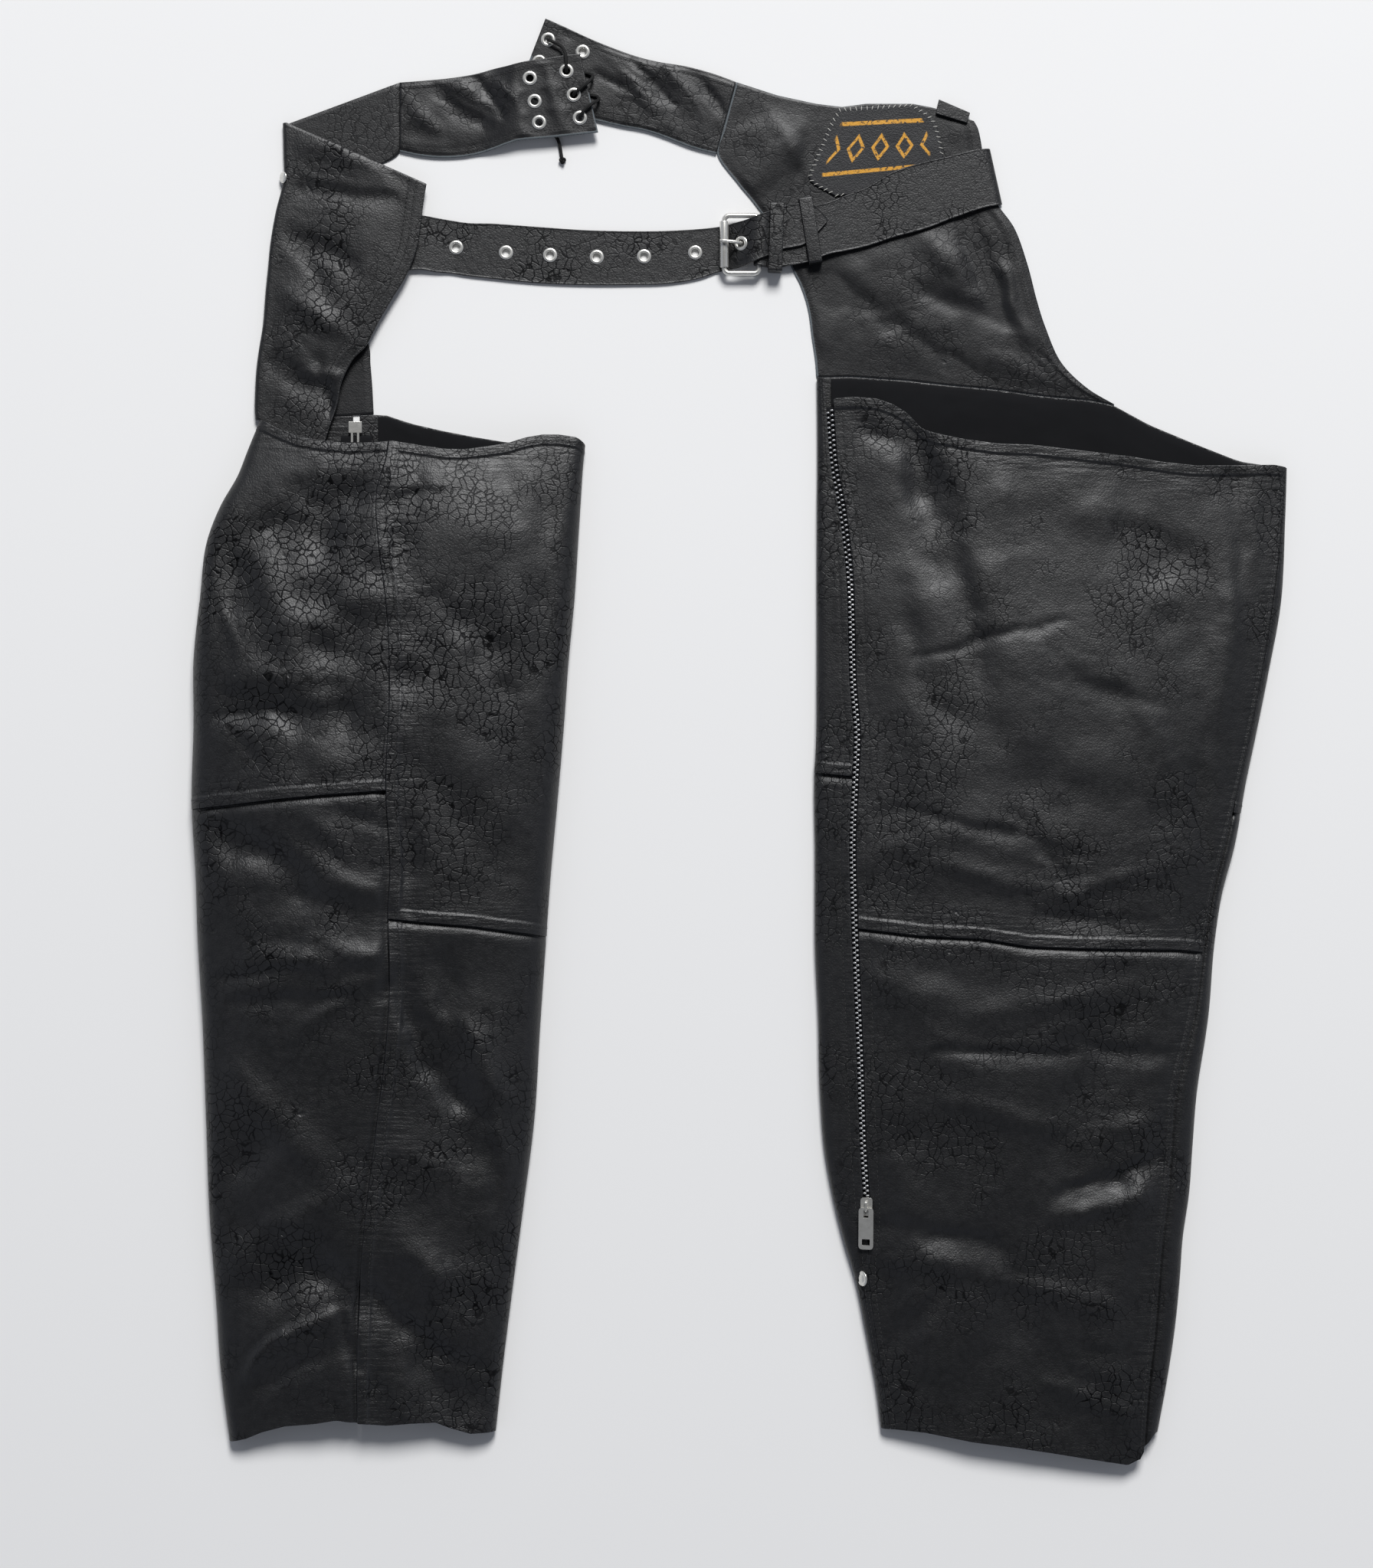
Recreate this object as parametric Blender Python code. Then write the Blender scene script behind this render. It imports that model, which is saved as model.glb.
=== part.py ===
# Leather leg chaps laid out flat on the floor, seen from straight above: +X to the right, +Y to the waist.
# All sizes below are millimetres. The origin is on the floor, under the middle of the outline.
import math

import bmesh
import bpy
import numpy as np
from mathutils import Matrix, Vector

MM = 0.001
OUTLINE_MIDDLE = (0.55, 2.05)

# The materials
LEATHER_WALL = 1.4
YOKE_WALL = 2.6
STRAP_WALL = 2.0
LINING_WALL = 0.6
TAPE_WALL = 0.7
SEAM_GAP = 0.9
INSEAM_GAP = 1.3
CLEARANCE = 0.35

# The folded and lapped edges
LAP_HEIGHT = 0.8
LAP_WIDTH = 7.5
INSEAM_LAP_WIDTH = 6.0
HEM_LAP_WIDTH = 7.0
HEM_LAP_HEIGHT = 1.0

# The zips
ZIP_HALF_GAP = 2.9
TEETH_WIDTH = 5.0
TEETH_HEIGHT = 2.2
TAPE_WIDTH = 24.0
ZIP_STOP_Y = -362.0

# The hardware
EYELET_RADIUS = 5.7
EYELET_BORE_RADIUS = 2.9
EYELET_BARREL_RADIUS = 3.5
EYELET_HOLE_RADIUS = 3.9
BUCKLE_WIRE_RADIUS = 2.0
ROLLER_RADIUS = 3.5
PRONG_RADIUS = 1.3
LACE_RADIUS = 1.3
TAB_LENGTH = 33.0
TAB_WIDTH = 11.5
TAB_WALL = 1.2
TAB_BAR_HALF = 0.7

# The sections of the left leg: y, left x, right x, crown height, side roll height
LEFT_LEG_SECTIONS = [
    (258, -371, -120, 15.0, 5.0),
    (242, -378, -119.5, 17.0, 5.5),
    (227, -384, -120.5, 21.0, 6.0),
    (209, -391, -122, 26.0, 6.5),
    (185, -404.5, -123.5, 31.0, 7.0),
    (161, -414, -125, 35.0, 7.5),
    (113, -420.5, -128, 39.0, 8.0),
    (65, -425.5, -132.5, 41.0, 8.0),
    (17, -425.5, -136, 41.0, 8.0),
    (-48, -427, -141.5, 39.0, 8.0),
    (-102, -424, -146.5, 37.0, 8.0),
    (-150, -422.5, -150, 35.0, 7.5),
    (-222, -418.5, -155, 32.0, 7.0),
    (-294, -416, -159.5, 30.0, 6.5),
    (-366, -413.5, -168.5, 28.0, 6.0),
    (-438, -408, -178, 26.0, 6.0),
    (-486, -405, -184, 24.0, 5.5),
    (-550, -397, -191, 21.0, 5.5),
]

# The sections of the right leg: y, left x, right x, crown height, side roll height
RIGHT_LEG_SECTIONS = [
    (300, 61, 430, 12.0, 3.6),
    (214, 61.5, 428.5, 15.0, 3.8),
    (167, 61, 427, 18.0, 4.0),
    (110, 61, 424, 22.0, 4.2),
    (59, 61, 415, 25.0, 4.4),
    (7, 60.5, 404.5, 27.0, 4.6),
    (-31, 59, 396.5, 28.0, 4.8),
    (-83, 59.5, 387, 28.0, 5.0),
    (-119, 59.5, 377.5, 27.0, 5.0),
    (-155, 59.5, 372, 27.0, 5.0),
    (-214, 62, 367, 26.0, 5.0),
    (-274, 63.5, 358, 25.0, 5.0),
    (-318, 67, 354.5, 24.0, 5.0),
    (-352, 73, 352, 23.0, 5.0),
    (-387, 81.5, 347, 22.0, 5.0),
    (-421, 91.5, 344.5, 21.0, 5.0),
    (-456, 98.5, 341, 20.0, 5.0),
    (-502, 107, 334, 19.0, 5.0),
    (-565, 114, 322, 17.0, 4.8),
]

# The upright seam between front and back panel on top of the left leg: y, x
LEFT_INSEAM = [
    (240, -272), (220, -274.5), (197, -281), (154, -279.5), (110, -273.5), (45, -270.5),
    (-37, -273), (-101, -270), (-135, -271.8), (-173, -270.5), (-224, -272.5), (-297, -281),
    (-370, -290), (-423, -294.5), (-477, -296.5), (-550, -296.5),
]
# The upright seam on the right leg: y, x
RIGHT_INSEAM = [
    (214, 427), (167, 423.5), (110, 416.5), (59, 408.5), (7, 398.5), (-31, 390), (-83, 377.5),
    (-119, 368.5), (-155, 362.5), (-214, 354), (-274, 339.5), (-318, 336), (-352, 333.5),
    (-387, 329.5), (-421, 326.5), (-456, 324), (-502, 319), (-570, 315),
]
# The zip line under the left leg: y, x
LEFT_ZIP = [(260, -299), (60, -299), (-200, -300), (-550, -300)]
# The zip line on top of the right leg: y, x
RIGHT_ZIP = [
    (290, 69), (266, 71), (208, 76), (190, 79.5), (158, 84), (137, 86), (85, 88), (46, 89),
    (7, 92), (-31, 90.5), (-76, 88.5), (-126, 89.5), (-190, 92), (-238, 94), (-285, 95.5),
    (-321, 97), (-350, 99), (-387, 101), (-421, 101.5), (-456, 106), (-502, 113), (-570, 123),
]

# Level edges and seams: x, y
LEFT_TOP_HEM = [
    (-378, 252), (-372, 251.5), (-360, 245), (-342.5, 237.5), (-325, 234.5), (-303.5, 232.5),
    (-282, 233), (-269, 234), (-245, 230), (-227.5, 227.5), (-212, 227.5), (-194.5, 230),
    (-179.5, 232.5), (-166, 237), (-153, 239.5), (-140, 239.5), (-126.5, 237.5), (-119, 232),
]
LEFT_LOWER_EDGE = [
    (-378, 252), (-286, 256.5), (-275.5, 256), (-256, 249.5), (-232, 244), (-209, 239.5),
    (-185, 235.5), (-160, 232.5), (-119, 231),
]
LEFT_HEM = [
    (-397, -545.5), (-383.5, -542), (-371, -536.5), (-353, -531.5), (-331, -529.5),
    (-313, -526.5), (-295, -529), (-273.5, -530.5), (-254.5, -529), (-236, -528.5),
    (-225, -533), (-209, -538), (-191, -537.5),
]
LEFT_FRONT_SEAM = [(-427, -52.5), (-390.5, -48.5), (-358, -44.5), (-325, -41.5), (-273, -37.5)]
LEFT_BACK_SEAM = [(-270, -137), (-248.5, -139), (-207, -142.5), (-165.5, -148.5), (-147.5, -152)]
RIGHT_TOP_HEM = [
    (70, 265.5), (75.5, 268.5), (90, 269.5), (108, 268), (121, 263.5), (131.5, 257), (143.5, 244.5),
    (155, 240.5), (176, 236), (201.5, 232.5), (228, 231.5), (254, 228.5), (279.5, 225.5),
    (306, 222.5), (332, 218), (357.5, 215.5), (392, 216), (417.5, 216.5), (428, 214.5),
]
RIGHT_FACING_EDGE = [
    (60, 285.5), (87, 286), (110.5, 284.5), (131.5, 283), (162.5, 279.5), (201.5, 276),
    (240.5, 270.5), (275, 267.5), (293, 264),
]
RIGHT_SCOOP_EDGE = [(293, 264), (321.5, 248.5), (357.5, 233.5), (392, 220), (428, 214.5)]
RIGHT_HEM_TOP = [
    (111, -535.5), (121, -535.5), (144.5, -537.5), (182, -544.5), (218.5, -549), (252.5, -554.5),
    (282.5, -559.5), (303, -563), (312.5, -558.5), (317, -549), (325, -538.5),
]
RIGHT_HEM_FLOOR = [(111, -536), (182, -541), (252, -545), (303, -545), (325, -538.5)]
RIGHT_FRONT_SEAM = [(59, -24), (396, -56)]
RIGHT_BACK_SEAM = [
    (92, -145), (140.5, -150.5), (188, -152.5), (224, -158.5), (259, -160), (342, -161.5), (364, -164),
]

# The largest folds of the left leg: x0, y0, x1, y1, half width, height
LEFT_FOLDS = [
    (-398, 175, -350, 95, 16, 5.0),
    (-330, 150, -300, 210, 26, -8.0),
    (-395, 40, -310, 15, 15, -5.0),
    (-400, -75, -325, -95, 18, -5.0),
    (-285, -120, -370, -75, 11, 4.5),
    (-285, -165, -375, -185, 14, 4.0),
    (-395, -260, -320, -330, 15, 4.0),
    (-385, -380, -300, -430, 22, -5.0),
    (-285, -440, -218, -520, 15, -5.0),
    (-245, 190, -170, 150, 24, 4.0),
    (-175, 120, -155, 10, 15, 4.5),
    (-240, -20, -180, -100, 20, -4.0),
    (-232, -175, -212, -320, 15, -5.0),
    (-200, -230, -180, -380, 14, 4.0),
    (-255, -380, -215, -470, 16, 3.5),
]
# The largest folds of the right leg: x0, y0, x1, y1, half width, height
RIGHT_FOLDS = [
    (137, 250, 150, 130, 12, -4.5),
    (170, 225, 215, 60, 22, 3.0),
    (300, 200, 360, 60, 26, -3.5),
    (395, 180, 372, 20, 14, 3.0),
    (115, 20, 125, -120, 16, -2.5),
    (200, -20, 330, -60, 24, -3.0),
    (120, -190, 185, -260, 18, 3.0),
    (300, -190, 250, -320, 22, -3.5),
    (320, -260, 300, -420, 13, 3.0),
    (130, -330, 150, -480, 16, 3.0),
    (200, -380, 235, -520, 20, -3.5),
    (285, -440, 300, -540, 14, 2.5),
]

# The left hip, folded over at its left: fold x, fold y, back x, back y, front x, front y
LEFT_HIP_SECTIONS = [
    (-378, 252.8, -286, 257.3, -327, 224),
    (-378.5, 263, -287, 277, -314.5, 262),
    (-377.5, 287, -288.5, 296, -310.5, 280),
    (-375.5, 305, -290, 312, -302, 298),
    (-372, 327, -301, 336, -291, 310),
    (-370, 352, -309, 365, -281, 329),
    (-368, 372, -308, 392, -271, 346),
    (-366, 392, -303, 416, -260, 364),
    (-362, 415, -292, 446, -252, 384),
    (-356, 440, -266, 461.5, -248.5, 405),
    (-356, 461, -265, 488, -246, 424),
    (-356.5, 484, -265.5, 516.5, -244, 436),
]
LEFT_HIP_ROLL = 3.4
LEFT_HIP_SWELL = 3.0

# The right hip, one flat layer: left x, left y, right x, right y
RIGHT_HIP_SECTIONS = [
    (61, 286.3, 294, 264.7),
    (60, 300, 272, 278),
    (57.5, 317, 252, 298),
    (54.5, 339, 240, 325),
    (49, 357, 233, 347),
    (42, 371, 226, 374),
    (27, 401, 216, 402),
    (12.5, 422, 201.5, 423),
    (-1, 438.5, 194.5, 443),
    (-16.6, 460.6, 191, 461),
    (-12, 479, 189, 473),
    (-7, 498, 187, 481),
    (-1.7, 517, 184, 486.5),
]
RIGHT_HIP_TOP_EDGE = [(-2, 517), (30.5, 506.5), (60.5, 500), (81, 497.5), (99.5, 500), (136, 500), (152, 497), (184, 486.5)]

# The yokes at the back of the waist: top x, top y, bottom x, bottom y, lift
LEFT_YOKE_SECTIONS = [
    (-263.8, 516.5, -263.8, 462.5, 0.0),
    (-244, 518, -250, 459.5, 0.0),
    (-224, 520, -234, 458, 0.0),
    (-206, 523, -218, 458.5, 0.0),
    (-191, 527, -203, 461, 0.5),
    (-182, 528.5, -192, 464, 3.0),
    (-173, 530.3, -180, 468, 5.6),
    (-164.5, 532, -170, 470.5, 6.2),
    (-147.5, 534.5, -147.5, 472.5, 6.2),
    (-135, 536.5, -128, 474.5, 6.2),
    (-124, 537.5, -110, 476.5, 6.2),
]
RIGHT_YOKE_SECTIONS = [
    (-151, 566.5, -173.5, 508.5, 0.0),
    (-137.5, 560.5, -152, 500.5, 0.0),
    (-110, 548, -122, 490, 0.0),
    (-82, 537.5, -94, 483, 0.0),
    (-62.5, 532.5, -73, 479, 0.0),
    (-41, 529, -56.5, 473.5, 0.0),
    (-20.5, 523.5, -37, 466, 0.0),
    (-3.4, 517.3, -18.8, 461.2, 0.0),
]

# The holed belt strap: top x, top y, bottom x, bottom y, middle height
BELT_SECTIONS = [
    (-262, 412.5, -262, 369.5, 3.3),
    (-247, 412, -247, 370, 3.3),
    (-238, 410.5, -238, 368.5, 2.4),
    (-226, 408.5, -226, 367.5, 1.4),
    (-212.5, 406.5, -212.5, 365.5, 1.4),
    (-194.5, 406, -194.5, 363.5, 1.4),
    (-158.5, 403.5, -158.5, 360, 1.4),
    (-122.5, 401, -122.5, 358.5, 1.4),
    (-86.5, 400, -86.5, 358.5, 1.4),
    (-50.5, 400.5, -50.5, 360, 1.4),
    (-28, 402, -29, 364, 1.4),
    (-15, 403.5, -16, 368.5, 1.4),
    (-9, 404.5, -10.5, 369.5, 2.0),
    (-4, 405.8, -5.5, 370.3, 3.9),
    (4, 407.3, 1.5, 371.5, 7.6),
    (9, 408.6, 6, 373, 10.2),
    (13, 410, 10, 374.5, 12.2),
    (17, 411.5, 14, 376, 13.2),
    (20.5, 412.8, 18, 377.8, 13.2),
    (25, 414.5, 22.5, 379.7, 11.6),
    (30, 416.3, 28, 382, 9.7),
    (36, 418.5, 34, 385, 8.9),
    (47, 420.5, 44, 387, 8.9),
    (54, 421, 51, 389, 8.9),
    (60, 418.5, 58, 395.5, 8.9),
    (65, 413.3, 64, 401, 8.9),
    (69, 408.9, 68.6, 406.3, 8.9),
]
BELT_HOLES = [(-221, 387.5), (-182, 383.5), (-147.5, 381.5), (-111, 380), (-74, 380.5), (-34, 383.5), (2.2, 389.6)]

# The buckle strap, from its short turned end round the bar and across to the front edge of the right hip
BUCKLE_STRAP_SECTIONS = [
    (66, 420, 66, 383.5, 4.0),
    (24, 409, 24, 371.5, 4.0),
    (18.0, 405.4, 18.0, 372.6, 3.9),
    (15.6, 405.2, 15.6, 372.8, 3.9),
    (13.4, 405.2, 13.4, 372.8, 4.9),
    (12.4, 405.2, 12.4, 372.8, 7.3),
    (13.4, 405.2, 13.4, 372.8, 9.8),
    (16.0, 405.4, 16.0, 372.6, 10.8),
    (19.0, 406.2, 19.0, 372.0, 10.1),
    (24.5, 409.5, 24.5, 371.5, 7.7),
    (29, 410.6, 29, 372, 6.6),
    (36, 412.5, 36, 372.6, 6.4),
    (56, 418.5, 56, 376, 6.4),
    (70, 421.8, 70, 381.5, 6.2),
    (84, 427.5, 84, 384.5, 4.9),
    (99.5, 433.5, 99.5, 388, 4.6),
    (122.5, 446.5, 122.5, 395.5, 4.6),
    (145, 453.5, 145, 401.5, 4.6),
    (168, 458.8, 170, 411, 4.6),
    (186, 463.3, 195, 419, 4.6),
    (192.5, 464, 202, 420.3, 4.2),
    (195, 464.2, 204.6, 420.8, 3.0),
    (195.8, 464.3, 205.4, 421, 1.3),
]

# The keepers round both straps: low x, low y, high x, high y, width, height of the upper run
KEEPERS = [
    (28.2, 367.8, 30.0, 420.6, 10.2, 13.6),
    (60.0, 374.6, 51.9, 425.2, 10.0, 10.9),
]
KEEPER_WALL = 1.0
KEEPER_LOW_Z = 2.2

BUCKLE_CENTRE = (2.3, 389.0)
BUCKLE_HALF_LENGTH = 13.7
BUCKLE_HALF_WIDTH = 22.5
BUCKLE_Z = 7.3
ROLLER_LENGTH = 36.0

# The patch on the inner side of the right hip: left x, left y, right x, right y
PATCH_SECTIONS = [
    (76, 427.5, 156, 436),
    (56, 440, 159.5, 450),
    (59, 453.5, 159.5, 461),
    (66, 470, 157, 474),
    (72, 484, 151.5, 488),
    (79, 496, 136, 499.3),
]
PATCH_WALL = 1.2

# The small loop at the waist edge and the lower end of the left zip: x, y round the outline
WAIST_LOOP = [(154, 492), (178.5, 484.5), (181, 492.5), (156.5, 503)]
ZIP_BOX = [
    (-305, 251), (-305, 242), (-303.2, 242), (-303.2, 234.5), (-301.4, 234.5), (-301.4, 242),
    (-298.4, 242), (-298.4, 234.5), (-296.6, 234.5), (-296.6, 242), (-294.6, 242), (-294.6, 251),
]
ANKLE_SNAP = (96.5, -418.0)
SNAP_LIFT = -0.1
LINING_DEPTH = 58.0
SLIDER_Y = -361.0
SLIDER_MIDDLE = 2.45
TAB_REST_TILT = 4.0

LEFT_YOKE_EYELETS = [(-134.5, 524), (-128.8, 505.5), (-124, 487.5), (-163, 518.5), (-159.3, 500.5), (-155.8, 484)]
RIGHT_YOKE_EYELETS = [(-149, 550), (-156, 532.5), (-122, 540.5)]

# The lace pieces: x, y, z along the middle of the cord
LACES = {
    "lace_top": [
        (-149, 550, 1.6), (-149, 549.8, 4.4), (-147.5, 548.6, 6.4), (-143.5, 546.6, 6.9),
        (-139, 544, 7.4), (-136.2, 540, 9.2), (-134.9, 535.6, 11.2), (-134.5, 530.5, 11.9),
        (-134.5, 526.4, 11.2), (-134.5, 524.4, 9.4), (-134.5, 524, 7.0),
    ],
    "lace_middle": [
        (-128.8, 505.5, 6.6), (-128.6, 505.7, 9.6), (-127.2, 507.0, 11.5), (-123, 510.2, 11.9),
        (-118.6, 513.8, 11.6), (-115.2, 517.2, 9.8), (-114.0, 519.8, 7.2), (-115.0, 522.0, 5.0),
        (-118.5, 523.2, 4.5), (-123, 524.2, 4.5), (-128, 525, 4.5),
    ],
    "lace_bottom": [
        (-124, 487.5, 6.6), (-123.8, 487.9, 9.6), (-122.6, 490.2, 11.5), (-119.2, 494.2, 11.9),
        (-114.6, 497.8, 11.4), (-110.6, 500.6, 9.4), (-109.2, 502.6, 6.8), (-110.4, 504.8, 4.9),
        (-114, 506, 4.5), (-121, 507.2, 4.5), (-129, 508, 4.5),
    ],
    "lace_free_end": [
        (-155.8, 484, 7.4), (-155.7, 483.9, 5.9), (-154.6, 483.2, 4.8), (-152, 481.6, 4.2),
        (-148.5, 479.2, 3.2), (-144.5, 476, 2.1), (-141.5, 472, 1.7), (-139.9, 467, 1.7),
        (-139, 461.5, 1.7), (-138.2, 457, 2.2),
    ],
}


def smooth(table, value):
    """Reads a two-column table with a smooth cubic through its rows."""
    rows = sorted(table)
    keys = np.array([row[0] for row in rows], float)
    values = np.array([row[1] for row in rows], float)
    slopes = np.gradient(values, keys)
    value = np.clip(np.asarray(value, float), keys[0], keys[-1])
    at = np.clip(np.searchsorted(keys, value) - 1, 0, len(keys) - 2)
    step = keys[at + 1] - keys[at]
    part = (value - keys[at]) / step
    square = part * part
    cube = square * part
    return (
        (2 * cube - 3 * square + 1) * values[at]
        + (cube - 2 * square + part) * step * slopes[at]
        + (3 * square - 2 * cube) * values[at + 1]
        + (cube - square) * step * slopes[at + 1]
    )


def linear(table, value):
    rows = sorted(table)
    return np.interp(value, [row[0] for row in rows], [row[1] for row in rows])


def ease(value):
    value = np.clip(value, 0.0, 1.0)
    return value * value * (3 - 2 * value)


def column(table, index):
    return [(row[0], row[index]) for row in table]


class Leg:
    """One leg as a tube lying flat: its outline, its crown and its side rolls, all read from the tables."""

    def __init__(self, sections, folds, left_power, right_power):
        self.sections = sections
        self.folds = folds
        self.left_power = left_power
        self.right_power = right_power

    def middle(self, y):
        left = smooth(column(self.sections, 1), y)
        right = smooth(column(self.sections, 2), y)
        return (left + right) / 2, (right - left) / 2

    def angle(self, x, y):
        """The angle round the tube, 0 at the left edge and pi at the right one, of the point x on top."""
        centre, half = self.middle(y)
        return np.arccos(np.clip((centre - x) / half, -1, 1))

    def fold_height(self, x, y):
        height = np.zeros(np.broadcast(x, y).shape)
        for x0, y0, x1, y1, width, rise in self.folds:
            along = ((x - x0) * (x1 - x0) + (y - y0) * (y1 - y0)) / ((x1 - x0) ** 2 + (y1 - y0) ** 2)
            along = np.clip(along, 0, 1)
            away = np.hypot(x - x0 - along * (x1 - x0), y - y0 - along * (y1 - y0))
            taper = 1 - 0.45 * np.abs(2 * along - 1)
            height = height + rise * taper * np.exp(-((away / width) ** 2))
        return height

    def point(self, angle, y):
        """x, y, z of the outer face. Top: z = roll (1 + q) + (crown - 2 roll) (1 - |s|^2.4)^p + folds."""
        centre, half = self.middle(y)
        crown = smooth(column(self.sections, 3), y)
        roll = smooth(column(self.sections, 4), y)
        across = -np.cos(angle)
        x = centre + half * across
        depth = half * (1 - np.abs(across))
        part = np.clip(depth / (1.5 * roll), 0, 1)
        quarter = np.sqrt(np.maximum(1 - (1 - part) ** 2, 0))
        power = np.where(across < 0, self.left_power, self.right_power)
        shape = np.maximum(1 - np.abs(across) ** 2.4, 0) ** power
        edge = ease((1 - np.abs(across)) / 0.22)
        top = roll * (1 + quarter) + (crown - 2 * roll) * shape + self.fold_height(x, y) * edge
        z = np.where(np.sin(angle) >= 0, top, roll * (1 - quarter))
        return np.stack([x, y + 0 * x, z], axis=-1)

    def top_z(self, x, y):
        return float(self.point(self.angle(x, y), np.asarray(float(y)))[2])


LEFT_LEG = Leg(LEFT_LEG_SECTIONS, LEFT_FOLDS, 0.72, 0.66)
RIGHT_LEG = Leg(RIGHT_LEG_SECTIONS, RIGHT_FOLDS, 1.15, 0.66)


def normals_of(points):
    across = np.gradient(points, axis=1)
    along = np.gradient(points, axis=0)
    normal = np.cross(across, along)
    return normal / np.maximum(np.linalg.norm(normal, axis=-1, keepdims=True), 1e-9)


def collection_link(obj):
    bpy.context.scene.collection.objects.link(obj)
    return obj


def material_of(name, colour, metallic, roughness):
    found = bpy.data.materials.get(name)
    if found:
        return found
    made = bpy.data.materials.new(name)
    made.use_nodes = True
    shader = made.node_tree.nodes["Principled BSDF"]
    shader.inputs["Base Color"].default_value = (*colour, 1.0)
    shader.inputs["Metallic"].default_value = metallic
    shader.inputs["Roughness"].default_value = roughness
    made.diffuse_color = (*colour, 1.0)
    made.metallic = metallic
    made.roughness = roughness
    return made


BLACK = (0.03, 0.031, 0.034)
INNER_BLACK = (0.05, 0.051, 0.055)
CLOTH_BLACK = (0.018, 0.019, 0.022)
NICKEL = (0.62, 0.62, 0.6)


def mesh_object(name, points, faces, colour, metallic=0.0, roughness=0.5):
    """A mesh object from points in millimetres, its faces turned outwards."""
    mesh = bpy.data.meshes.new(name)
    mesh.from_pydata([tuple(point) for point in np.asarray(points, float) * MM], [], faces)
    work = bmesh.new()
    work.from_mesh(mesh)
    bmesh.ops.recalc_face_normals(work, faces=work.faces)
    if work.calc_volume(signed=True) < 0:
        bmesh.ops.reverse_faces(work, faces=work.faces)
    work.to_mesh(mesh)
    work.free()
    mesh.polygons.foreach_set("use_smooth", [True] * len(mesh.polygons))
    mesh.materials.append(material_of(name, colour, metallic, roughness))
    return collection_link(bpy.data.objects.new(name, mesh))


def slab(name, outer, inner, colour, metallic=0.0, roughness=0.5):
    """The closed solid between two grids of points with the same rows and columns."""
    rows, columns = outer.shape[:2]
    count = rows * columns
    points = np.concatenate([outer.reshape(-1, 3), inner.reshape(-1, 3)])
    number = np.arange(count).reshape(rows, columns)
    faces = []
    for row in range(rows - 1):
        for place in range(columns - 1):
            a = number[row, place]
            b = number[row, place + 1]
            c = number[row + 1, place + 1]
            d = number[row + 1, place]
            faces.append((a, b, c, d))
            faces.append((d + count, c + count, b + count, a + count))
    rim = list(number[0, :]) + list(number[1:, -1]) + list(number[-1, -2::-1]) + list(number[-2:0:-1, 0])
    for here, after in zip(rim, rim[1:] + rim[:1]):
        faces.append((after, here, here + count, after + count))
    return mesh_object(name, points, [tuple(int(v) for v in face) for face in faces], colour, metallic, roughness)


def stations(length, count, near_start=(), near_end=()):
    """Fractions from 0 to 1: evenly spaced ones plus the given distances from either end."""
    fixed = [0.0] + [d / length for d in near_start] + [1 - d / length for d in near_end] + [1.0]
    low = max([0.0] + [d / length for d in near_start])
    high = min([1.0] + [1 - d / length for d in near_end])
    between = list(np.linspace(low, high, count + 1)[1:-1])
    return np.array(sorted(set(fixed + between)))


def leg_grid(leg, start, end, top, bottom, across, along):
    """Points of a panel round the tube. start and end give angles from y; top and bottom give y from x and side."""
    u = across[None, :]
    v = along[:, None]
    y = np.full((len(along), len(across)), 0.0) + (v - 0.5) * 200
    for _ in range(14):
        angle = start(y) + (end(y) - start(y)) * u
        centre, half = leg.middle(y)
        x = centre - half * np.cos(angle)
        side = ease(0.5 + 2.2 * np.sin(angle))
        high = top(x, side)
        low = bottom(x, side)
        y = low + (high - low) * v
    angle = start(y) + (end(y) - start(y)) * u
    return leg.point(angle, y)


def lapped(points, along, across, laps):
    """Moves the outer face out over the given strips: where, from 0 or 1, width as a fraction, height."""
    normal = normals_of(points)
    rise = np.zeros(points.shape[:2])
    for axis, at_end, width, height in laps:
        part = along[:, None] if axis == "along" else across[None, :]
        part = 1 - part if at_end else part
        strip = np.where(part <= width * 1.001, height, 0.0)
        rise = np.maximum(rise, strip + 0 * rise)
    rise = rise * np.clip(normal[..., 2:3], 0, 1)[..., 0]
    return points + normal * rise[..., None], normal


def panel(name, leg, start, end, top, bottom, counts, laps, sizes):
    """One leather panel of a leg as a closed wall."""
    width, height = sizes
    near = {"start": [], "end": [], "low": [], "high": []}
    fractions = []
    for edge, lap_width, lap_height in laps:
        near[edge] = [lap_width - 0.6, lap_width + 0.9]
        length = width if edge in ("start", "end") else height
        axis = "across" if edge in ("start", "end") else "along"
        fractions.append((axis, edge in ("end", "high"), (lap_width - 0.5) / length, lap_height))
    across = stations(width, counts[0], near["start"], near["end"])
    along = stations(height, counts[1], near["low"], near["high"])
    points = leg_grid(leg, start, end, top, bottom, across, along)
    outer, normal = lapped(points, along, across, fractions)
    return slab(name, outer, points - normal * LEATHER_WALL, BLACK, 0.0, 0.45)


def inseam_at(table, leg, shift):
    return lambda y: leg.angle(smooth(table, y) + shift, y)


def zip_gap(y):
    return ZIP_HALF_GAP * ease((y - ZIP_STOP_Y + 40) / 36) + 0.5


def both(top_table, floor_table, reader=linear, shift=0.0):
    """y from x, going over from the floor side's table (side 0) to the top side's one (side 1)."""

    def read(x, side):
        return side * reader(top_table, x) + (1 - side) * reader(floor_table, x) + shift

    return read


def left_zip_after(y):
    """The zip line under the left leg, met from the right: an angle a little over pi."""
    return 2 * math.pi - LEFT_LEG.angle(smooth(LEFT_ZIP, y) + zip_gap(y), y)


def left_zip_before(y):
    return -LEFT_LEG.angle(smooth(LEFT_ZIP, y) - zip_gap(y), y)


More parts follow.
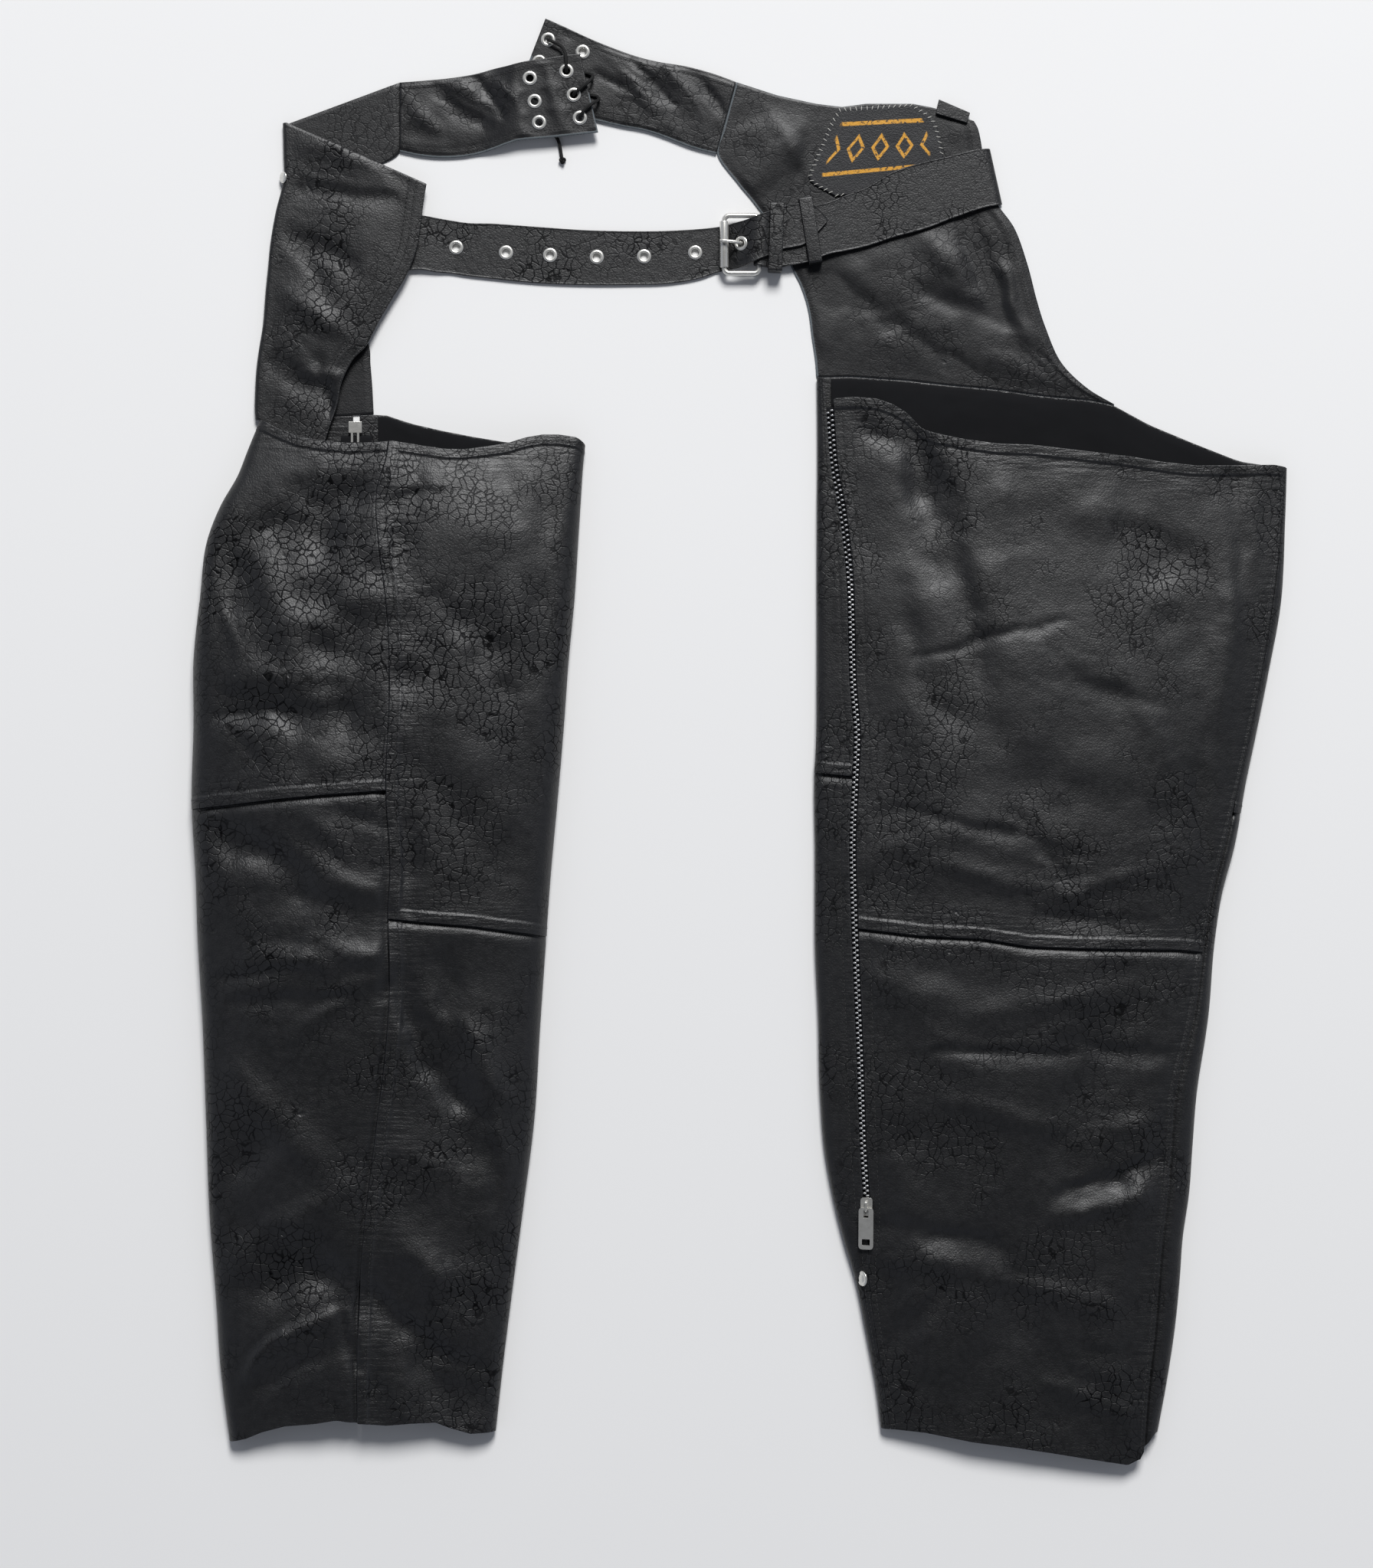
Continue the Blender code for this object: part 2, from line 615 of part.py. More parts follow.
def right_zip_after(y):
    return RIGHT_LEG.angle(smooth(RIGHT_ZIP, y) + zip_gap(y), y)


def right_zip_before(y):
    return 2 * math.pi + RIGHT_LEG.angle(smooth(RIGHT_ZIP, y) - zip_gap(y), y)


def build_left_leg():
    seam_up = SEAM_GAP / 2
    level_front = [(-430, -52.5)] + LEFT_FRONT_SEAM[:1] + [(-250, -52.5)]
    level_back = [(-320, -152), (-140, -152)]
    inseam_front = inseam_at(LEFT_INSEAM, LEFT_LEG, -INSEAM_GAP / 2)
    inseam_back = inseam_at(LEFT_INSEAM, LEFT_LEG, INSEAM_GAP / 2)
    panel(
        "front_upper_left", LEFT_LEG, left_zip_before, inseam_front,
        both(LEFT_TOP_HEM, LEFT_LOWER_EDGE), both(LEFT_FRONT_SEAM, level_front, shift=seam_up),
        (17, 8), [("high", HEM_LAP_WIDTH, HEM_LAP_HEIGHT), ("low", LAP_WIDTH, LAP_HEIGHT)], (300, 285),
    )
    panel(
        "front_lower_left", LEFT_LEG, left_zip_before, inseam_front,
        both(LEFT_FRONT_SEAM, level_front, shift=-seam_up), both(LEFT_HEM, LEFT_HEM),
        (16, 12), [], (280, 485),
    )
    panel(
        "back_upper_left", LEFT_LEG, inseam_back, left_zip_after,
        both(LEFT_TOP_HEM, LEFT_LOWER_EDGE), both(LEFT_BACK_SEAM, level_back, shift=seam_up),
        (14, 10),
        [
            ("high", HEM_LAP_WIDTH, HEM_LAP_HEIGHT), ("low", LAP_WIDTH, LAP_HEIGHT),
            ("start", INSEAM_LAP_WIDTH, LAP_HEIGHT),
        ],
        (315, 380),
    )
    panel(
        "back_lower_left", LEFT_LEG, inseam_back, left_zip_after,
        both(LEFT_BACK_SEAM, level_back, shift=-seam_up), both(LEFT_HEM, LEFT_HEM),
        (13, 10), [("start", INSEAM_LAP_WIDTH, LAP_HEIGHT)], (270, 385),
    )


def build_right_leg():
    seam_up = SEAM_GAP / 2
    inseam_back = inseam_at(RIGHT_INSEAM, RIGHT_LEG, -INSEAM_GAP / 2)
    inseam_front = inseam_at(RIGHT_INSEAM, RIGHT_LEG, INSEAM_GAP / 2)
    upper_edge = RIGHT_FACING_EDGE + RIGHT_SCOOP_EDGE[1:]
    flap_top = [(60, 285), (90, 285), (400, 214.5), (430, 214.5)]
    panel(
        "front_upper_right", RIGHT_LEG, inseam_front, right_zip_before,
        both(flap_top, upper_edge), both(RIGHT_FRONT_SEAM, RIGHT_FRONT_SEAM, shift=seam_up),
        (22, 8), [("low", LAP_WIDTH, LAP_HEIGHT)], (420, 290),
    )
    panel(
        "front_lower_right", RIGHT_LEG, inseam_front, right_zip_before,
        both(RIGHT_FRONT_SEAM, RIGHT_FRONT_SEAM, shift=-seam_up), both(RIGHT_HEM_TOP, RIGHT_HEM_FLOOR),
        (20, 12), [], (350, 500),
    )
    panel(
        "back_upper_right", RIGHT_LEG, right_zip_after, inseam_back,
        both(RIGHT_TOP_HEM, RIGHT_TOP_HEM), both(RIGHT_BACK_SEAM, RIGHT_BACK_SEAM, shift=seam_up),
        (11, 10),
        [
            ("high", HEM_LAP_WIDTH, HEM_LAP_HEIGHT), ("low", LAP_WIDTH, LAP_HEIGHT),
            ("end", INSEAM_LAP_WIDTH, LAP_HEIGHT),
        ],
        (310, 390),
    )
    panel(
        "back_lower_right", RIGHT_LEG, right_zip_after, inseam_back,
        both(RIGHT_BACK_SEAM, RIGHT_BACK_SEAM, shift=-seam_up), both(RIGHT_HEM_TOP, RIGHT_HEM_TOP),
        (10, 10), [("end", INSEAM_LAP_WIDTH, LAP_HEIGHT)], (235, 390),
    )


def build_left_hip():
    """A sheet folded over at its left: floor layer, round fold, top layer. Its outer face is outwards all round."""
    table = np.array(LEFT_HIP_SECTIONS, float)
    keys = np.arange(len(table), dtype=float)
    rows = np.linspace(0, len(table) - 1, 16)
    fold_x, fold_y, back_x, back_y, front_x, front_y = [
        np.array(smooth(list(zip(keys, table[:, index])), rows)) for index in range(6)
    ]
    points = []
    radius = LEFT_HIP_ROLL
    for row in range(len(rows)):
        line = []
        for part in np.linspace(0, 1, 6):
            x = back_x[row] + (fold_x[row] + radius - back_x[row]) * part
            y = back_y[row] + (fold_y[row] - back_y[row]) * part
            line.append((x, y, 0.0))
        for turn in np.linspace(0, math.pi, 7)[1:-1]:
            line.append((fold_x[row] + radius - radius * math.sin(turn), fold_y[row], radius - radius * math.cos(turn)))
        for part in np.linspace(0, 1, 8):
            x = fold_x[row] + radius + (front_x[row] - fold_x[row] - radius) * part
            y = fold_y[row] + (front_y[row] - fold_y[row]) * part
            swell = LEFT_HIP_SWELL * math.sin(math.pi * min(part * 0.8, 1)) ** 2 * (0.35 + 0.65 * float(ease(row / 4)))
            line.append((x, y, 2 * radius + swell))
        points.append(line)
    points = np.array(points)
    # The rows run up the hip, the columns from the back edge round the fold to the front edge.
    normal = normals_of(points)
    outer = points.copy()
    outer[:, -3:, 2] += 0.7
    slab("hip_left", outer, points - normal * LEATHER_WALL, BLACK, 0.0, 0.45)


def build_right_hip():
    table = np.array(RIGHT_HIP_SECTIONS, float)
    keys = np.arange(len(table), dtype=float)
    rows = np.linspace(0, len(table) - 1, 14)
    left_x, left_y, right_x, right_y = [
        np.array(smooth(list(zip(keys, table[:, index])), rows)) for index in range(4)
    ]
    part = np.linspace(0, 1, 11)[None, :]
    x = left_x[:, None] + (right_x - left_x)[:, None] * part
    y = left_y[:, None] + (right_y - left_y)[:, None] * part
    last = len(table) - 1
    to_top = ease((rows[:, None] - last + 3) / 3)
    to_low = ease((2.5 - rows[:, None]) / 2.5)
    top_bow = linear(RIGHT_HIP_TOP_EDGE, x[-1]) - y[-1]
    low_bow = linear(RIGHT_FACING_EDGE, x[0]) + 0.7 - y[0]
    y = y + to_top * top_bow[None, :] + to_low * low_bow[None, :]
    low = np.stack([x, y, 0 * x], axis=-1)
    high = low + np.array([0, 0, LEATHER_WALL])
    high[:, -2:, 2] += 0.6
    slab("hip_right", high, low, INNER_BLACK, 0.0, 0.42)


def yoke(name, sections, holes):
    table = np.array(sections, float)
    part = np.linspace(0, 1, 5)[:, None]
    x = table[None, :, 0] + (table[:, 2] - table[:, 0])[None, :] * part
    y = table[None, :, 1] + (table[:, 3] - table[:, 1])[None, :] * part
    low = np.stack([x, y, x * 0 + table[None, :, 4]], axis=-1)
    made = slab(name, low + np.array([0, 0, YOKE_WALL]), low, INNER_BLACK, 0.0, 0.42)
    cut_holes(made, [(hx, hy, 5.0, 0.0) for hx, hy in holes])
    return made


def cut_holes(obj, holes):
    """Cuts round holes: x, y, middle height, tilt about Y in degrees."""
    work = bmesh.new()
    for x, y, z, tilt in holes:
        turn = Matrix.Translation(Vector((x, y, z)) * MM) @ Matrix.Rotation(math.radians(tilt), 4, "Y")
        bmesh.ops.create_cone(
            work, cap_ends=True, segments=10, radius1=EYELET_HOLE_RADIUS * MM,
            radius2=EYELET_HOLE_RADIUS * MM, depth=16 * MM, matrix=turn,
        )
    mesh = bpy.data.meshes.new(obj.name + "_cutter")
    work.to_mesh(mesh)
    work.free()
    cutter = collection_link(bpy.data.objects.new(obj.name + "_cutter", mesh))
    cutter.hide_render = True
    cutter.display_type = "WIRE"
    cut = obj.modifiers.new("holes", "BOOLEAN")
    cut.operation = "DIFFERENCE"
    cut.solver = "EXACT"
    cut.object = cutter


def turned(name, profile, steps, matrix, colour, metallic, roughness):
    """A closed ring turned about the local Z axis from a closed profile of radius and height."""
    count = len(profile)
    points = []
    for step in range(steps):
        angle = 2 * math.pi * step / steps
        for radius, height in profile:
            points.append(matrix @ Vector((radius * math.cos(angle), radius * math.sin(angle), height)))
    faces = []
    for step in range(steps):
        after = (step + 1) % steps
        for place in range(count):
            follow = (place + 1) % count
            faces.append((step * count + place, after * count + place, after * count + follow, step * count + follow))
    return mesh_object(name, [tuple(point) for point in points], faces, colour, metallic, roughness)


def eyelet(name, x, y, under, over, tilt=0.0):
    """An eyelet whose barrel goes from under to over, with its rim on top. tilt is about Y, in degrees."""
    profile = [
        (EYELET_BORE_RADIUS, under), (EYELET_BARREL_RADIUS, under), (EYELET_BARREL_RADIUS, over + CLEARANCE),
        (EYELET_RADIUS, over + CLEARANCE), (EYELET_BORE_RADIUS + 0.7, over + CLEARANCE + 0.8),
    ]
    middle = (under + over) / 2
    profile = [(radius, height - middle) for radius, height in profile]
    matrix = Matrix.Translation((x, y, middle)) @ Matrix.Rotation(math.radians(tilt), 4, "Y")
    turned(name, profile, 10, matrix, NICKEL, 1.0, 0.3)


def band(name, sections, wall, across, colour, roughness=0.45):
    """A strap: each section gives its two edges and the height of its middle."""
    table = np.array(sections, float)
    part = np.linspace(0, 1, across)[:, None]
    x = table[None, :, 0] + (table[:, 2] - table[:, 0])[None, :] * part
    y = table[None, :, 1] + (table[:, 3] - table[:, 1])[None, :] * part
    middle = np.stack([x, y, x * 0 + table[None, :, 4]], axis=-1)
    normal = normals_of(middle)
    return slab(name, middle + normal * wall / 2, middle - normal * wall / 2, colour, 0.0, roughness)


def build_belt():
    strap = band("belt_strap", BELT_SECTIONS, STRAP_WALL, 4, BLACK)
    table = np.array(BELT_SECTIONS, float)
    middle_x = (table[:, 0] + table[:, 2]) / 2
    holes = []
    for number, (x, y) in enumerate(BELT_HOLES):
        z = float(np.interp(x, middle_x, table[:, 4]))
        slope = (np.interp(x + 3, middle_x, table[:, 4]) - np.interp(x - 3, middle_x, table[:, 4])) / 6
        tilt = -math.degrees(math.atan(slope))
        holes.append((x, y, z, tilt))
        matrix_shift = STRAP_WALL / 2
        profile_low = z - matrix_shift - 0.25
        eyelet(f"belt_eyelet_{number + 1}", x, y, profile_low, z + matrix_shift, tilt)
    cut_holes(strap, holes)
    buckle_strap = band("buckle_strap", BUCKLE_STRAP_SECTIONS, STRAP_WALL, 4, BLACK)
    box_cutter(buckle_strap, (BUCKLE_CENTRE[0] + BUCKLE_HALF_LENGTH, 391.2, BUCKLE_Z), (17.0, 7.0, 12.0))
    for number, row in enumerate(KEEPERS):
        keeper(f"keeper_{number + 1}", *row)


def box_cutter(obj, centre, size):
    work = bmesh.new()
    bmesh.ops.create_cube(work, size=1.0)
    bmesh.ops.scale(work, vec=Vector(size) * MM, verts=work.verts)
    bmesh.ops.translate(work, vec=Vector(centre) * MM, verts=work.verts)
    mesh = bpy.data.meshes.new(obj.name + "_slot")
    work.to_mesh(mesh)
    work.free()
    cutter = collection_link(bpy.data.objects.new(obj.name + "_slot", mesh))
    cutter.hide_render = True
    cutter.display_type = "WIRE"
    cut = obj.modifiers.new("slot", "BOOLEAN")
    cut.operation = "DIFFERENCE"
    cut.solver = "EXACT"
    cut.object = cutter


def keeper(name, low_x, low_y, high_x, high_y, width, high_z):
    """A closed leather loop round the straps: its path is a rounded rectangle in the plane across the belt."""
    corner = 1.4
    length = math.hypot(high_x - low_x, high_y - low_y)
    along = np.array([high_x - low_x, high_y - low_y, 0.0]) / length
    side = np.array([along[1], -along[0], 0.0])
    origin = np.array([low_x, low_y, 0.0])
    corners = [
        (length - corner, KEEPER_LOW_Z + corner, -90), (length - corner, high_z - corner, 0),
        (corner, high_z - corner, 90), (corner, KEEPER_LOW_Z + corner, 180),
    ]
    path = []
    for place, height, first in corners:
        for step in range(4):
            angle = math.radians(first + 30 * step)
            path.append((place, height, math.cos(angle), math.sin(angle), corner))
    points = []
    half = KEEPER_WALL / 2
    for place, height, out_x, out_z, radius in path:
        for offset, edge in ((half, -0.5), (half, 0.5), (-half, 0.5), (-half, -0.5)):
            reach = radius + offset
            spot = origin + along * (place + out_x * reach) + side * (edge * width)
            points.append((spot[0], spot[1], height + out_z * reach))
    count = len(path)
    faces = []
    for step in range(count):
        after = (step + 1) % count
        for place in range(4):
            follow = (place + 1) % 4
            faces.append((step * 4 + place, after * 4 + place, after * 4 + follow, step * 4 + follow))
    return mesh_object(name, points, faces, BLACK, 0.0, 0.45)


def wire(name, path, radius, resolution, colour, metallic, roughness, cyclic=False, radii=None):
    """A round wire or cord along a path of points."""
    curve = bpy.data.curves.new(name, "CURVE")
    curve.dimensions = "3D"
    curve.bevel_depth = radius * MM
    curve.bevel_resolution = resolution
    curve.use_fill_caps = True
    curve.resolution_u = 1
    spline = curve.splines.new("POLY")
    spline.points.add(len(path) - 1)
    for number, (point, spot) in enumerate(zip(spline.points, path)):
        point.co = (spot[0] * MM, spot[1] * MM, spot[2] * MM, 1.0)
        point.radius = radii[number] if radii else 1.0
    spline.use_cyclic_u = cyclic
    spline.use_smooth = True
    curve.materials.append(material_of(name, colour, metallic, roughness))
    return collection_link(bpy.data.objects.new(name, curve))


def build_buckle():
    centre_x, centre_y = BUCKLE_CENTRE
    radius = 4.0
    path = []
    corners = [
        (BUCKLE_HALF_LENGTH - radius, BUCKLE_HALF_WIDTH - radius, 0),
        (-BUCKLE_HALF_LENGTH + radius, BUCKLE_HALF_WIDTH - radius, 90),
        (-BUCKLE_HALF_LENGTH + radius, -BUCKLE_HALF_WIDTH + radius, 180),
        (BUCKLE_HALF_LENGTH - radius, -BUCKLE_HALF_WIDTH + radius, 270),
    ]
    for x, y, first in corners:
        for step in range(5):
            angle = math.radians(first + 22.5 * step)
            path.append((centre_x + x + radius * math.cos(angle), centre_y + y + radius * math.sin(angle), BUCKLE_Z))
    wire("buckle_frame", path, BUCKLE_WIRE_RADIUS, 2, NICKEL, 1.0, 0.28, cyclic=True)
    inner = BUCKLE_WIRE_RADIUS + CLEARANCE
    half = ROLLER_LENGTH / 2
    profile = [(inner, -half), (ROLLER_RADIUS, -half), (ROLLER_RADIUS, half), (inner, half)]
    matrix = Matrix.Translation((centre_x - BUCKLE_HALF_LENGTH, centre_y, BUCKLE_Z)) @ Matrix.Rotation(math.pi / 2, 4, "X")
    turned("buckle_roller", profile, 18, matrix, NICKEL, 1.0, 0.25)
    bar_x = centre_x + BUCKLE_HALF_LENGTH
    reach = BUCKLE_WIRE_RADIUS + CLEARANCE + PRONG_RADIUS
    middle = 391.2
    prong = []
    for step in range(8):
        angle = math.radians(-50 + 40 * step)
        prong.append((bar_x + reach * math.cos(angle), middle, BUCKLE_Z + reach * math.sin(angle)))
    prong = [spot for spot in prong if not (spot[2] < BUCKLE_Z - 2.2 and spot[0] < bar_x)]
    prong.append((bar_x - reach * 0.75, middle, BUCKLE_Z - reach * 0.72))
    prong.extend([
        (9.5, middle - 0.2, 4.3), (6.0, middle - 0.6, 4.5), (4.0, middle - 1.0, 5.6), (2.4, 389.9, 7.8),
        (0.9, 389.7, 10.4), (-1.4, 389.9, 12.2), (-5.0, 390.3, 12.9), (-11.4, 390.9, 12.9), (-14.8, 391.2, 12.2),
    ])
    wire("buckle_prong", prong, PRONG_RADIUS, 2, NICKEL, 1.0, 0.28)


def build_zips():
    """The tapes lie inside the panels; the teeth fill the gap between the panel edges."""
    along = np.linspace(0, 1, 22)[:, None]
    for side, leg, table, upper in (("right", RIGHT_LEG, RIGHT_ZIP, 262.0), ("left", LEFT_LEG, LEFT_ZIP, 240.0)):
        y = ZIP_STOP_Y + 8 + (upper - ZIP_STOP_Y - 8) * along
        x = smooth(table, y)

        def spot(offsets):
            angle = leg.angle(x + offsets, y)
            return leg.point(angle if side == "right" else -angle, y + 0 * offsets)

        outside = 3.9 if side == "right" else TAPE_WIDTH / 2
        inside = 9.0 if side == "right" else TAPE_WIDTH / 2
        offsets = np.array([[-outside, -2.8, 0.0, 4.0, inside]])
        face = spot(offsets)
        normal = normals_of(face) * (1 if side == "right" else -1)
        depth = LEATHER_WALL + CLEARANCE
        slab(f"zip_tape_{side}", face - normal * depth, face - normal * (depth + TAPE_WALL), CLOTH_BLACK, 0.0, 0.9)
        offsets = np.array([[-TEETH_WIDTH / 2, 0.0, TEETH_WIDTH / 2]])
        face = spot(offsets)
        normal = normals_of(face) * (1 if side == "right" else -1)
        rise = TEETH_HEIGHT - LEATHER_WALL if side == "right" else 0.0
        slab(f"zip_teeth_{side}", face + normal * rise, face - normal * LEATHER_WALL, NICKEL, 1.0, 0.35)


def frame_at(leg, x, y):
    """Position on the top face of a leg and its unit normal."""
    step = 2.0
    here = np.array([x, y, leg.top_z(x, y)])
    east = np.array([x + step, y, leg.top_z(x + step, y)]) - here
    north = np.array([x, y + step, leg.top_z(x, y + step)]) - here
    normal = np.cross(east, north)
    return here, normal / np.linalg.norm(normal)


def plate(name, outline, windows, low, high, matrix, colour, metallic, roughness):
    """A flat plate from an outline, with windows that are cut through it."""
    made = prism(name, outline, low, high, matrix, colour, metallic, roughness)
    for number, window in enumerate(windows):
        cutter = prism(f"{name}_window_{number + 1}", window, low - 1, high + 1, matrix, colour, metallic, roughness)
        cutter.hide_render = True
        cutter.display_type = "WIRE"
        cutter.parent = made
        cut = made.modifiers.new("window", "BOOLEAN")
        cut.operation = "DIFFERENCE"
        cut.solver = "EXACT"
        cut.object = cutter
    return made


def prism(name, outline, low, high, matrix, colour, metallic, roughness):
    points = [tuple(matrix @ Vector((x, y, height))) for height in (low, high) for x, y in outline]
    count = len(outline)
    faces = [tuple(range(count))[::-1], tuple(range(count, 2 * count))]
    for number in range(count):
        after = (number + 1) % count
        faces.append((number, after, count + after, count + number))
    return mesh_object(name, points, faces, colour, metallic, roughness)


def rounded(half_x, half_y, radius, steps=3):
    loop = []
    for centre_x, centre_y, first in (
        (half_x - radius, half_y - radius, 0), (-half_x + radius, half_y - radius, 90),
        (-half_x + radius, -half_y + radius, 180), (half_x - radius, -half_y + radius, 270),
    ):
        for step in range(steps + 1):
            angle = math.radians(first + 90 * step / steps)
            loop.append((centre_x + radius * math.cos(angle), centre_y + radius * math.sin(angle)))
    return loop


def surface_matrix(here, normal, lift, heading):
    """A frame on the leather: local Z along the normal, local Y along the heading in the floor plane."""
    up = Vector(normal)
    ahead = Vector((heading[0], heading[1], 0.0))
    ahead = (ahead - up * ahead.dot(up)).normalized()
    side = ahead.cross(up)
    turn = Matrix((side, ahead, up)).transposed().to_4x4()
    return Matrix.Translation(Vector(here) + up * lift) @ turn


def build_slider():
    """The slider with its bridge, and the pull tab whose origin is on its hinge line through the bridge."""
    here, normal = frame_at(RIGHT_LEG, 99.6, SLIDER_Y)
    base = surface_matrix(here, normal, 0.0, (0.02, 1.0))
    body = base @ Matrix.Translation((0, 0, SLIDER_MIDDLE))
    slider = plate("zip_slider", rounded(4.6, 7.0, 2.2), [], -0.95, 1.0, body, NICKEL, 1.0, 0.3)
    upright = Matrix(((0, 0, 1, 0), (1, 0, 0, 0), (0, 1, 0, 0), (0, 0, 0, 1)))
    outline = [(y + 0.5, z + 2.3) for y, z in rounded(4.0, 2.0, 1.2)]
    window = [(y + 0.5, z + 2.55) for y, z in rounded(2.9, 1.05, 0.6)]
    bridge = plate("zip_slider_bridge", outline, [window], -0.9, 0.9, body @ upright, NICKEL, 1.0, 0.3)
    bridge.hide_render = True
    bridge.display_type = "WIRE"
    join = slider.modifiers.new("bridge", "BOOLEAN")
    join.operation = "UNION"
    join.solver = "EXACT"
    join.object = bridge
    hinge = body @ Matrix.Translation((0, -1.3, 2.55)) @ Matrix.Rotation(math.radians(TAB_REST_TILT), 4, "X")
    half = TAB_WIDTH / 2
    outline = [(x, y + TAB_BAR_HALF - TAB_LENGTH / 2) for x, y in rounded(half, TAB_LENGTH / 2, 2.6)]
    slot = [(x, y - TAB_BAR_HALF - 3.2) for x, y in rounded(1.9, 3.2, 0.6)]
    window = [(x, y - 26.6) for x, y in rounded(3.1, 2.5, 0.5)]
    tab = plate("pull_tab", outline, [slot, window], -TAB_WALL / 2, TAB_WALL / 2, Matrix.Identity(4), NICKEL, 1.0, 0.3)
    tab.matrix_world = Matrix.Translation(hinge.translation * MM) @ hinge.to_3x3().to_4x4()
    axis = hinge.to_3x3() @ Vector((1, 0, 0))
    print("tab hinge at", [round(v, 3) for v in hinge.translation], "axis", [round(v, 5) for v in axis])


def build_small_pieces():
    table = np.array(PATCH_SECTIONS, float)
    part = np.linspace(0, 1, 5)[None, :]
    x = table[:, :1] + (table[:, 2:3] - table[:, :1]) * part
    y = table[:, 1:2] + (table[:, 3:4] - table[:, 1:2]) * part
    low = np.stack([x, y, 0 * x + LEATHER_WALL + CLEARANCE], axis=-1)
    slab("patch", low + np.array([0, 0, PATCH_WALL]), low, BLACK, 0.0, 0.5)
    flat = Matrix.Identity(4)
    plate("waist_loop", WAIST_LOOP, [], 2.4, 4.4, flat, BLACK, 0.0, 0.45)
    plate("zip_box_left", ZIP_BOX, [], 2.8, 5.0, flat, NICKEL, 1.0, 0.35)
    profile = [(0.0, 0.0), (4.4, 0.0), (4.5, 0.5), (3.4, 1.25), (0.0, 1.45)]
    upward = Vector((-0.75, 0.0, 0.66)).normalized()
    centre = Vector((-356.2 + LEFT_HIP_ROLL, 441.5, LEFT_HIP_ROLL))
    lay = surface_matrix(centre, upward, LEFT_HIP_ROLL + CLEARANCE, (0.0, 1.0))
    button("snap_cap_hip", profile, 14, lay)
    here, normal = frame_at(RIGHT_LEG, *ANKLE_SNAP)
    lay = surface_matrix(here, normal, SNAP_LIFT, (0.0, 1.0))
    profile = [(0.0, 0.0), (4.0, 0.0), (4.0, 1.2), (5.8, 1.2), (6.0, 1.8), (4.6, 2.9), (0.0, 3.1)]
    button("ankle_snap", profile, 14, lay)


def button(name, profile, steps, matrix):
    """A closed round cap turned from a profile whose two ends lie on the axis."""
    points = [tuple(matrix @ Vector((0, 0, profile[0][1])))]
    for radius, height in profile[1:-1]:
        for step in range(steps):
            angle = 2 * math.pi * step / steps
            points.append(tuple(matrix @ Vector((radius * math.cos(angle), radius * math.sin(angle), height))))
    points.append(tuple(matrix @ Vector((0, 0, profile[-1][1]))))
    rings = len(profile) - 2
    last = len(points) - 1
    faces = []
    for step in range(steps):
        after = (step + 1) % steps
        faces.append((0, 1 + after, 1 + step))
        for ring in range(rings - 1):
            low = 1 + ring * steps
            faces.append((low + step, low + after, low + steps + after, low + steps + step))
        top = 1 + (rings - 1) * steps
        faces.append((top + step, top + after, last))
    return mesh_object(name, points, faces, NICKEL, 1.0, 0.3)


def build_linings():
    """Lining cloth on the inner side of the floor layer, just inside the open top of each thigh."""
    upper_edge = RIGHT_FACING_EDGE + RIGHT_SCOOP_EDGE[1:]
    depth = LEATHER_WALL + CLEARANCE
    for name, leg, start, end, edge in (
        ("lining_right", RIGHT_LEG, lambda y: math.pi + 0.3 + 0 * y, lambda y: 2 * math.pi - 0.35 + 0 * y, upper_edge),
        (
            "lining_left", LEFT_LEG, lambda y: math.pi + 0.5 + 0 * y,
            lambda y: 2 * math.pi - LEFT_LEG.angle(-282.0, y), LEFT_LOWER_EDGE,
        ),
    ):
        points = leg_grid(
            leg, start, end, both(edge, edge, shift=-1.3), both(edge, edge, shift=-1.3 - LINING_DEPTH),
            np.linspace(0, 1, 17), np.linspace(0, 1, 4),
        )
        normal = normals_of(points)
        slab(name, points - normal * depth, points - normal * (depth + LINING_WALL), CLOTH_BLACK, 0.0, 0.9)


def main():
    for obj in list(bpy.data.objects):
        bpy.data.objects.remove(obj)
    build_left_leg()
    build_right_leg()
    build_left_hip()
    build_right_hip()
    yoke("yoke_left", LEFT_YOKE_SECTIONS, LEFT_YOKE_EYELETS)
    yoke("yoke_right", RIGHT_YOKE_SECTIONS, RIGHT_YOKE_EYELETS)
    for number, (x, y) in enumerate(LEFT_YOKE_EYELETS):
        eyelet(f"yoke_eyelet_left_{number + 1}", x, y, 6.0, 6.2 + YOKE_WALL)
    for number, (x, y) in enumerate(RIGHT_YOKE_EYELETS):
        eyelet(f"yoke_eyelet_right_{number + 1}", x, y, 0.1, YOKE_WALL)
    build_belt()
    build_buckle()
    build_zips()
    build_slider()
    build_small_pieces()
    build_linings()
    for name, path in LACES.items():
        radii = [1.0] * len(path)
        if name == "lace_free_end":
            radii = [1.0] * (len(path) - 2) + [1.25, 1.6]
        wire(name, path, LACE_RADIUS, 2, CLOTH_BLACK, 0.0, 0.7, radii=radii)
    for obj in bpy.data.objects:
        if obj.parent is None:
            obj.location.x -= OUTLINE_MIDDLE[0] * MM
            obj.location.y -= OUTLINE_MIDDLE[1] * MM


main()
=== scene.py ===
# Leather leg chaps laid out flat: leather shells with their creases, sewing, zips, hardware, laces, floor, light
# and camera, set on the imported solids. Plan sizes are millimetres on the floor, +X to the right and +Y to the waist.
import math

import bmesh
import bpy
import numpy as np
from mathutils import Matrix, Vector


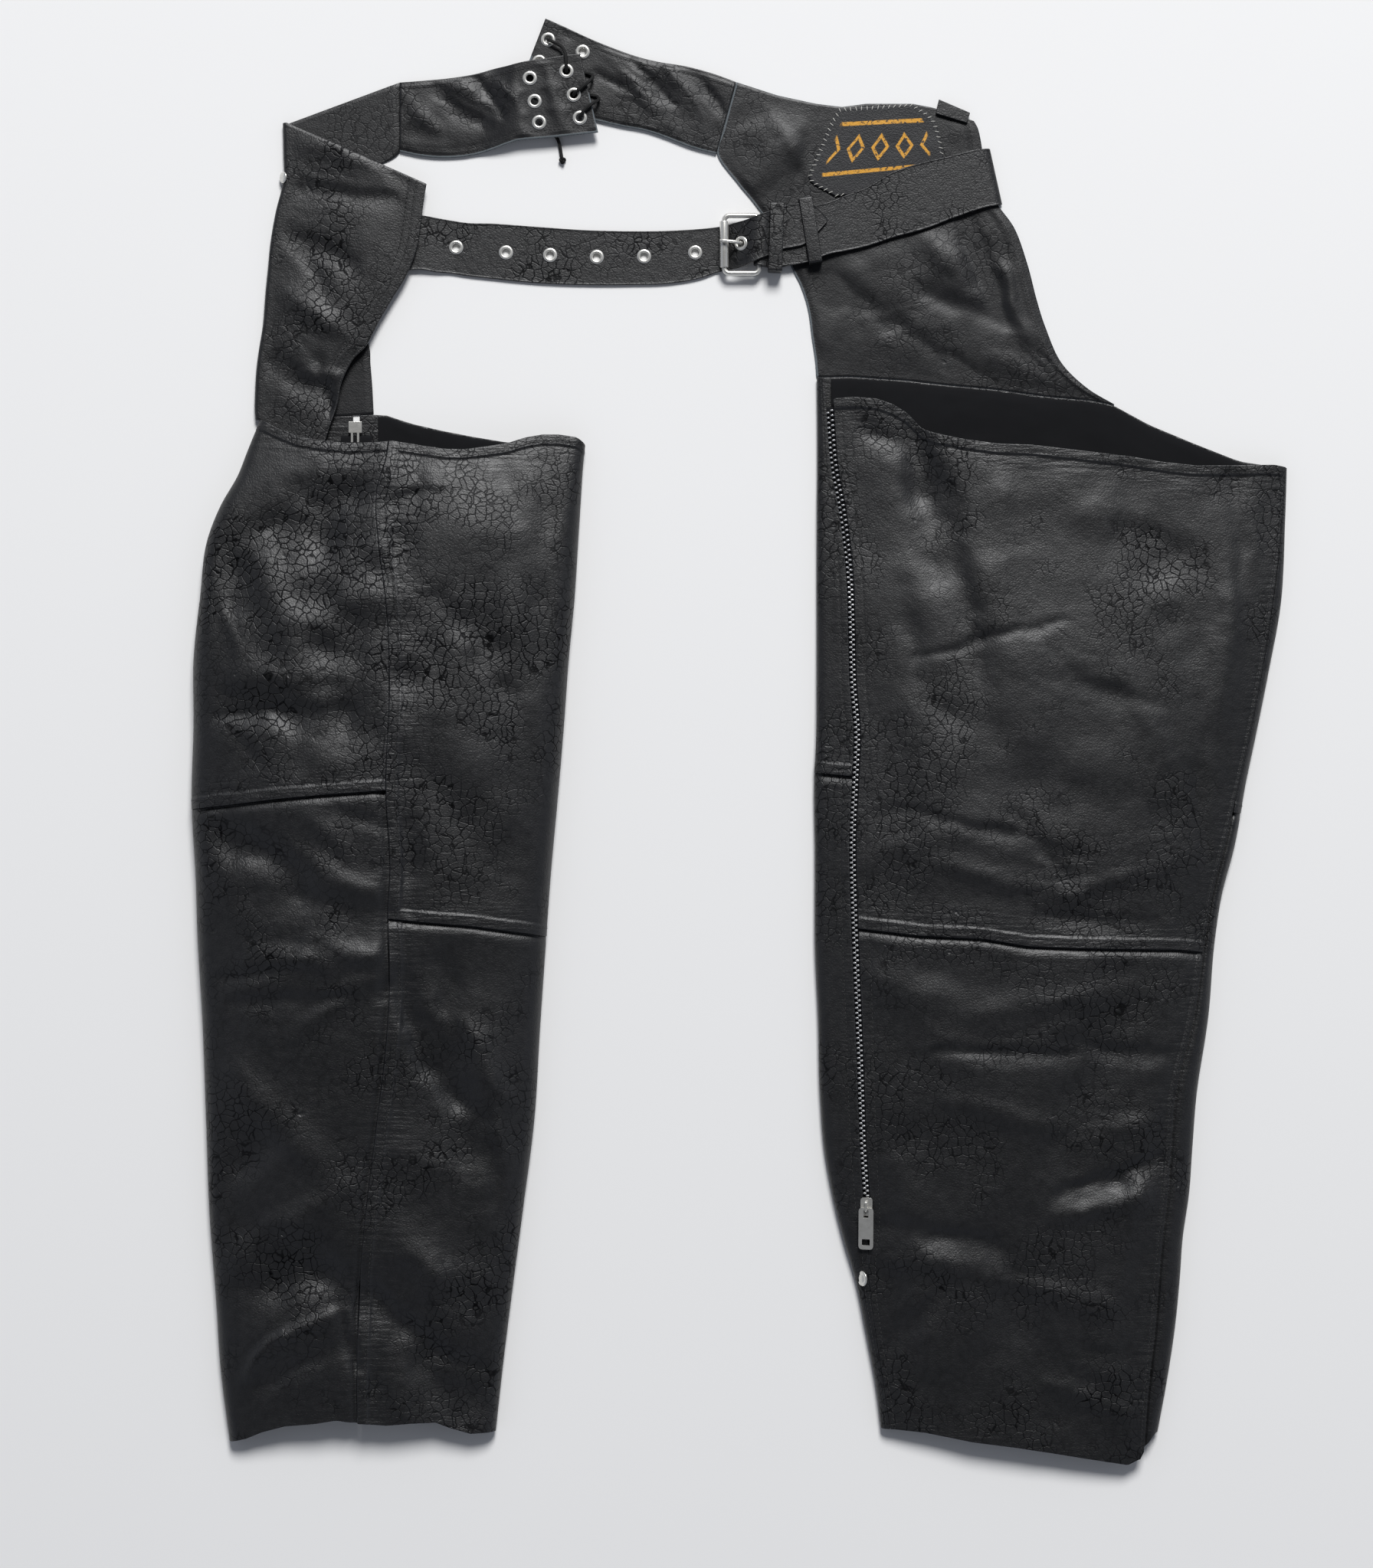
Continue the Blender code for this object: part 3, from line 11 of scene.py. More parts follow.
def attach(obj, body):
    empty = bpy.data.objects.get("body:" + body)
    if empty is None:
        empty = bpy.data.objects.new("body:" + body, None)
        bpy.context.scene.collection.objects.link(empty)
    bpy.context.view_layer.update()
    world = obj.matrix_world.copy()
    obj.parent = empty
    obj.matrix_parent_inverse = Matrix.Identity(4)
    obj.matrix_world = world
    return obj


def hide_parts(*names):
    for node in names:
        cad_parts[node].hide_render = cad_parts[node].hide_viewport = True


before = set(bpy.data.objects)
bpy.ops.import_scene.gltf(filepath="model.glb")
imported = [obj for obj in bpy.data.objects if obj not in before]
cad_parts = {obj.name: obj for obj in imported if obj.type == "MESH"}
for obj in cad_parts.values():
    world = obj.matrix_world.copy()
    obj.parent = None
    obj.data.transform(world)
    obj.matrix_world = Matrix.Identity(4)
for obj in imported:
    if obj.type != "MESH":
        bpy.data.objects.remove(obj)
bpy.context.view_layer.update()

mm = 0.001
planMiddle = np.array([0.55, 2.05, 0.0])  # the middle of the outline, which is the frame's origin
outlineRight = 430.0

view = {"height": 2.4, "middle": (-0.04135, -0.03445), "frameHeight": 1.2282, "sensor": 36.0}


def makeCamera():
    data = bpy.data.cameras.new("camera")
    data.sensor_width = view["sensor"]
    data.lens = view["sensor"] * view["height"] / view["frameHeight"]
    data.clip_end = 50.0
    camera = bpy.data.objects.new("camera", data)
    camera.location = (*view["middle"], view["height"])
    bpy.context.scene.collection.objects.link(camera)
    bpy.context.scene.camera = camera


makeCamera()
print("camera made")


# Reads a two-column table with a smooth cubic through its rows.
def smooth(table, value):
    rows = sorted(table)
    keys = np.array([row[0] for row in rows], float)
    values = np.array([row[1] for row in rows], float)
    slopes = np.gradient(values, keys)
    value = np.clip(np.asarray(value, float), keys[0], keys[-1])
    at = np.clip(np.searchsorted(keys, value) - 1, 0, len(keys) - 2)
    step = keys[at + 1] - keys[at]
    part = (value - keys[at]) / step
    square = part * part
    cube = square * part
    return (
        (2 * cube - 3 * square + 1) * values[at]
        + (cube - 2 * square + part) * step * slopes[at]
        + (3 * square - 2 * cube) * values[at + 1]
        + (cube - square) * step * slopes[at + 1]
    )


def linear(table, value):
    rows = sorted(table)
    return np.interp(value, [row[0] for row in rows], [row[1] for row in rows])


def ease(value):
    value = np.clip(value, 0.0, 1.0)
    return value * value * (3 - 2 * value)


def column(table, index):
    return [(row[0], row[index]) for row in table]


# Smooth noise from -1 to 1: a seeded lattice of numbers, eased between its corners.
def softNoise(x, y, cell, seed):
    lattice = np.random.default_rng(seed).uniform(-1, 1, (128, 128))
    u = x / cell + 40.3
    v = y / cell + 57.7
    i = np.floor(u).astype(int)
    j = np.floor(v).astype(int)
    acrossPart = ease(u - i)
    upPart = ease(v - j)
    low = lattice[i % 128, j % 128] * (1 - acrossPart) + lattice[(i + 1) % 128, j % 128] * acrossPart
    high = lattice[i % 128, (j + 1) % 128] * (1 - acrossPart) + lattice[(i + 1) % 128, (j + 1) % 128] * acrossPart
    return low * (1 - upPart) + high * upPart


# Heights of soft ridges and troughs along warped lines: rise * taper * exp(-(distance / half width)^2).
# A seventh number makes the side on the line's left steeper (above 0) or shallower.
def lineRelief(table, x, y):
    height = np.zeros(np.broadcast(x, y).shape)
    warpX = x + 3.2 * softNoise(x, y, 24, 201) + 1.2 * softNoise(x, y, 10, 202)
    warpY = y + 3.2 * softNoise(x, y, 24, 203) + 1.2 * softNoise(x, y, 10, 204)
    uneven = 1 + 0.3 * softNoise(x, y, 21, 205)
    for x0, y0, x1, y1, width, rise, *skew in table:
        run = (x1 - x0) ** 2 + (y1 - y0) ** 2
        along = np.clip(((warpX - x0) * (x1 - x0) + (warpY - y0) * (y1 - y0)) / run, 0, 1)
        away = np.hypot(warpX - x0 - along * (x1 - x0), warpY - y0 - along * (y1 - y0))
        if skew:
            side = (warpY - y0) * (x1 - x0) - (warpX - x0) * (y1 - y0)
            width = width * (1 - 0.55 * skew[0] * np.tanh(side / math.sqrt(run) / 2))
        taper = 1 - 0.45 * np.abs(2 * along - 1)
        height = height + rise * taper * uneven * np.exp(-((away / width) ** 2))
    return height


# Heights of a patch of uneven, nearly parallel wrinkles: an oval of warped waves with sharp troughs.
def wrinkleRelief(table, x, y):
    height = np.zeros(np.broadcast(x, y).shape)
    for seed, (x0, y0, halfLength, halfWidth, turn, pitch, rise) in enumerate(table):
        angle = math.radians(turn)
        along = (x - x0) * math.cos(angle) + (y - y0) * math.sin(angle)
        across = -(x - x0) * math.sin(angle) + (y - y0) * math.cos(angle)
        inside = ease(1.35 - 1.35 * np.hypot(along / halfLength, across / halfWidth))
        warp = 0.9 * softNoise(along, across, 3.2 * pitch, 50 + seed) + 0.3 * softNoise(along, across, pitch, 90 + seed)
        wave = np.abs(np.sin(math.pi * (across / pitch + warp)))
        uneven = 0.6 + 0.4 * softNoise(along, across, 2.2 * pitch, 130 + seed)
        height = height + rise * inside * uneven * (np.sqrt(wave) - 0.6)
    return height


def normalsOf(points):
    across = np.gradient(points, axis=1)
    along = np.gradient(points, axis=0)
    normal = np.cross(across, along)
    return normal / np.maximum(np.linalg.norm(normal, axis=-1, keepdims=True), 1e-9)


def unit(vectors):
    return vectors / np.maximum(np.linalg.norm(vectors, axis=-1, keepdims=True), 1e-9)


# A mesh object from plan points and arrays of faces, turned outwards by its signed volume.
def addMesh(name, points, faceSets, finishes, faceFinish=None, fields=None, uv=None, smoothShade=True):
    placed = (np.asarray(points, float) - planMiddle) * mm
    volume = 0.0
    for faces in faceSets:
        for corner in range(1, faces.shape[1] - 1):
            sides = np.cross(placed[faces[:, corner]], placed[faces[:, corner + 1]])
            volume += float(np.einsum("ij,ij->", placed[faces[:, 0]], sides))
    if volume < 0:
        faceSets = [faces[:, ::-1] for faces in faceSets]
    loops = np.concatenate([faces.ravel() for faces in faceSets]).astype(np.int32)
    sizes = np.concatenate([np.full(len(faces), faces.shape[1]) for faces in faceSets])
    starts = np.concatenate([[0], np.cumsum(sizes)[:-1]]).astype(np.int32)
    mesh = bpy.data.meshes.new(name)
    mesh.vertices.add(len(placed))
    mesh.vertices.foreach_set("co", placed.astype(np.float32).ravel())
    mesh.loops.add(len(loops))
    mesh.loops.foreach_set("vertex_index", loops)
    mesh.polygons.add(len(sizes))
    mesh.polygons.foreach_set("loop_start", starts)
    mesh.update(calc_edges=True)
    for finish in finishes:
        mesh.materials.append(finish)
    if faceFinish is not None:
        mesh.polygons.foreach_set("material_index", np.asarray(faceFinish, np.int32))
    for key, values in (fields or {}).items():
        made = mesh.attributes.new(key, "FLOAT", "POINT")
        made.data.foreach_set("value", np.asarray(values, np.float32).ravel())
    if uv is not None:
        layer = mesh.uv_layers.new(name="UVMap")
        layer.data.foreach_set("uv", np.asarray(uv, np.float32)[loops].ravel())
    mesh.polygons.foreach_set("use_smooth", np.full(len(sizes), smoothShade))
    mesh.validate()
    piece = bpy.data.objects.new(name, mesh)
    bpy.context.scene.collection.objects.link(piece)
    return piece


# Gives a piece its body and hides the solids it stands for.
def settle(piece, nodes=(), body="chaps"):
    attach(piece, body)
    if nodes:
        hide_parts(*nodes)
    return piece


def gridQuads(number):
    return np.stack([number[:-1, :-1], number[:-1, 1:], number[1:, 1:], number[1:, :-1]], axis=-1).reshape(-1, 4)


# The closed wall between two grids. Its rim is a half ellipse: middle + half wall * cos(a) + outwards * bulge * sin(a).
def wall(name, outer, inner, finishes, bulge=0.35, steps=3, rimFinish=0, innerFinish=0, fields=None, uv=None):
    rows, columns = outer.shape[:2]
    count = rows * columns
    number = np.arange(count).reshape(rows, columns)
    rim = np.concatenate([number[0, :], number[1:, -1], number[-1, -2::-1], number[-2:0:-1, 0]])
    inside = number[np.clip(rim // columns, 1, rows - 2), np.clip(rim % columns, 1, columns - 2)]
    flatOuter = outer.reshape(-1, 3)
    flatInner = inner.reshape(-1, 3)
    outwards = unit(flatOuter[rim] + flatInner[rim] - flatOuter[inside] - flatInner[inside])
    middle = (flatOuter[rim] + flatInner[rim]) / 2
    half = (flatOuter[rim] - flatInner[rim]) / 2
    loops = [rim]
    points = [flatOuter, flatInner]
    for step in range(steps):
        angle = math.pi * (step + 1) / (steps + 1)
        points.append(middle + half * math.cos(angle) + outwards * bulge * math.sin(angle))
        loops.append(2 * count + step * len(rim) + np.arange(len(rim)))
    loops.append(rim + count)
    rimFaces = []
    for here, below in zip(loops[:-1], loops[1:]):
        rimFaces.append(np.stack([np.roll(here, -1), here, below, np.roll(below, -1)], axis=-1))
    rimFaces = np.concatenate(rimFaces)
    outerFaces = gridQuads(number)
    innerFaces = gridQuads(number)[:, ::-1] + count
    faceFinish = np.concatenate([
        np.zeros(len(outerFaces)), np.full(len(innerFaces), innerFinish), np.full(len(rimFaces), rimFinish),
    ])
    spread = {}
    for key, values in (fields or {}).items():
        flat = np.asarray(values, float).ravel()
        spread[key] = np.concatenate([flat, flat] + [flat[rim]] * steps)
    if uv is not None:
        flat = uv.reshape(-1, 2)
        uv = np.concatenate([flat, flat] + [flat[rim]] * steps)
    faces = np.concatenate([outerFaces, innerFaces, rimFaces])
    return addMesh(name, np.concatenate(points), [faces], finishes, faceFinish, spread, uv)


# A tube of round sections along a path: centre + radius * (side * cos(a) + up * sin(a)). Closed paths have no caps.
def tube(name, path, radii, around, finish, closed=False, uvPitch=None, squash=1.0):
    path = np.asarray(path, float)
    if closed:
        tangent = unit(np.roll(path, -1, axis=0) - np.roll(path, 1, axis=0))
    else:
        tangent = unit(np.gradient(path, axis=0))
    side = np.zeros_like(tangent)
    guess = np.array([0.0, 0.0, 1.0]) if abs(tangent[0][2]) < 0.9 else np.array([1.0, 0.0, 0.0])
    last = np.cross(tangent[0], guess)
    for place in range(len(path)):
        last = last - tangent[place] * np.dot(last, tangent[place])
        last = last / np.linalg.norm(last)
        side[place] = last
    up = np.cross(tangent, side)
    angle = np.arange(around) / around * 2 * math.pi
    radii = np.broadcast_to(np.asarray(radii, float), (len(path),))[:, None, None]
    ring = side[:, None, :] * np.cos(angle)[None, :, None] + up[:, None, :] * squash * np.sin(angle)[None, :, None]
    points = (path[:, None, :] + radii * ring).reshape(-1, 3)
    number = np.arange(len(path) * around).reshape(len(path), around)
    number = np.concatenate([number, number[:, :1]], axis=1)
    if closed:
        number = np.concatenate([number, number[:1]], axis=0)
    faceSets = [gridQuads(number)]
    length = np.concatenate([[0], np.cumsum(np.linalg.norm(np.diff(path, axis=0), axis=1))])
    uv = np.stack(np.broadcast_arrays(angle[None, :] / (2 * math.pi), length[:, None] / (uvPitch or 1.0)), axis=-1)
    uv = uv.reshape(-1, 2)
    if not closed:
        last = len(points)
        points = np.concatenate([points, path[:1] - tangent[:1] * radii[0] * 0.3, path[-1:] + tangent[-1:] * radii[-1] * 0.3])
        first = number[0]
        final = number[-1]
        faceSets.append(np.stack([np.full(around, last), first[1:], first[:-1]], axis=-1))
        faceSets.append(np.stack([final[:-1], final[1:], np.full(around, last + 1)], axis=-1))
        uv = np.concatenate([uv, uv[:1], uv[-1:]])
    return addMesh(name, points, faceSets, [finish], uv=uv if uvPitch else None)


# A smooth path: a cubic through the given points, read at even steps of its length.
def smoothPath(route, count):
    route = np.asarray(route, float)
    length = np.concatenate([[0], np.cumsum(np.linalg.norm(np.diff(route, axis=0), axis=1))])
    fine = np.linspace(0, length[-1], 600)
    path = np.stack([smooth(list(zip(length, route[:, axis])), fine) for axis in range(3)], axis=-1)
    run = np.concatenate([[0], np.cumsum(np.linalg.norm(np.diff(path, axis=0), axis=1))])
    at = np.linspace(0, run[-1], count)
    return np.stack([np.interp(at, run, path[:, axis]) for axis in range(3)], axis=-1)


# A ring turned about the local Z axis from a closed profile of radius and height, placed by a matrix.
def turnedRing(name, profile, steps, matrix, finish):
    profile = np.asarray(profile, float)
    angle = np.arange(steps) / steps * 2 * math.pi
    radius = profile[None, :, 0]
    local = np.stack(np.broadcast_arrays(
        radius * np.cos(angle)[:, None], radius * np.sin(angle)[:, None], profile[None, :, 1]), axis=-1)
    turn = np.array(matrix)
    points = local.reshape(-1, 3) @ turn[:3, :3].T + turn[:3, 3]
    number = np.arange(len(points)).reshape(steps, len(profile))
    number = np.concatenate([number, number[:1]], axis=0)
    number = np.concatenate([number, number[:, :1]], axis=1)
    return addMesh(name, points, [gridQuads(number)], [finish])


# A closed cap turned from a profile whose two ends lie on the axis.
def turnedCap(name, profile, steps, matrix, finish):
    profile = np.asarray(profile, float)
    angle = np.arange(steps) / steps * 2 * math.pi
    body = profile[1:-1]
    local = np.stack(np.broadcast_arrays(
        body[:, None, 0] * np.cos(angle), body[:, None, 0] * np.sin(angle), body[:, None, 1] + 0 * angle), axis=-1)
    local = np.concatenate([local.reshape(-1, 3), [[0, 0, profile[0][1]], [0, 0, profile[-1][1]]]])
    turn = np.array(matrix)
    points = local @ turn[:3, :3].T + turn[:3, 3]
    number = np.arange(len(body) * steps).reshape(len(body), steps)
    number = np.concatenate([number, number[:, :1]], axis=1)
    low = np.full(steps, len(points) - 2)
    high = np.full(steps, len(points) - 1)
    caps = np.concatenate([
        np.stack([low, number[0, 1:], number[0, :-1]], axis=-1), np.stack([number[-1, :-1], number[-1, 1:], high], axis=-1),
    ])
    return addMesh(name, points, [gridQuads(number), caps], [finish])


# Many copies of a small closed shape, each set by a centre and three axes.
def scatter(name, shape, faceSets, centres, axes, finish):
    points = centres[:, None, :] + np.einsum("pk,mkc->mpc", shape, axes)
    shift = (np.arange(len(centres)) * len(shape))[:, None, None]
    joined = [(faces[None] + shift).reshape(-1, faces.shape[1]) for faces in faceSets]
    return addMesh(name, points.reshape(-1, 3), joined, [finish])


# One stitch: a flattened capsule with its ends drawn down. Rows of points: along, sideways, up.
stitch = {"pitch": 3.6, "length": 2.9, "width": 0.33, "height": 0.27, "whipWidth": 0.42}


def stitchShape(length, width, height, around=6):
    points = []
    for along, scale, lift in ((-0.36, 0.85, 0.0), (0.0, 1.0, 0.08), (0.36, 0.85, 0.0)):
        for turn in np.arange(around) / around * 2 * math.pi:
            points.append((along * length, math.cos(turn) * width * scale, math.sin(turn) * height * scale + lift))
    points += [(-length / 2, 0.0, -0.08), (length / 2, 0.0, -0.08)]
    number = np.arange(3 * around).reshape(3, around)
    number = np.concatenate([number, number[:, :1]], axis=1)
    last = 3 * around
    caps = [(last, number[0, step + 1], number[0, step]) for step in range(around)]
    caps += [(number[2, step], number[2, step + 1], last + 1) for step in range(around)]
    return np.array(points), [gridQuads(number), np.array(caps)]


# Stitches at even steps along runs of (points, normals). Each one's axes: along the run, sideways, up.
def makeStitches(name, runs, finish, pitch, size):
    centres, axes = [], []
    random = np.random.default_rng(len(name))
    for points, normals in runs:
        length = np.concatenate([[0], np.cumsum(np.linalg.norm(np.diff(points, axis=0), axis=1))])
        count = max(int(length[-1] / pitch), 1)
        at = (np.arange(count) + 0.5) * length[-1] / count
        read = lambda values, where: np.stack([np.interp(where, length, values[:, axis]) for axis in range(3)], axis=-1)
        tangent = unit(read(points, at + 0.8) - read(points, at - 0.8))
        up = unit(read(normals, at))
        tangent = unit(tangent + 0.08 * random.uniform(-1, 1, (count, 1)) * np.cross(up, tangent))
        centre = read(points, at)
        centre[:, 2] = np.maximum(centre[:, 2], 0.35)
        centres.append(centre)
        axes.append(np.stack([tangent, np.cross(up, tangent), up], axis=1))
    shape, faceSets = stitchShape(*size)
    piece = scatter(name, shape, faceSets, np.concatenate(centres), np.concatenate(axes), finish)
    return settle(piece)


# Left leg. sections: y, left x, right x, crown, side roll. Seams up the leg: y, x. Level edges: x, y.
leftLeg = {
    "sections": [
        (258, -371, -120, 15.0, 5.0),
        (242, -378, -119.5, 17.0, 5.5),
        (227, -384, -120.5, 21.0, 6.0),
        (209, -391, -122, 26.0, 6.5),
        (185, -404.5, -123.5, 31.0, 7.0),
        (161, -414, -125, 35.0, 7.5),
        (113, -420.5, -128, 39.0, 8.0),
        (65, -425.5, -132.5, 41.0, 8.0),
        (17, -425.5, -136, 41.0, 8.0),
        (-48, -427, -141.5, 39.0, 8.0),
        (-102, -424, -146.5, 37.0, 8.0),
        (-150, -422.5, -150, 35.0, 7.5),
        (-222, -418.5, -155, 32.0, 7.0),
        (-294, -416, -159.5, 30.0, 6.5),
        (-366, -413.5, -168.5, 28.0, 6.0),
        (-438, -408, -178, 26.0, 6.0),
        (-486, -405, -184, 24.0, 5.5),
        (-550, -397, -191, 21.0, 5.5),
    ],
    "powers": (0.72, 0.66),
    "depth": [(-550, 0.95), (-120, 0.85), (60, 0.44), (260, 0.44)],
    "inseam": [
        (240, -272), (220, -274.5), (197, -281), (154, -279.5), (110, -273.5), (45, -270.5),
        (-37, -273), (-101, -270), (-135, -271.8), (-173, -270.5), (-224, -272.5), (-297, -281),
        (-370, -290), (-423, -294.5), (-477, -296.5), (-550, -296.5),
    ],
    "zip": [(260, -299), (60, -299), (-200, -300), (-550, -300)],
    "topHem": [
        (-378, 252), (-372, 251.5), (-360, 245), (-342.5, 237.5), (-325, 234.5), (-303.5, 232.5),
        (-282, 233), (-269, 234), (-245, 230), (-227.5, 227.5), (-212, 227.5), (-194.5, 230),
        (-179.5, 232.5), (-166, 237), (-153, 239.5), (-140, 239.5), (-126.5, 237.5), (-119, 232),
    ],
    "lowerEdge": [
        (-378, 252), (-286, 256.5), (-275.5, 256), (-256, 249.5), (-232, 244), (-209, 239.5),
        (-185, 235.5), (-160, 232.5), (-119, 231),
    ],
    "hem": [
        (-397, -545.5), (-383.5, -542), (-371, -536.5), (-353, -531.5), (-331, -529.5),
        (-313, -526.5), (-295, -529), (-273.5, -530.5), (-254.5, -529), (-236, -528.5),
        (-225, -533), (-209, -538), (-191, -537.5),
    ],
    "frontSeam": [(-427, -52.5), (-390.5, -48.5), (-358, -44.5), (-325, -41.5), (-273, -37.5)],
    "backSeam": [(-270, -137), (-248.5, -139), (-207, -142.5), (-165.5, -148.5), (-147.5, -152)],
    "folds": [
        (-398, 175, -350, 95, 16, 5.0),
        (-330, 150, -300, 210, 26, -8.0),
        (-395, 40, -310, 15, 15, -5.0),
        (-400, -75, -325, -95, 18, -5.0),
        (-285, -120, -370, -75, 11, 4.5),
        (-285, -165, -375, -185, 14, 4.0),
        (-395, -260, -320, -330, 15, 4.0),
        (-385, -380, -300, -430, 22, -5.0),
        (-285, -440, -218, -520, 15, -5.0),
        (-245, 190, -170, 150, 24, 4.0),
        (-175, 120, -155, 10, 15, 4.5),
        (-240, -20, -180, -100, 20, -4.0),
        (-232, -175, -212, -320, 15, -5.0),
        (-200, -230, -180, -380, 14, 4.0),
        (-255, -380, -215, -470, 16, 3.5),
    ],
}

# Right leg, with the same columns.
rightLeg = {
    "sections": [
        (300, 61, 430, 12.0, 3.6),
        (214, 61.5, 428.5, 15.0, 3.8),
        (167, 61, 427, 18.0, 4.0),
        (110, 61, 424, 22.0, 4.2),
        (59, 61, 415, 25.0, 4.4),
        (7, 60.5, 404.5, 27.0, 4.6),
        (-31, 59, 396.5, 28.0, 4.8),
        (-83, 59.5, 387, 28.0, 5.0),
        (-119, 59.5, 377.5, 27.0, 5.0),
        (-155, 59.5, 372, 27.0, 5.0),
        (-214, 62, 367, 26.0, 5.0),
        (-274, 63.5, 358, 25.0, 5.0),
        (-318, 67, 354.5, 24.0, 5.0),
        (-352, 73, 352, 23.0, 5.0),
        (-387, 81.5, 347, 22.0, 5.0),
        (-421, 91.5, 344.5, 21.0, 5.0),
        (-456, 98.5, 341, 20.0, 5.0),
        (-502, 107, 334, 19.0, 5.0),
        (-565, 114, 322, 17.0, 4.8),
    ],
    "powers": (1.15, 0.66),
    "depth": [(-550, 0.9), (300, 0.72)],
    "inseam": [
        (214, 427), (167, 423.5), (110, 416.5), (59, 408.5), (7, 398.5), (-31, 390), (-83, 377.5),
        (-119, 368.5), (-155, 362.5), (-214, 354), (-274, 339.5), (-318, 336), (-352, 333.5),
        (-387, 329.5), (-421, 326.5), (-456, 324), (-502, 319), (-570, 315),
    ],
    "zip": [
        (290, 69), (266, 71), (208, 76), (190, 79.5), (158, 84), (137, 86), (85, 88), (46, 89),
        (7, 92), (-31, 90.5), (-76, 88.5), (-126, 89.5), (-190, 92), (-238, 94), (-285, 95.5),
        (-321, 97), (-350, 99), (-387, 101), (-421, 101.5), (-456, 106), (-502, 113), (-570, 123),
    ],
    "topHem": [
        (70, 265.5), (75.5, 268.5), (90, 269.5), (108, 268), (121, 263.5), (131.5, 257), (143.5, 244.5),
        (155, 240.5), (176, 236), (201.5, 232.5), (228, 231.5), (254, 228.5), (279.5, 225.5),
        (306, 222.5), (332, 218), (357.5, 215.5), (392, 216), (417.5, 216.5), (428, 214.5),
    ],
    "facingEdge": [
        (60, 285.5), (87, 286), (110.5, 284.5), (131.5, 283), (162.5, 279.5), (201.5, 276),
        (240.5, 270.5), (275, 267.5), (293, 264),
    ],
    "scoopEdge": [(293, 264), (321.5, 248.5), (357.5, 233.5), (392, 220), (428, 214.5)],
    "hemTop": [
        (111, -535.5), (121, -535.5), (144.5, -537.5), (182, -544.5), (218.5, -549), (252.5, -554.5),
        (282.5, -559.5), (303, -563), (312.5, -558.5), (317, -549), (325, -538.5),
    ],
    "hemFloor": [(111, -536), (182, -541), (252, -545), (303, -545), (325, -538.5)],
    "frontSeam": [(59, -24), (396, -56)],
    "backSeam": [
        (92, -145), (140.5, -150.5), (188, -152.5), (224, -158.5), (259, -160), (342, -161.5), (364, -164),
    ],
    "folds": [
        (137, 250, 150, 130, 12, -4.5),
        (170, 225, 215, 60, 22, 3.0),
        (300, 200, 360, 60, 26, -3.5),
        (395, 180, 372, 20, 14, 3.0),
        (115, 20, 125, -120, 16, -2.5),
        (200, -20, 330, -60, 24, -3.0),
        (120, -190, 185, -260, 18, 3.0),
        (300, -190, 250, -320, 22, -3.5),
        (320, -260, 300, -420, 13, 3.0),
        (130, -330, 150, -480, 16, 3.0),
        (200, -380, 235, -520, 20, -3.5),
        (285, -440, 300, -540, 14, 2.5),
    ],
}

# Left hip, folded over at its left: fold x, fold y, back x, back y, front x, front y.
leftHip = {
    "sections": [
        (-378, 252.8, -286, 257.3, -327, 224),
        (-378.5, 263, -287, 277, -314.5, 262),
        (-377.5, 287, -288.5, 296, -310.5, 280),
        (-375.5, 305, -290, 312, -302, 298),
        (-372, 327, -301, 336, -291, 310),
        (-370, 352, -309, 365, -281, 329),
        (-368, 372, -308, 392, -271, 346),
        (-366, 392, -303, 416, -260, 364),
        (-362, 415, -292, 446, -252, 384),
        (-356, 440, -266, 461.5, -248.5, 405),
        (-356, 461, -265, 488, -246, 424),
        (-356.5, 484, -265.5, 516.5, -244, 436),
    ],
    "roll": 3.4,
    "swell": 3.0,
}

# Right hip, one flat layer: left x, left y, right x, right y.
rightHip = {
    "sections": [
        (61, 286.3, 294, 264.7),
        (60, 300, 272, 278),
        (57.5, 317, 252, 298),
        (54.5, 339, 240, 325),
        (49, 357, 233, 347),
        (42, 371, 226, 374),
        (27, 401, 216, 402),
        (12.5, 422, 201.5, 423),
        (-1, 438.5, 194.5, 443),
        (-16.6, 460.6, 191, 461),
        (-12, 479, 189, 473),
        (-7, 498, 187, 481),
        (-1.7, 517, 184, 486.5),
    ],
    "topEdge": [(-2, 517), (30.5, 506.5), (60.5, 500), (81, 497.5), (99.5, 500), (136, 500), (152, 497), (184, 486.5)],
}

# Yokes: top x, top y, bottom x, bottom y, lift.
yokes = {
    "left": [
        (-263.8, 516.5, -263.8, 462.5, 0.0),
        (-244, 518, -250, 459.5, 0.0),
        (-224, 520, -234, 458, 0.0),
        (-206, 523, -218, 458.5, 0.0),
        (-191, 527, -203, 461, 0.5),
        (-182, 528.5, -192, 464, 3.0),
        (-173, 530.3, -180, 468, 5.6),
        (-164.5, 532, -170, 470.5, 6.2),
        (-147.5, 534.5, -147.5, 472.5, 6.2),
        (-135, 536.5, -128, 474.5, 6.2),
        (-124, 537.5, -110, 476.5, 6.2),
    ],
    "right": [
        (-151, 566.5, -173.5, 508.5, 0.0),
        (-137.5, 560.5, -152, 500.5, 0.0),
        (-110, 548, -122, 490, 0.0),
        (-82, 537.5, -94, 483, 0.0),
        (-62.5, 532.5, -73, 479, 0.0),
        (-41, 529, -56.5, 473.5, 0.0),
        (-20.5, 523.5, -37, 466, 0.0),
        (-3.4, 517.3, -18.8, 461.2, 0.0),
    ],
    "leftEyelets": [(-134.5, 524), (-128.8, 505.5), (-124, 487.5), (-163, 518.5), (-159.3, 500.5), (-155.8, 484)],
    "rightEyelets": [(-149, 550), (-156, 532.5), (-122, 540.5)],
}

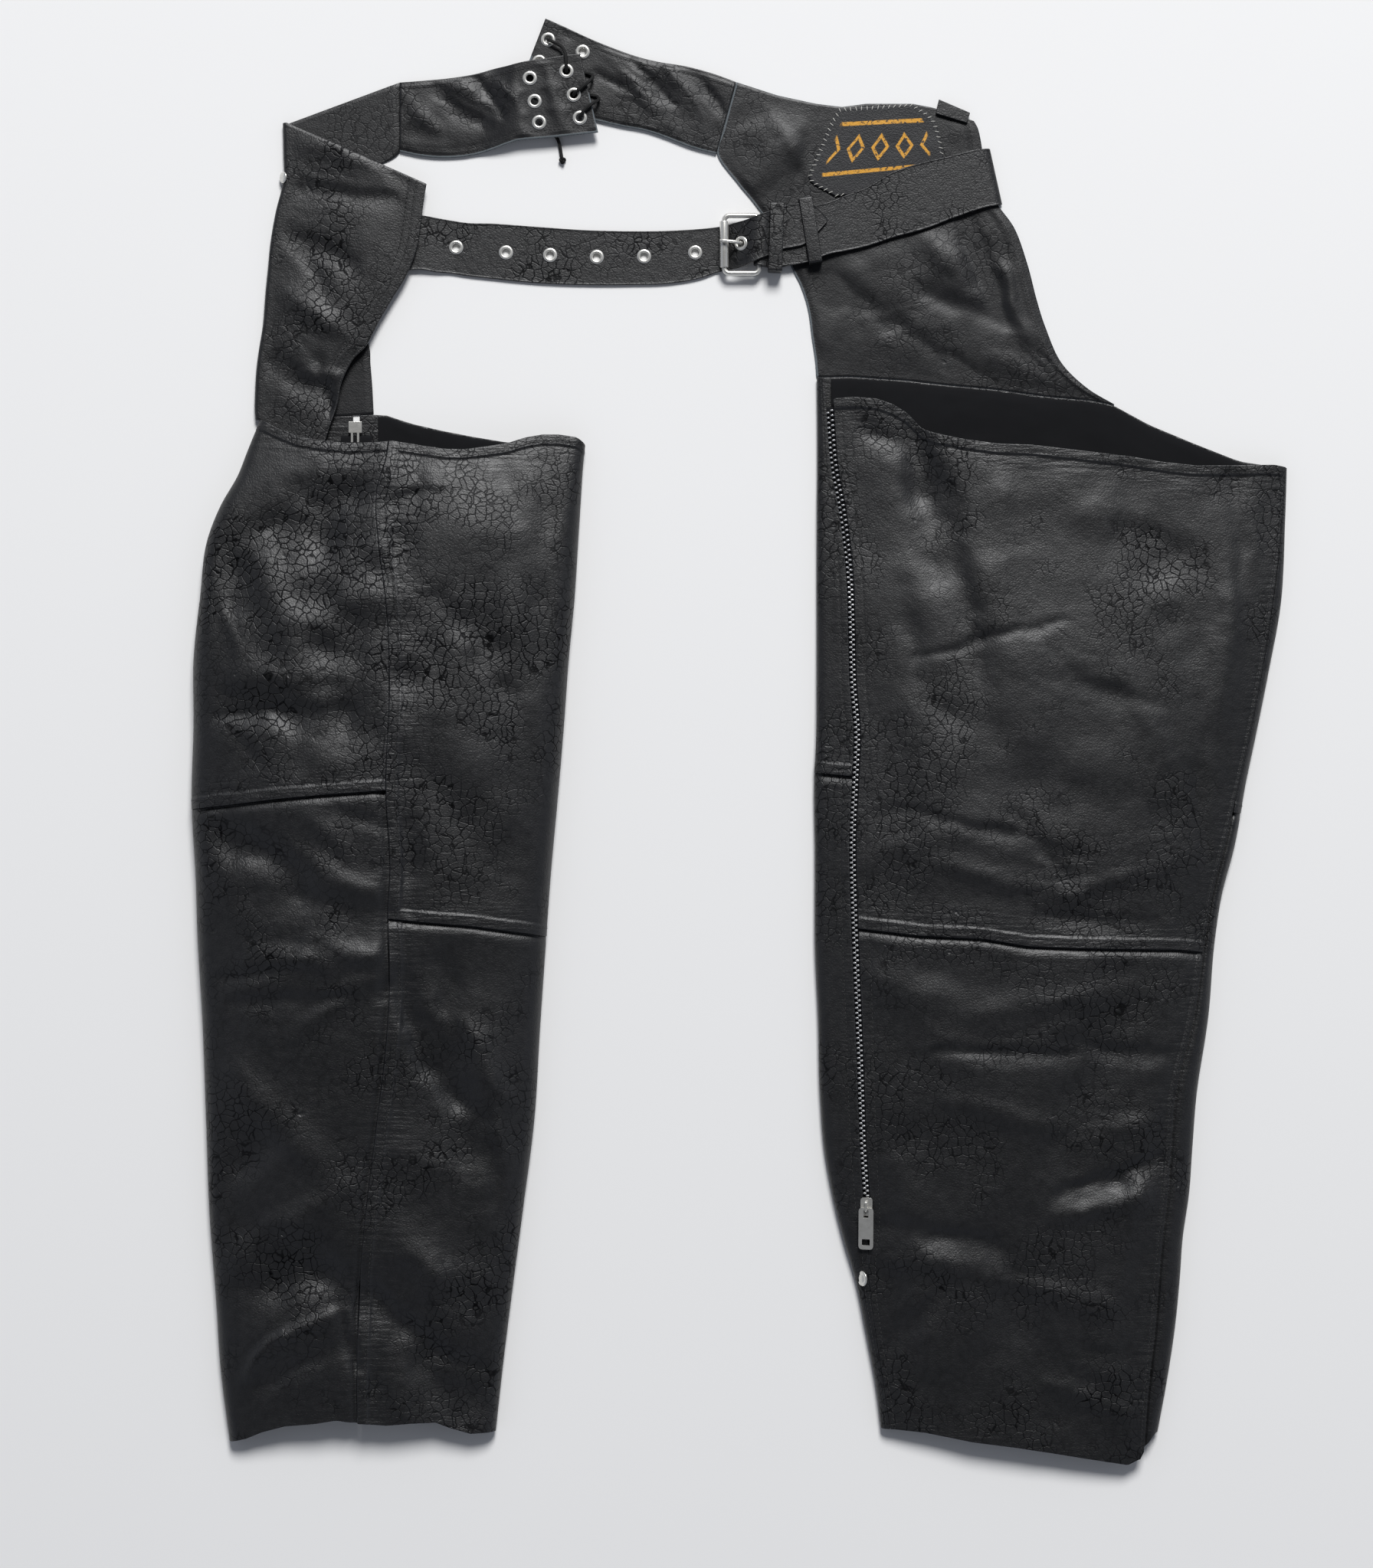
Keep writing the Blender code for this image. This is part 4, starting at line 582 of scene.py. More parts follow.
# Belt straps: top x, top y, bottom x, bottom y, middle height.
belt = {
    "holed": [
        (-262, 412.5, -262, 369.5, 3.3),
        (-247, 412, -247, 370, 3.3),
        (-238, 410.5, -238, 368.5, 2.4),
        (-226, 408.5, -226, 367.5, 1.4),
        (-212.5, 406.5, -212.5, 365.5, 1.4),
        (-194.5, 406, -194.5, 363.5, 1.4),
        (-158.5, 403.5, -158.5, 360, 1.4),
        (-122.5, 401, -122.5, 358.5, 1.4),
        (-86.5, 400, -86.5, 358.5, 1.4),
        (-50.5, 400.5, -50.5, 360, 1.4),
        (-28, 402, -29, 364, 1.4),
        (-15, 403.5, -16, 368.5, 1.4),
        (-9, 404.5, -10.5, 369.5, 2.0),
        (-4, 405.8, -5.5, 370.3, 3.9),
        (4, 407.3, 1.5, 371.5, 7.6),
        (9, 408.6, 6, 373, 10.2),
        (13, 410, 10, 374.5, 12.2),
        (17, 411.5, 14, 376, 13.2),
        (20.5, 412.8, 18, 377.8, 13.2),
        (25, 414.5, 22.5, 379.7, 11.6),
        (30, 416.3, 28, 382, 9.7),
        (36, 418.5, 34, 385, 8.9),
        (47, 420.5, 44, 387, 8.9),
        (54, 421, 51, 389, 8.9),
        (60, 418.5, 58, 395.5, 8.9),
        (65, 413.3, 64, 401, 8.9),
        (69, 408.9, 68.6, 406.3, 8.9),
    ],
    "holes": [(-221, 387.5), (-182, 383.5), (-147.5, 381.5), (-111, 380), (-74, 380.5), (-34, 383.5), (2.2, 389.6)],
    "buckleStrap": [
        (66, 420, 66, 383.5, 4.0),
        (24, 409, 24, 371.5, 4.0),
        (18.0, 405.4, 18.0, 372.6, 3.9),
        (15.6, 405.2, 15.6, 372.8, 3.9),
        (13.4, 405.2, 13.4, 372.8, 4.9),
        (12.4, 405.2, 12.4, 372.8, 7.3),
        (13.4, 405.2, 13.4, 372.8, 9.8),
        (16.0, 405.4, 16.0, 372.6, 10.8),
        (19.0, 406.2, 19.0, 372.0, 10.1),
        (24.5, 409.5, 24.5, 371.5, 7.7),
        (29, 410.6, 29, 372, 6.6),
        (36, 412.5, 36, 372.6, 6.4),
        (56, 418.5, 56, 376, 6.4),
        (70, 421.8, 70, 381.5, 6.2),
        (84, 427.5, 84, 384.5, 4.9),
        (99.5, 433.5, 99.5, 388, 4.6),
        (122.5, 446.5, 122.5, 395.5, 4.6),
        (145, 453.5, 145, 401.5, 4.6),
        (168, 458.8, 170, 411, 4.6),
        (186, 463.3, 195, 419, 4.6),
        (192.5, 464, 202, 420.3, 4.2),
        (195, 464.2, 204.6, 420.8, 3.0),
        (195.8, 464.3, 205.4, 421, 1.3),
    ],
    "keepers": [
        (28.2, 367.8, 30.0, 420.6, 10.2, 13.6),
        (60.0, 374.6, 51.9, 425.2, 10.0, 10.9),
    ],
}

# Patch inside the right hip: left x, left y, right x, right y.
patch = {
    "sections": [
        (76, 427.5, 156, 436),
        (56, 440, 159.5, 450),
        (59, 453.5, 159.5, 461),
        (66, 470, 157, 474),
        (72, 484, 151.5, 488),
        (79, 496, 136, 499.3),
    ],
}

# Lace pieces: x, y, z along the middle of the cord.
laces = {
    "routes": {
        "lace_top": [
            (-149, 550, 1.6), (-149, 549.8, 4.4), (-147.5, 548.6, 6.4), (-143.5, 546.6, 6.9),
            (-139, 544, 7.4), (-136.2, 540, 9.2), (-134.9, 535.6, 11.2), (-134.5, 530.5, 11.9),
            (-134.5, 526.4, 11.2), (-134.5, 524.4, 9.4), (-134.5, 524, 7.0),
        ],
        "lace_middle": [
            (-128.8, 505.5, 6.6), (-128.6, 505.7, 9.6), (-127.2, 507.0, 11.5), (-123, 510.2, 11.9),
            (-118.6, 513.8, 11.6), (-115.2, 517.2, 9.8), (-114.0, 519.8, 7.2), (-115.0, 522.0, 5.0),
            (-118.5, 523.2, 4.5), (-123, 524.2, 4.5), (-128, 525, 4.5),
        ],
        "lace_bottom": [
            (-124, 487.5, 6.6), (-123.8, 487.9, 9.6), (-122.6, 490.2, 11.5), (-119.2, 494.2, 11.9),
            (-114.6, 497.8, 11.4), (-110.6, 500.6, 9.4), (-109.2, 502.6, 6.8), (-110.4, 504.8, 4.9),
            (-114, 506, 4.5), (-121, 507.2, 4.5), (-129, 508, 4.5),
        ],
        "lace_free_end": [
            (-155.8, 484, 7.4), (-155.7, 483.9, 5.9), (-154.6, 483.2, 4.8), (-152, 481.6, 4.2),
            (-148.5, 479.2, 3.2), (-144.5, 476, 2.1), (-141.5, 472, 1.7), (-139.9, 467, 1.7),
            (-139, 461.5, 1.7), (-138.2, 457, 2.2),
        ],
    },
}
# A shader value: Python operators on it add Math nodes.
class Signal:
    def __init__(self, shader, socket):
        self.shader = shader
        self.socket = socket

    def math(self, operation, first, second=0.0):
        return self.shader.node("ShaderNodeMath", {"operation": operation}, {0: first, 1: second})

    def __add__(self, other):
        return self.math("ADD", self, other)

    def __radd__(self, other):
        return self.math("ADD", other, self)

    def __sub__(self, other):
        return self.math("SUBTRACT", self, other)

    def __rsub__(self, other):
        return self.math("SUBTRACT", other, self)

    def __mul__(self, other):
        return self.math("MULTIPLY", self, other)

    def __rmul__(self, other):
        return self.math("MULTIPLY", other, self)

    def __truediv__(self, other):
        return self.math("DIVIDE", self, other)

    def __pow__(self, other):
        return self.math("POWER", self, other)


# A material and its node tree. node() adds any node from its type, settings and inputs.
class Shader:
    def __init__(self, name, roughness=0.5, metallic=0.0, specular=0.5, coat=0.0, coatRoughness=0.2, sheen=0.0):
        self.material = bpy.data.materials.new(name)
        self.material.use_nodes = True
        self.tree = self.material.node_tree
        self.surface = self.tree.nodes["Principled BSDF"]
        fixed = {
            "Roughness": roughness, "Metallic": metallic, "Specular IOR Level": specular, "Coat Weight": coat,
            "Coat Roughness": coatRoughness, "Sheen Weight": sheen,
        }
        for key, value in fixed.items():
            self.surface.inputs[key].default_value = value

    def join(self, value, socket):
        if isinstance(value, Signal):
            self.tree.links.new(value.socket, socket)
        else:
            socket.default_value = value

    def node(self, kind, settings=None, inputs=None, output=0):
        made = self.tree.nodes.new(kind)
        for key, value in (settings or {}).items():
            if key == "stops":
                ramp = made.color_ramp
                while len(ramp.elements) < len(value):
                    ramp.elements.new(0.5)
                for element, (place, colour) in zip(ramp.elements, value):
                    element.position = place
                    element.color = (*colour, 1.0)
            else:
                setattr(made, key, value)
        for key, value in (inputs or {}).items():
            self.join(value, made.inputs[key])
        return Signal(self, made.outputs[output])

    def set(self, socket, value):
        self.join(value, self.surface.inputs[socket])

    def objectPlace(self, scale=(1.0, 1.0, 1.0), turn=(0.0, 0.0, 0.0)):
        place = self.node("ShaderNodeTexCoord", output=3)
        return self.node("ShaderNodeMapping", inputs={"Vector": place, "Scale": scale, "Rotation": turn})

    def noise(self, place, scale, detail=2.0, roughness=0.5, distortion=0.0):
        inputs = {"Vector": place, "Scale": scale, "Detail": detail, "Roughness": roughness, "Distortion": distortion}
        return self.node("ShaderNodeTexNoise", inputs=inputs)

    # Distance to the nearest cell edge, 0 on the line between cells.
    def cellEdge(self, place, scale, randomness=1.0):
        settings = {"feature": "DISTANCE_TO_EDGE"}
        return self.node("ShaderNodeTexVoronoi", settings, {"Vector": place, "Scale": scale, "Randomness": randomness})

    # Crease lines: 1 on a narrow ridge of folded noise and 0 between.
    def wrinkles(self, place, scale):
        settings = {"noise_type": "RIDGED_MULTIFRACTAL", "normalize": True}
        inputs = {"Vector": place, "Scale": scale, "Detail": 4.0, "Roughness": 0.5, "Distortion": 0.6}
        return self.ramp(self.node("ShaderNodeTexNoise", settings, inputs), 0.5, 0.82)

    def ramp(self, value, low, high):
        return self.node("ShaderNodeMapRange", {"interpolation_type": "SMOOTHSTEP"}, {0: value, 1: low, 2: high})

    def mix(self, factor, first, second):
        settings = {"data_type": "RGBA"}
        return self.node("ShaderNodeMix", settings, {0: factor, 6: first, 7: second}, output=2)

    def field(self, name):
        return self.node("ShaderNodeAttribute", {"attribute_name": name}, output=2)

    def bump(self, height, distance, strength=1.0):
        self.set("Normal", self.node("ShaderNodeBump", inputs={"Height": height, "Distance": distance, "Strength": strength}))


def colour(value, tint=(1.0, 1.02, 1.18)):
    return (value * tint[0], value * tint[1], value * tint[2], 1.0)


# Leather: dark mottled colour, pebbled grain, drawn wrinkles where the hide has been bent, paler worn edges.
leatherLook = {
    "outer": {"dark": 0.002, "light": 0.005, "roughness": 0.475, "specular": 0.62, "grain": 1.0, "cracks": 1.0},
    "inner": {"dark": 0.003, "light": 0.006, "roughness": 0.47, "specular": 0.5, "grain": 0.7, "cracks": 0.6},
}


def leather(name, look):
    made = Shader(name, specular=look["specular"])
    place = made.objectPlace()
    pebble = made.ramp(made.cellEdge(place, 480), 0.0, 0.3)
    pores = made.noise(place, 1100, 2.0, 0.5)
    mottle = made.noise(place, 170, 4.0, 0.62)
    broad = made.noise(place, 14, 3.0, 0.55)
    creases = made.wrinkles(place, 78.0)
    fineCreases = made.wrinkles(made.objectPlace((1.0, 0.55, 1.0), (0.0, 0.0, 0.5)), 170.0)
    warp = made.node("ShaderNodeTexNoise", inputs={"Vector": place, "Scale": 60.0, "Detail": 3.0}, output=1)
    warped = made.node("ShaderNodeVectorMath", {"operation": "MULTIPLY_ADD"}, {0: warp, 1: (0.009, 0.009, 0.009), 2: place})
    cracks = 1.0 - made.ramp(made.cellEdge(warped, 150), 0.01, 0.09)
    bent = made.field("bent")
    drawn = made.ramp(made.noise(place, 20, 2.0), 0.42, 0.62) * 0.75 + bent
    drawn = made.node("ShaderNodeMath", {"operation": "MINIMUM"}, {0: drawn, 1: 1.0})
    stretched = made.objectPlace((1.0, 6.5, 1.0), (0.0, 0.0, 0.25))
    puckers = made.noise(stretched, 42, 3.0, 0.55)
    worn = made.field("worn")
    tone = made.ramp(broad * 0.55 + mottle * 0.45, 0.3, 0.7)
    base = made.mix(tone, colour(look["dark"]), colour(look["light"]))
    rubbed = made.ramp(worn * 0.7 + mottle * 0.5, 0.65, 1.1)
    base = made.mix(rubbed, base, colour(0.009))
    frayed = made.ramp(made.field("raw") * 0.75 + made.noise(place, 240, 3.0, 0.7) * 0.5, 0.62, 0.86)
    made.set("Base Color", made.mix(frayed, base, (0.10, 0.115, 0.125, 1.0)))
    made.set("Roughness", look["roughness"] + (mottle - 0.5) * 0.18 + creases * drawn * 0.15 + frayed * 0.3)
    made.set("Metallic", cracks * drawn * 0.9 * look["cracks"])
    height = pebble * 0.1 * look["grain"] + pores * 0.04 * look["grain"] + mottle * 0.5 * look["grain"]
    height = height - creases * (drawn * 1.4 * look["cracks"] + 0.2) - fineCreases * (drawn * 1.0 * look["cracks"] + 0.2)
    height = height - cracks * drawn * 0.3 * look["cracks"]
    height = height + puckers * made.field("puckered") * 1.2
    made.bump(height, 0.0006, 1.0)
    return made.material


# Cut leather edges: pale blue-grey fibres.
def rawEdge():
    made = Shader("rawEdge", roughness=0.85)
    fibres = made.noise(made.objectPlace(), 900, 4.0, 0.7)
    broad = made.noise(made.objectPlace(), 60, 2.0)
    made.set("Base Color", made.mix(made.ramp(fibres * 0.6 + broad * 0.4, 0.35, 0.7), (0.05, 0.058, 0.066, 1), (0.19, 0.22, 0.24, 1)))
    made.bump(fibres, 0.0004)
    return made.material


# Plain woven cloth: crossing threads from two waves, matt with a slight sheen.
def cloth(name, value, threads, turn=0.0, roughness=0.9):
    made = Shader(name, roughness=roughness, specular=0.15, sheen=0.05)
    place = made.objectPlace(turn=(0.0, 0.0, turn))
    settings = {"wave_type": "BANDS", "bands_direction": "X", "wave_profile": "SIN"}
    warpThreads = made.node("ShaderNodeTexWave", settings, {"Vector": place, "Scale": threads, "Distortion": 0.4})
    settings = {"wave_type": "BANDS", "bands_direction": "Y", "wave_profile": "SIN"}
    weftThreads = made.node("ShaderNodeTexWave", settings, {"Vector": place, "Scale": threads, "Distortion": 0.4})
    weave = warpThreads * 0.5 + weftThreads * 0.5
    fade = made.noise(place, 30, 3.0)
    made.set("Base Color", made.mix(weave * 0.5 + fade * 0.5, colour(value * 0.6), colour(value * 1.5)))
    made.bump(weave, 0.0002, 0.7)
    return made.material


def metal(name, value, roughness, tint=(1.0, 0.985, 0.93), metallic=1.0):
    made = Shader(name, metallic=metallic)
    place = made.objectPlace()
    smudge = made.noise(place, 160, 4.0, 0.65)
    scratches = made.noise(made.objectPlace((1.0, 14.0, 1.0), (0.0, 0.0, 0.6)), 260, 3.0)
    made.set("Base Color", made.mix(smudge, colour(value * 0.86, tint), colour(value * 1.08, tint)))
    made.set("Roughness", roughness + (smudge - 0.5) * 0.16 + (scratches - 0.5) * 0.1)
    made.bump(scratches * 0.5 + smudge * 0.5, 0.00003, 0.5)
    return made.material


# Twisted thread or cord: slanting strands read from the piece's own map, around once and along in pitches.
def strands(name, value, roughness=0.75, tint=(1.0, 1.0, 1.0), turns=3.0):
    made = Shader(name, roughness=roughness, specular=0.25)
    place = made.node("ShaderNodeTexCoord", output=2)
    slant = made.node("ShaderNodeMapping", inputs={"Vector": place, "Scale": (turns, 1.0, 1.0), "Rotation": (0.0, 0.0, 0.5)})
    settings = {"wave_type": "BANDS", "bands_direction": "DIAGONAL"}
    wave = made.node("ShaderNodeTexWave", settings, {"Vector": slant, "Scale": 1.0, "Distortion": 0.2})
    made.set("Base Color", made.mix(wave, colour(value * 0.45, tint), colour(value * 1.3, tint)))
    made.bump(wave, 0.0003)
    return made.material


def thread(name, value, tint=(1.0, 1.0, 1.0)):
    made = Shader(name, roughness=0.55, specular=0.4)
    fuzz = made.noise(made.objectPlace(), 2400, 2.0)
    made.set("Base Color", made.mix(fuzz, colour(value * 0.6, tint), colour(value * 1.3, tint)))
    made.bump(fuzz, 0.0002)
    return made.material


looks = {
    "outer": leather("leatherOuter", leatherLook["outer"]),
    "inner": leather("leatherInner", leatherLook["inner"]),
    "edge": rawEdge(),
    "lining": cloth("liningCloth", 0.006, 520),
    "tape": cloth("zipCloth", 0.008, 700, 0.3),
    "nickel": metal("nickel", 0.74, 0.3, metallic=0.75),
    "teeth": metal("zipMetal", 0.58, 0.34, (1.0, 1.0, 1.0), 0.85),
    "lace": strands("laceCord", 0.012),
    "blackThread": thread("blackThread", 0.02),
    "whiteThread": thread("whiteThread", 0.5, (1.0, 0.98, 0.9)),
}
print("finishes made")


# Leather: wall, seams and laps. Distances are from a panel's edge.
leatherSizes = {
    "wall": 1.4, "seamGap": 0.9, "inseamGap": 1.3, "lap": 7.5, "lapHeight": 1.0, "inseamLap": 6.0,
    "hemLap": 7.0, "hemHeight": 1.2, "zipHalfGap": 2.9, "zipStopY": -362.0, "step": 2.6, "hiddenStep": 7.0,
    "clearance": 0.35,
}


# One leg as a tube lying flat. Top: z = roll (1 + q) + (crown - 2 roll) (1 - |s|^2.4)^p + relief.
class Leg:
    def __init__(self, shape, lines, wrinkles, seed):
        self.shape = shape
        self.lines = shape["folds"] + lines
        self.wrinkles = wrinkles
        self.seed = seed

    def middle(self, y):
        left = smooth(column(self.shape["sections"], 1), y)
        right = smooth(column(self.shape["sections"], 2), y)
        return (left + right) / 2, (right - left) / 2

    def angle(self, x, y):
        centre, half = self.middle(y)
        return np.arccos(np.clip((centre - x) / half, -1, 1))

    def relief(self, x, y):
        height = linear(self.shape["depth"], y) * lineRelief(self.lines, x, y) + 0.9 * wrinkleRelief(self.wrinkles, x, y)
        height = height + 1.0 * softNoise(x, y, 48, self.seed) + 0.34 * softNoise(x, y, 21, self.seed + 1)
        return height + 0.12 * softNoise(x, y, 9, self.seed + 2)

    def point(self, angle, y, relief=True):
        centre, half = self.middle(y)
        crown = smooth(column(self.shape["sections"], 3), y)
        roll = smooth(column(self.shape["sections"], 4), y)
        across = -np.cos(angle)
        x = centre + half * across
        depth = half * (1 - np.abs(across))
        part = np.clip(depth / (1.5 * roll), 0, 1)
        quarter = np.sqrt(np.maximum(1 - (1 - part) ** 2, 0))
        power = np.where(across < 0, *self.shape["powers"])
        shape = np.maximum(1 - np.abs(across) ** 2.4, 0) ** power
        rise = self.relief(x, y) if relief else 0.0
        edge = ease((1 - np.abs(across)) / 0.22)
        top = roll * (1 + quarter) + (crown - 2 * roll) * shape + rise * edge
        under = roll * (1 - quarter) + 0.25 * np.maximum(rise, 0) * edge
        return np.stack([x, y + 0 * x, np.where(np.sin(angle) >= 0, top, under)], axis=-1)

    def onTop(self, x, y):
        x = np.asarray(x, float)
        y = np.asarray(y, float)
        step = 1.5
        here = self.point(self.angle(x, y), y)
        east = self.point(self.angle(x + step, y), y) - here
        north = self.point(self.angle(x, y + step), y + step) - here
        return here, unit(np.cross(east, north))


# Points of a panel round the tube. start and end give angles from y; top and bottom give y from x and side.
def legGrid(leg, start, end, top, bottom, across, along, relief=True):
    u = across[None, :]
    v = along[:, None]
    y = np.full((len(along), len(across)), 0.0) + (v - 0.5) * 200
    for _ in range(14):
        angle = start(y) + (end(y) - start(y)) * u
        centre, half = leg.middle(y)
        x = centre - half * np.cos(angle)
        side = ease(0.5 + 2.2 * np.sin(angle))
        high = top(x, side)
        low = bottom(x, side)
        y = low + (high - low) * v
    angle = start(y) + (end(y) - start(y)) * u
    return leg.point(angle, y, relief)


# Fractions from 0 to 1 at even arc steps, closer on top than underneath.
def roundStations(leg, start, end, y, fine, coarse):
    u = np.linspace(0, 1, 900)
    level = np.full_like(u, y)
    angle = start(level) + (end(level) - start(level)) * u
    points = leg.point(angle, level, False)
    gaps = np.linalg.norm(np.diff(points, axis=0), axis=1)
    size = np.where(np.sin((angle[1:] + angle[:-1]) / 2) < -0.4, coarse, fine)
    count = np.concatenate([[0], np.cumsum(gaps / size)])
    return np.interp(np.linspace(0, count[-1], int(count[-1]) + 2), count, u)


# Adds close lines beside a trimmed edge, from distances in millimetres, and drops those that nearly coincide.
def withTrims(stations, length, low, high):
    extra = [d / length for d in low] + [1 - d / length for d in high]
    joined = np.unique(np.concatenate([stations, extra]))
    keep = [joined[0]]
    for value in joined[1:]:
        if (value - keep[-1]) * length > 0.35 or value == joined[-1]:
            keep.append(value)
    return np.array(keep)


def trimLines(trim):
    lap = trim["lap"]
    near = [0.5, 1.2, 2.4, lap - 0.6, lap + 0.3, lap + 1.2, lap + 2.4]
    for row in trim["rows"]:
        near += [row - 1.1, row, row + 1.1]
    return near


stitchLines = []


# One leather panel as a fine closed wall. trims: edge -> lap width, lap height and distances of the stitch rows.
def panel(node, leg, start, end, top, bottom, size, trims, middleY, pucker=1.0):
    width, length = size
    sizes = leatherSizes
    empty = {"lap": 0.0, "rows": []}
    near = {edge: trimLines(trims[edge]) if edge in trims else [0.6, 1.5] for edge in ("start", "end", "low", "high")}
    across = withTrims(roundStations(leg, start, end, middleY, sizes["step"], sizes["hiddenStep"]), width, near["start"], near["end"])
    along = withTrims(np.linspace(0, 1, int(length / sizes["step"])), length, near["low"], near["high"])
    points = legGrid(leg, start, end, top, bottom, across, along)
    normal = normalsOf(points)
    gaps = {
        "start": across[None, :] * width, "end": (1 - across)[None, :] * width,
        "low": along[:, None] * length, "high": (1 - along)[:, None] * length,
    }
    rise = np.zeros(points.shape[:2])
    puckered = np.zeros(points.shape[:2])
    worn = np.zeros(points.shape[:2])
    for edge, gap in gaps.items():
        trim = trims.get(edge, empty)
        gap = gap + 0 * rise
        if trim["lap"]:
            rise = np.maximum(rise, trim["height"] * (1 - ease((gap - trim["lap"]) / 1.1)))
            worn = np.maximum(worn, 1 - ease(np.abs(gap - trim["lap"] + 0.2) / 1.6))
            puckered = np.maximum(puckered, pucker * (1 - ease((gap - trim["lap"]) / 26)))
        else:
            puckered = np.maximum(puckered, 0.7 * pucker * (1 - ease(gap / 20)))
        if trim.get("dip"):
            rise = rise - trim["dip"] * np.exp(-((gap / 3.1) ** 2))
        worn = np.maximum(worn, 1 - ease(gap / 1.5))
    groove = np.zeros(points.shape[:2])
    for edge, gap in gaps.items():
        for row in trims.get(edge, empty)["rows"]:
            groove = np.maximum(groove, np.exp(-(((gap - row) / 0.9) ** 2)) + 0 * groove)
    facing = np.clip(np.abs(normal[..., 2]), 0, 1)
    outer = points + normal * ((rise - 0.18 * groove) * facing)[..., None]
    outer[..., 2] = np.maximum(outer[..., 2], 0.0)
    relief = lineRelief(leg.lines, points[..., 0], points[..., 1])
    bent = np.clip(np.abs(wrinkleRelief(leg.wrinkles, points[..., 0], points[..., 1])) * 1.3 + np.abs(relief) * 0.05, 0, 1)
    inner = points + normal * (np.minimum(rise, 0) * facing - sizes["wall"])[..., None]
    piece = wall(
        node + "_leather", outer, inner, [looks["outer"], looks["edge"]],
        bulge=0.14, fields={"bent": bent, "worn": worn, "puckered": puckered},
    )
    settle(piece, [node])
    declareCut(piece, points)

    def lineAt(edge, distance):
        offsets = np.array([-1.0, 0.0, 1.0]) * 0.4
        t = np.linspace(0.004, 0.996, 700)
        if edge in ("start", "end"):
            place = distance / width if edge == "start" else 1 - distance / width
            grid = legGrid(leg, start, end, top, bottom, place + offsets / width, t)
            normal = np.cross(grid[:, 2] - grid[:, 0], np.gradient(grid[:, 1], axis=0))
        else:
            place = distance / length if edge == "low" else 1 - distance / length
            grid = legGrid(leg, start, end, top, bottom, t, place + offsets / length).transpose(1, 0, 2)
            normal = np.cross(np.gradient(grid[:, 1], axis=0), grid[:, 2] - grid[:, 0])
        lift = trims[edge].get("height", 0.0) if distance < trims[edge]["lap"] else 0.0
        normal = unit(normal)
        return grid[:, 1] + normal * (lift * np.abs(normal[:, 2:3]) - 0.1), normal

    for edge, trim in trims.items():
        for row in trim["rows"]:
            stitchLines.append(lineAt(edge, row))
    return piece


# The flat cut of a piece: its longest row and column and its area, all along the leather.
def cutOf(points):
    alongRows = np.linalg.norm(np.diff(points, axis=1), axis=-1).sum(1).max()
    alongColumns = np.linalg.norm(np.diff(points, axis=0), axis=-1).sum(0).max()
    first = np.cross(points[1:, :-1] - points[:-1, :-1], points[:-1, 1:] - points[:-1, :-1])
    second = np.cross(points[1:, :-1] - points[1:, 1:], points[:-1, 1:] - points[1:, 1:])
    area = (np.linalg.norm(first, axis=-1).sum() + np.linalg.norm(second, axis=-1).sum()) / 2
    return alongRows * mm, alongColumns * mm, area * mm * mm


cutSizes = {}


def declareCut(piece, points):
    width, length, area = cutOf(points)
    cutSizes[piece.name] = (round(width, 3), round(length, 3), round(area, 4))
    area = min(max(area, 0.301 * width * length), width * length)


def inseamAt(leg, shift):
    return lambda y: leg.angle(smooth(leg.shape["inseam"], y) + shift, y)


def zipGap(y):
    return leatherSizes["zipHalfGap"] * ease((y - leatherSizes["zipStopY"] + 40) / 36) + 0.5


# y from x, going over from the floor side's table (side 0) to the top side's one (side 1).
def both(topTable, floorTable, shift=0.0):
    return lambda x, side: side * linear(topTable, x) + (1 - side) * linear(floorTable, x) + shift
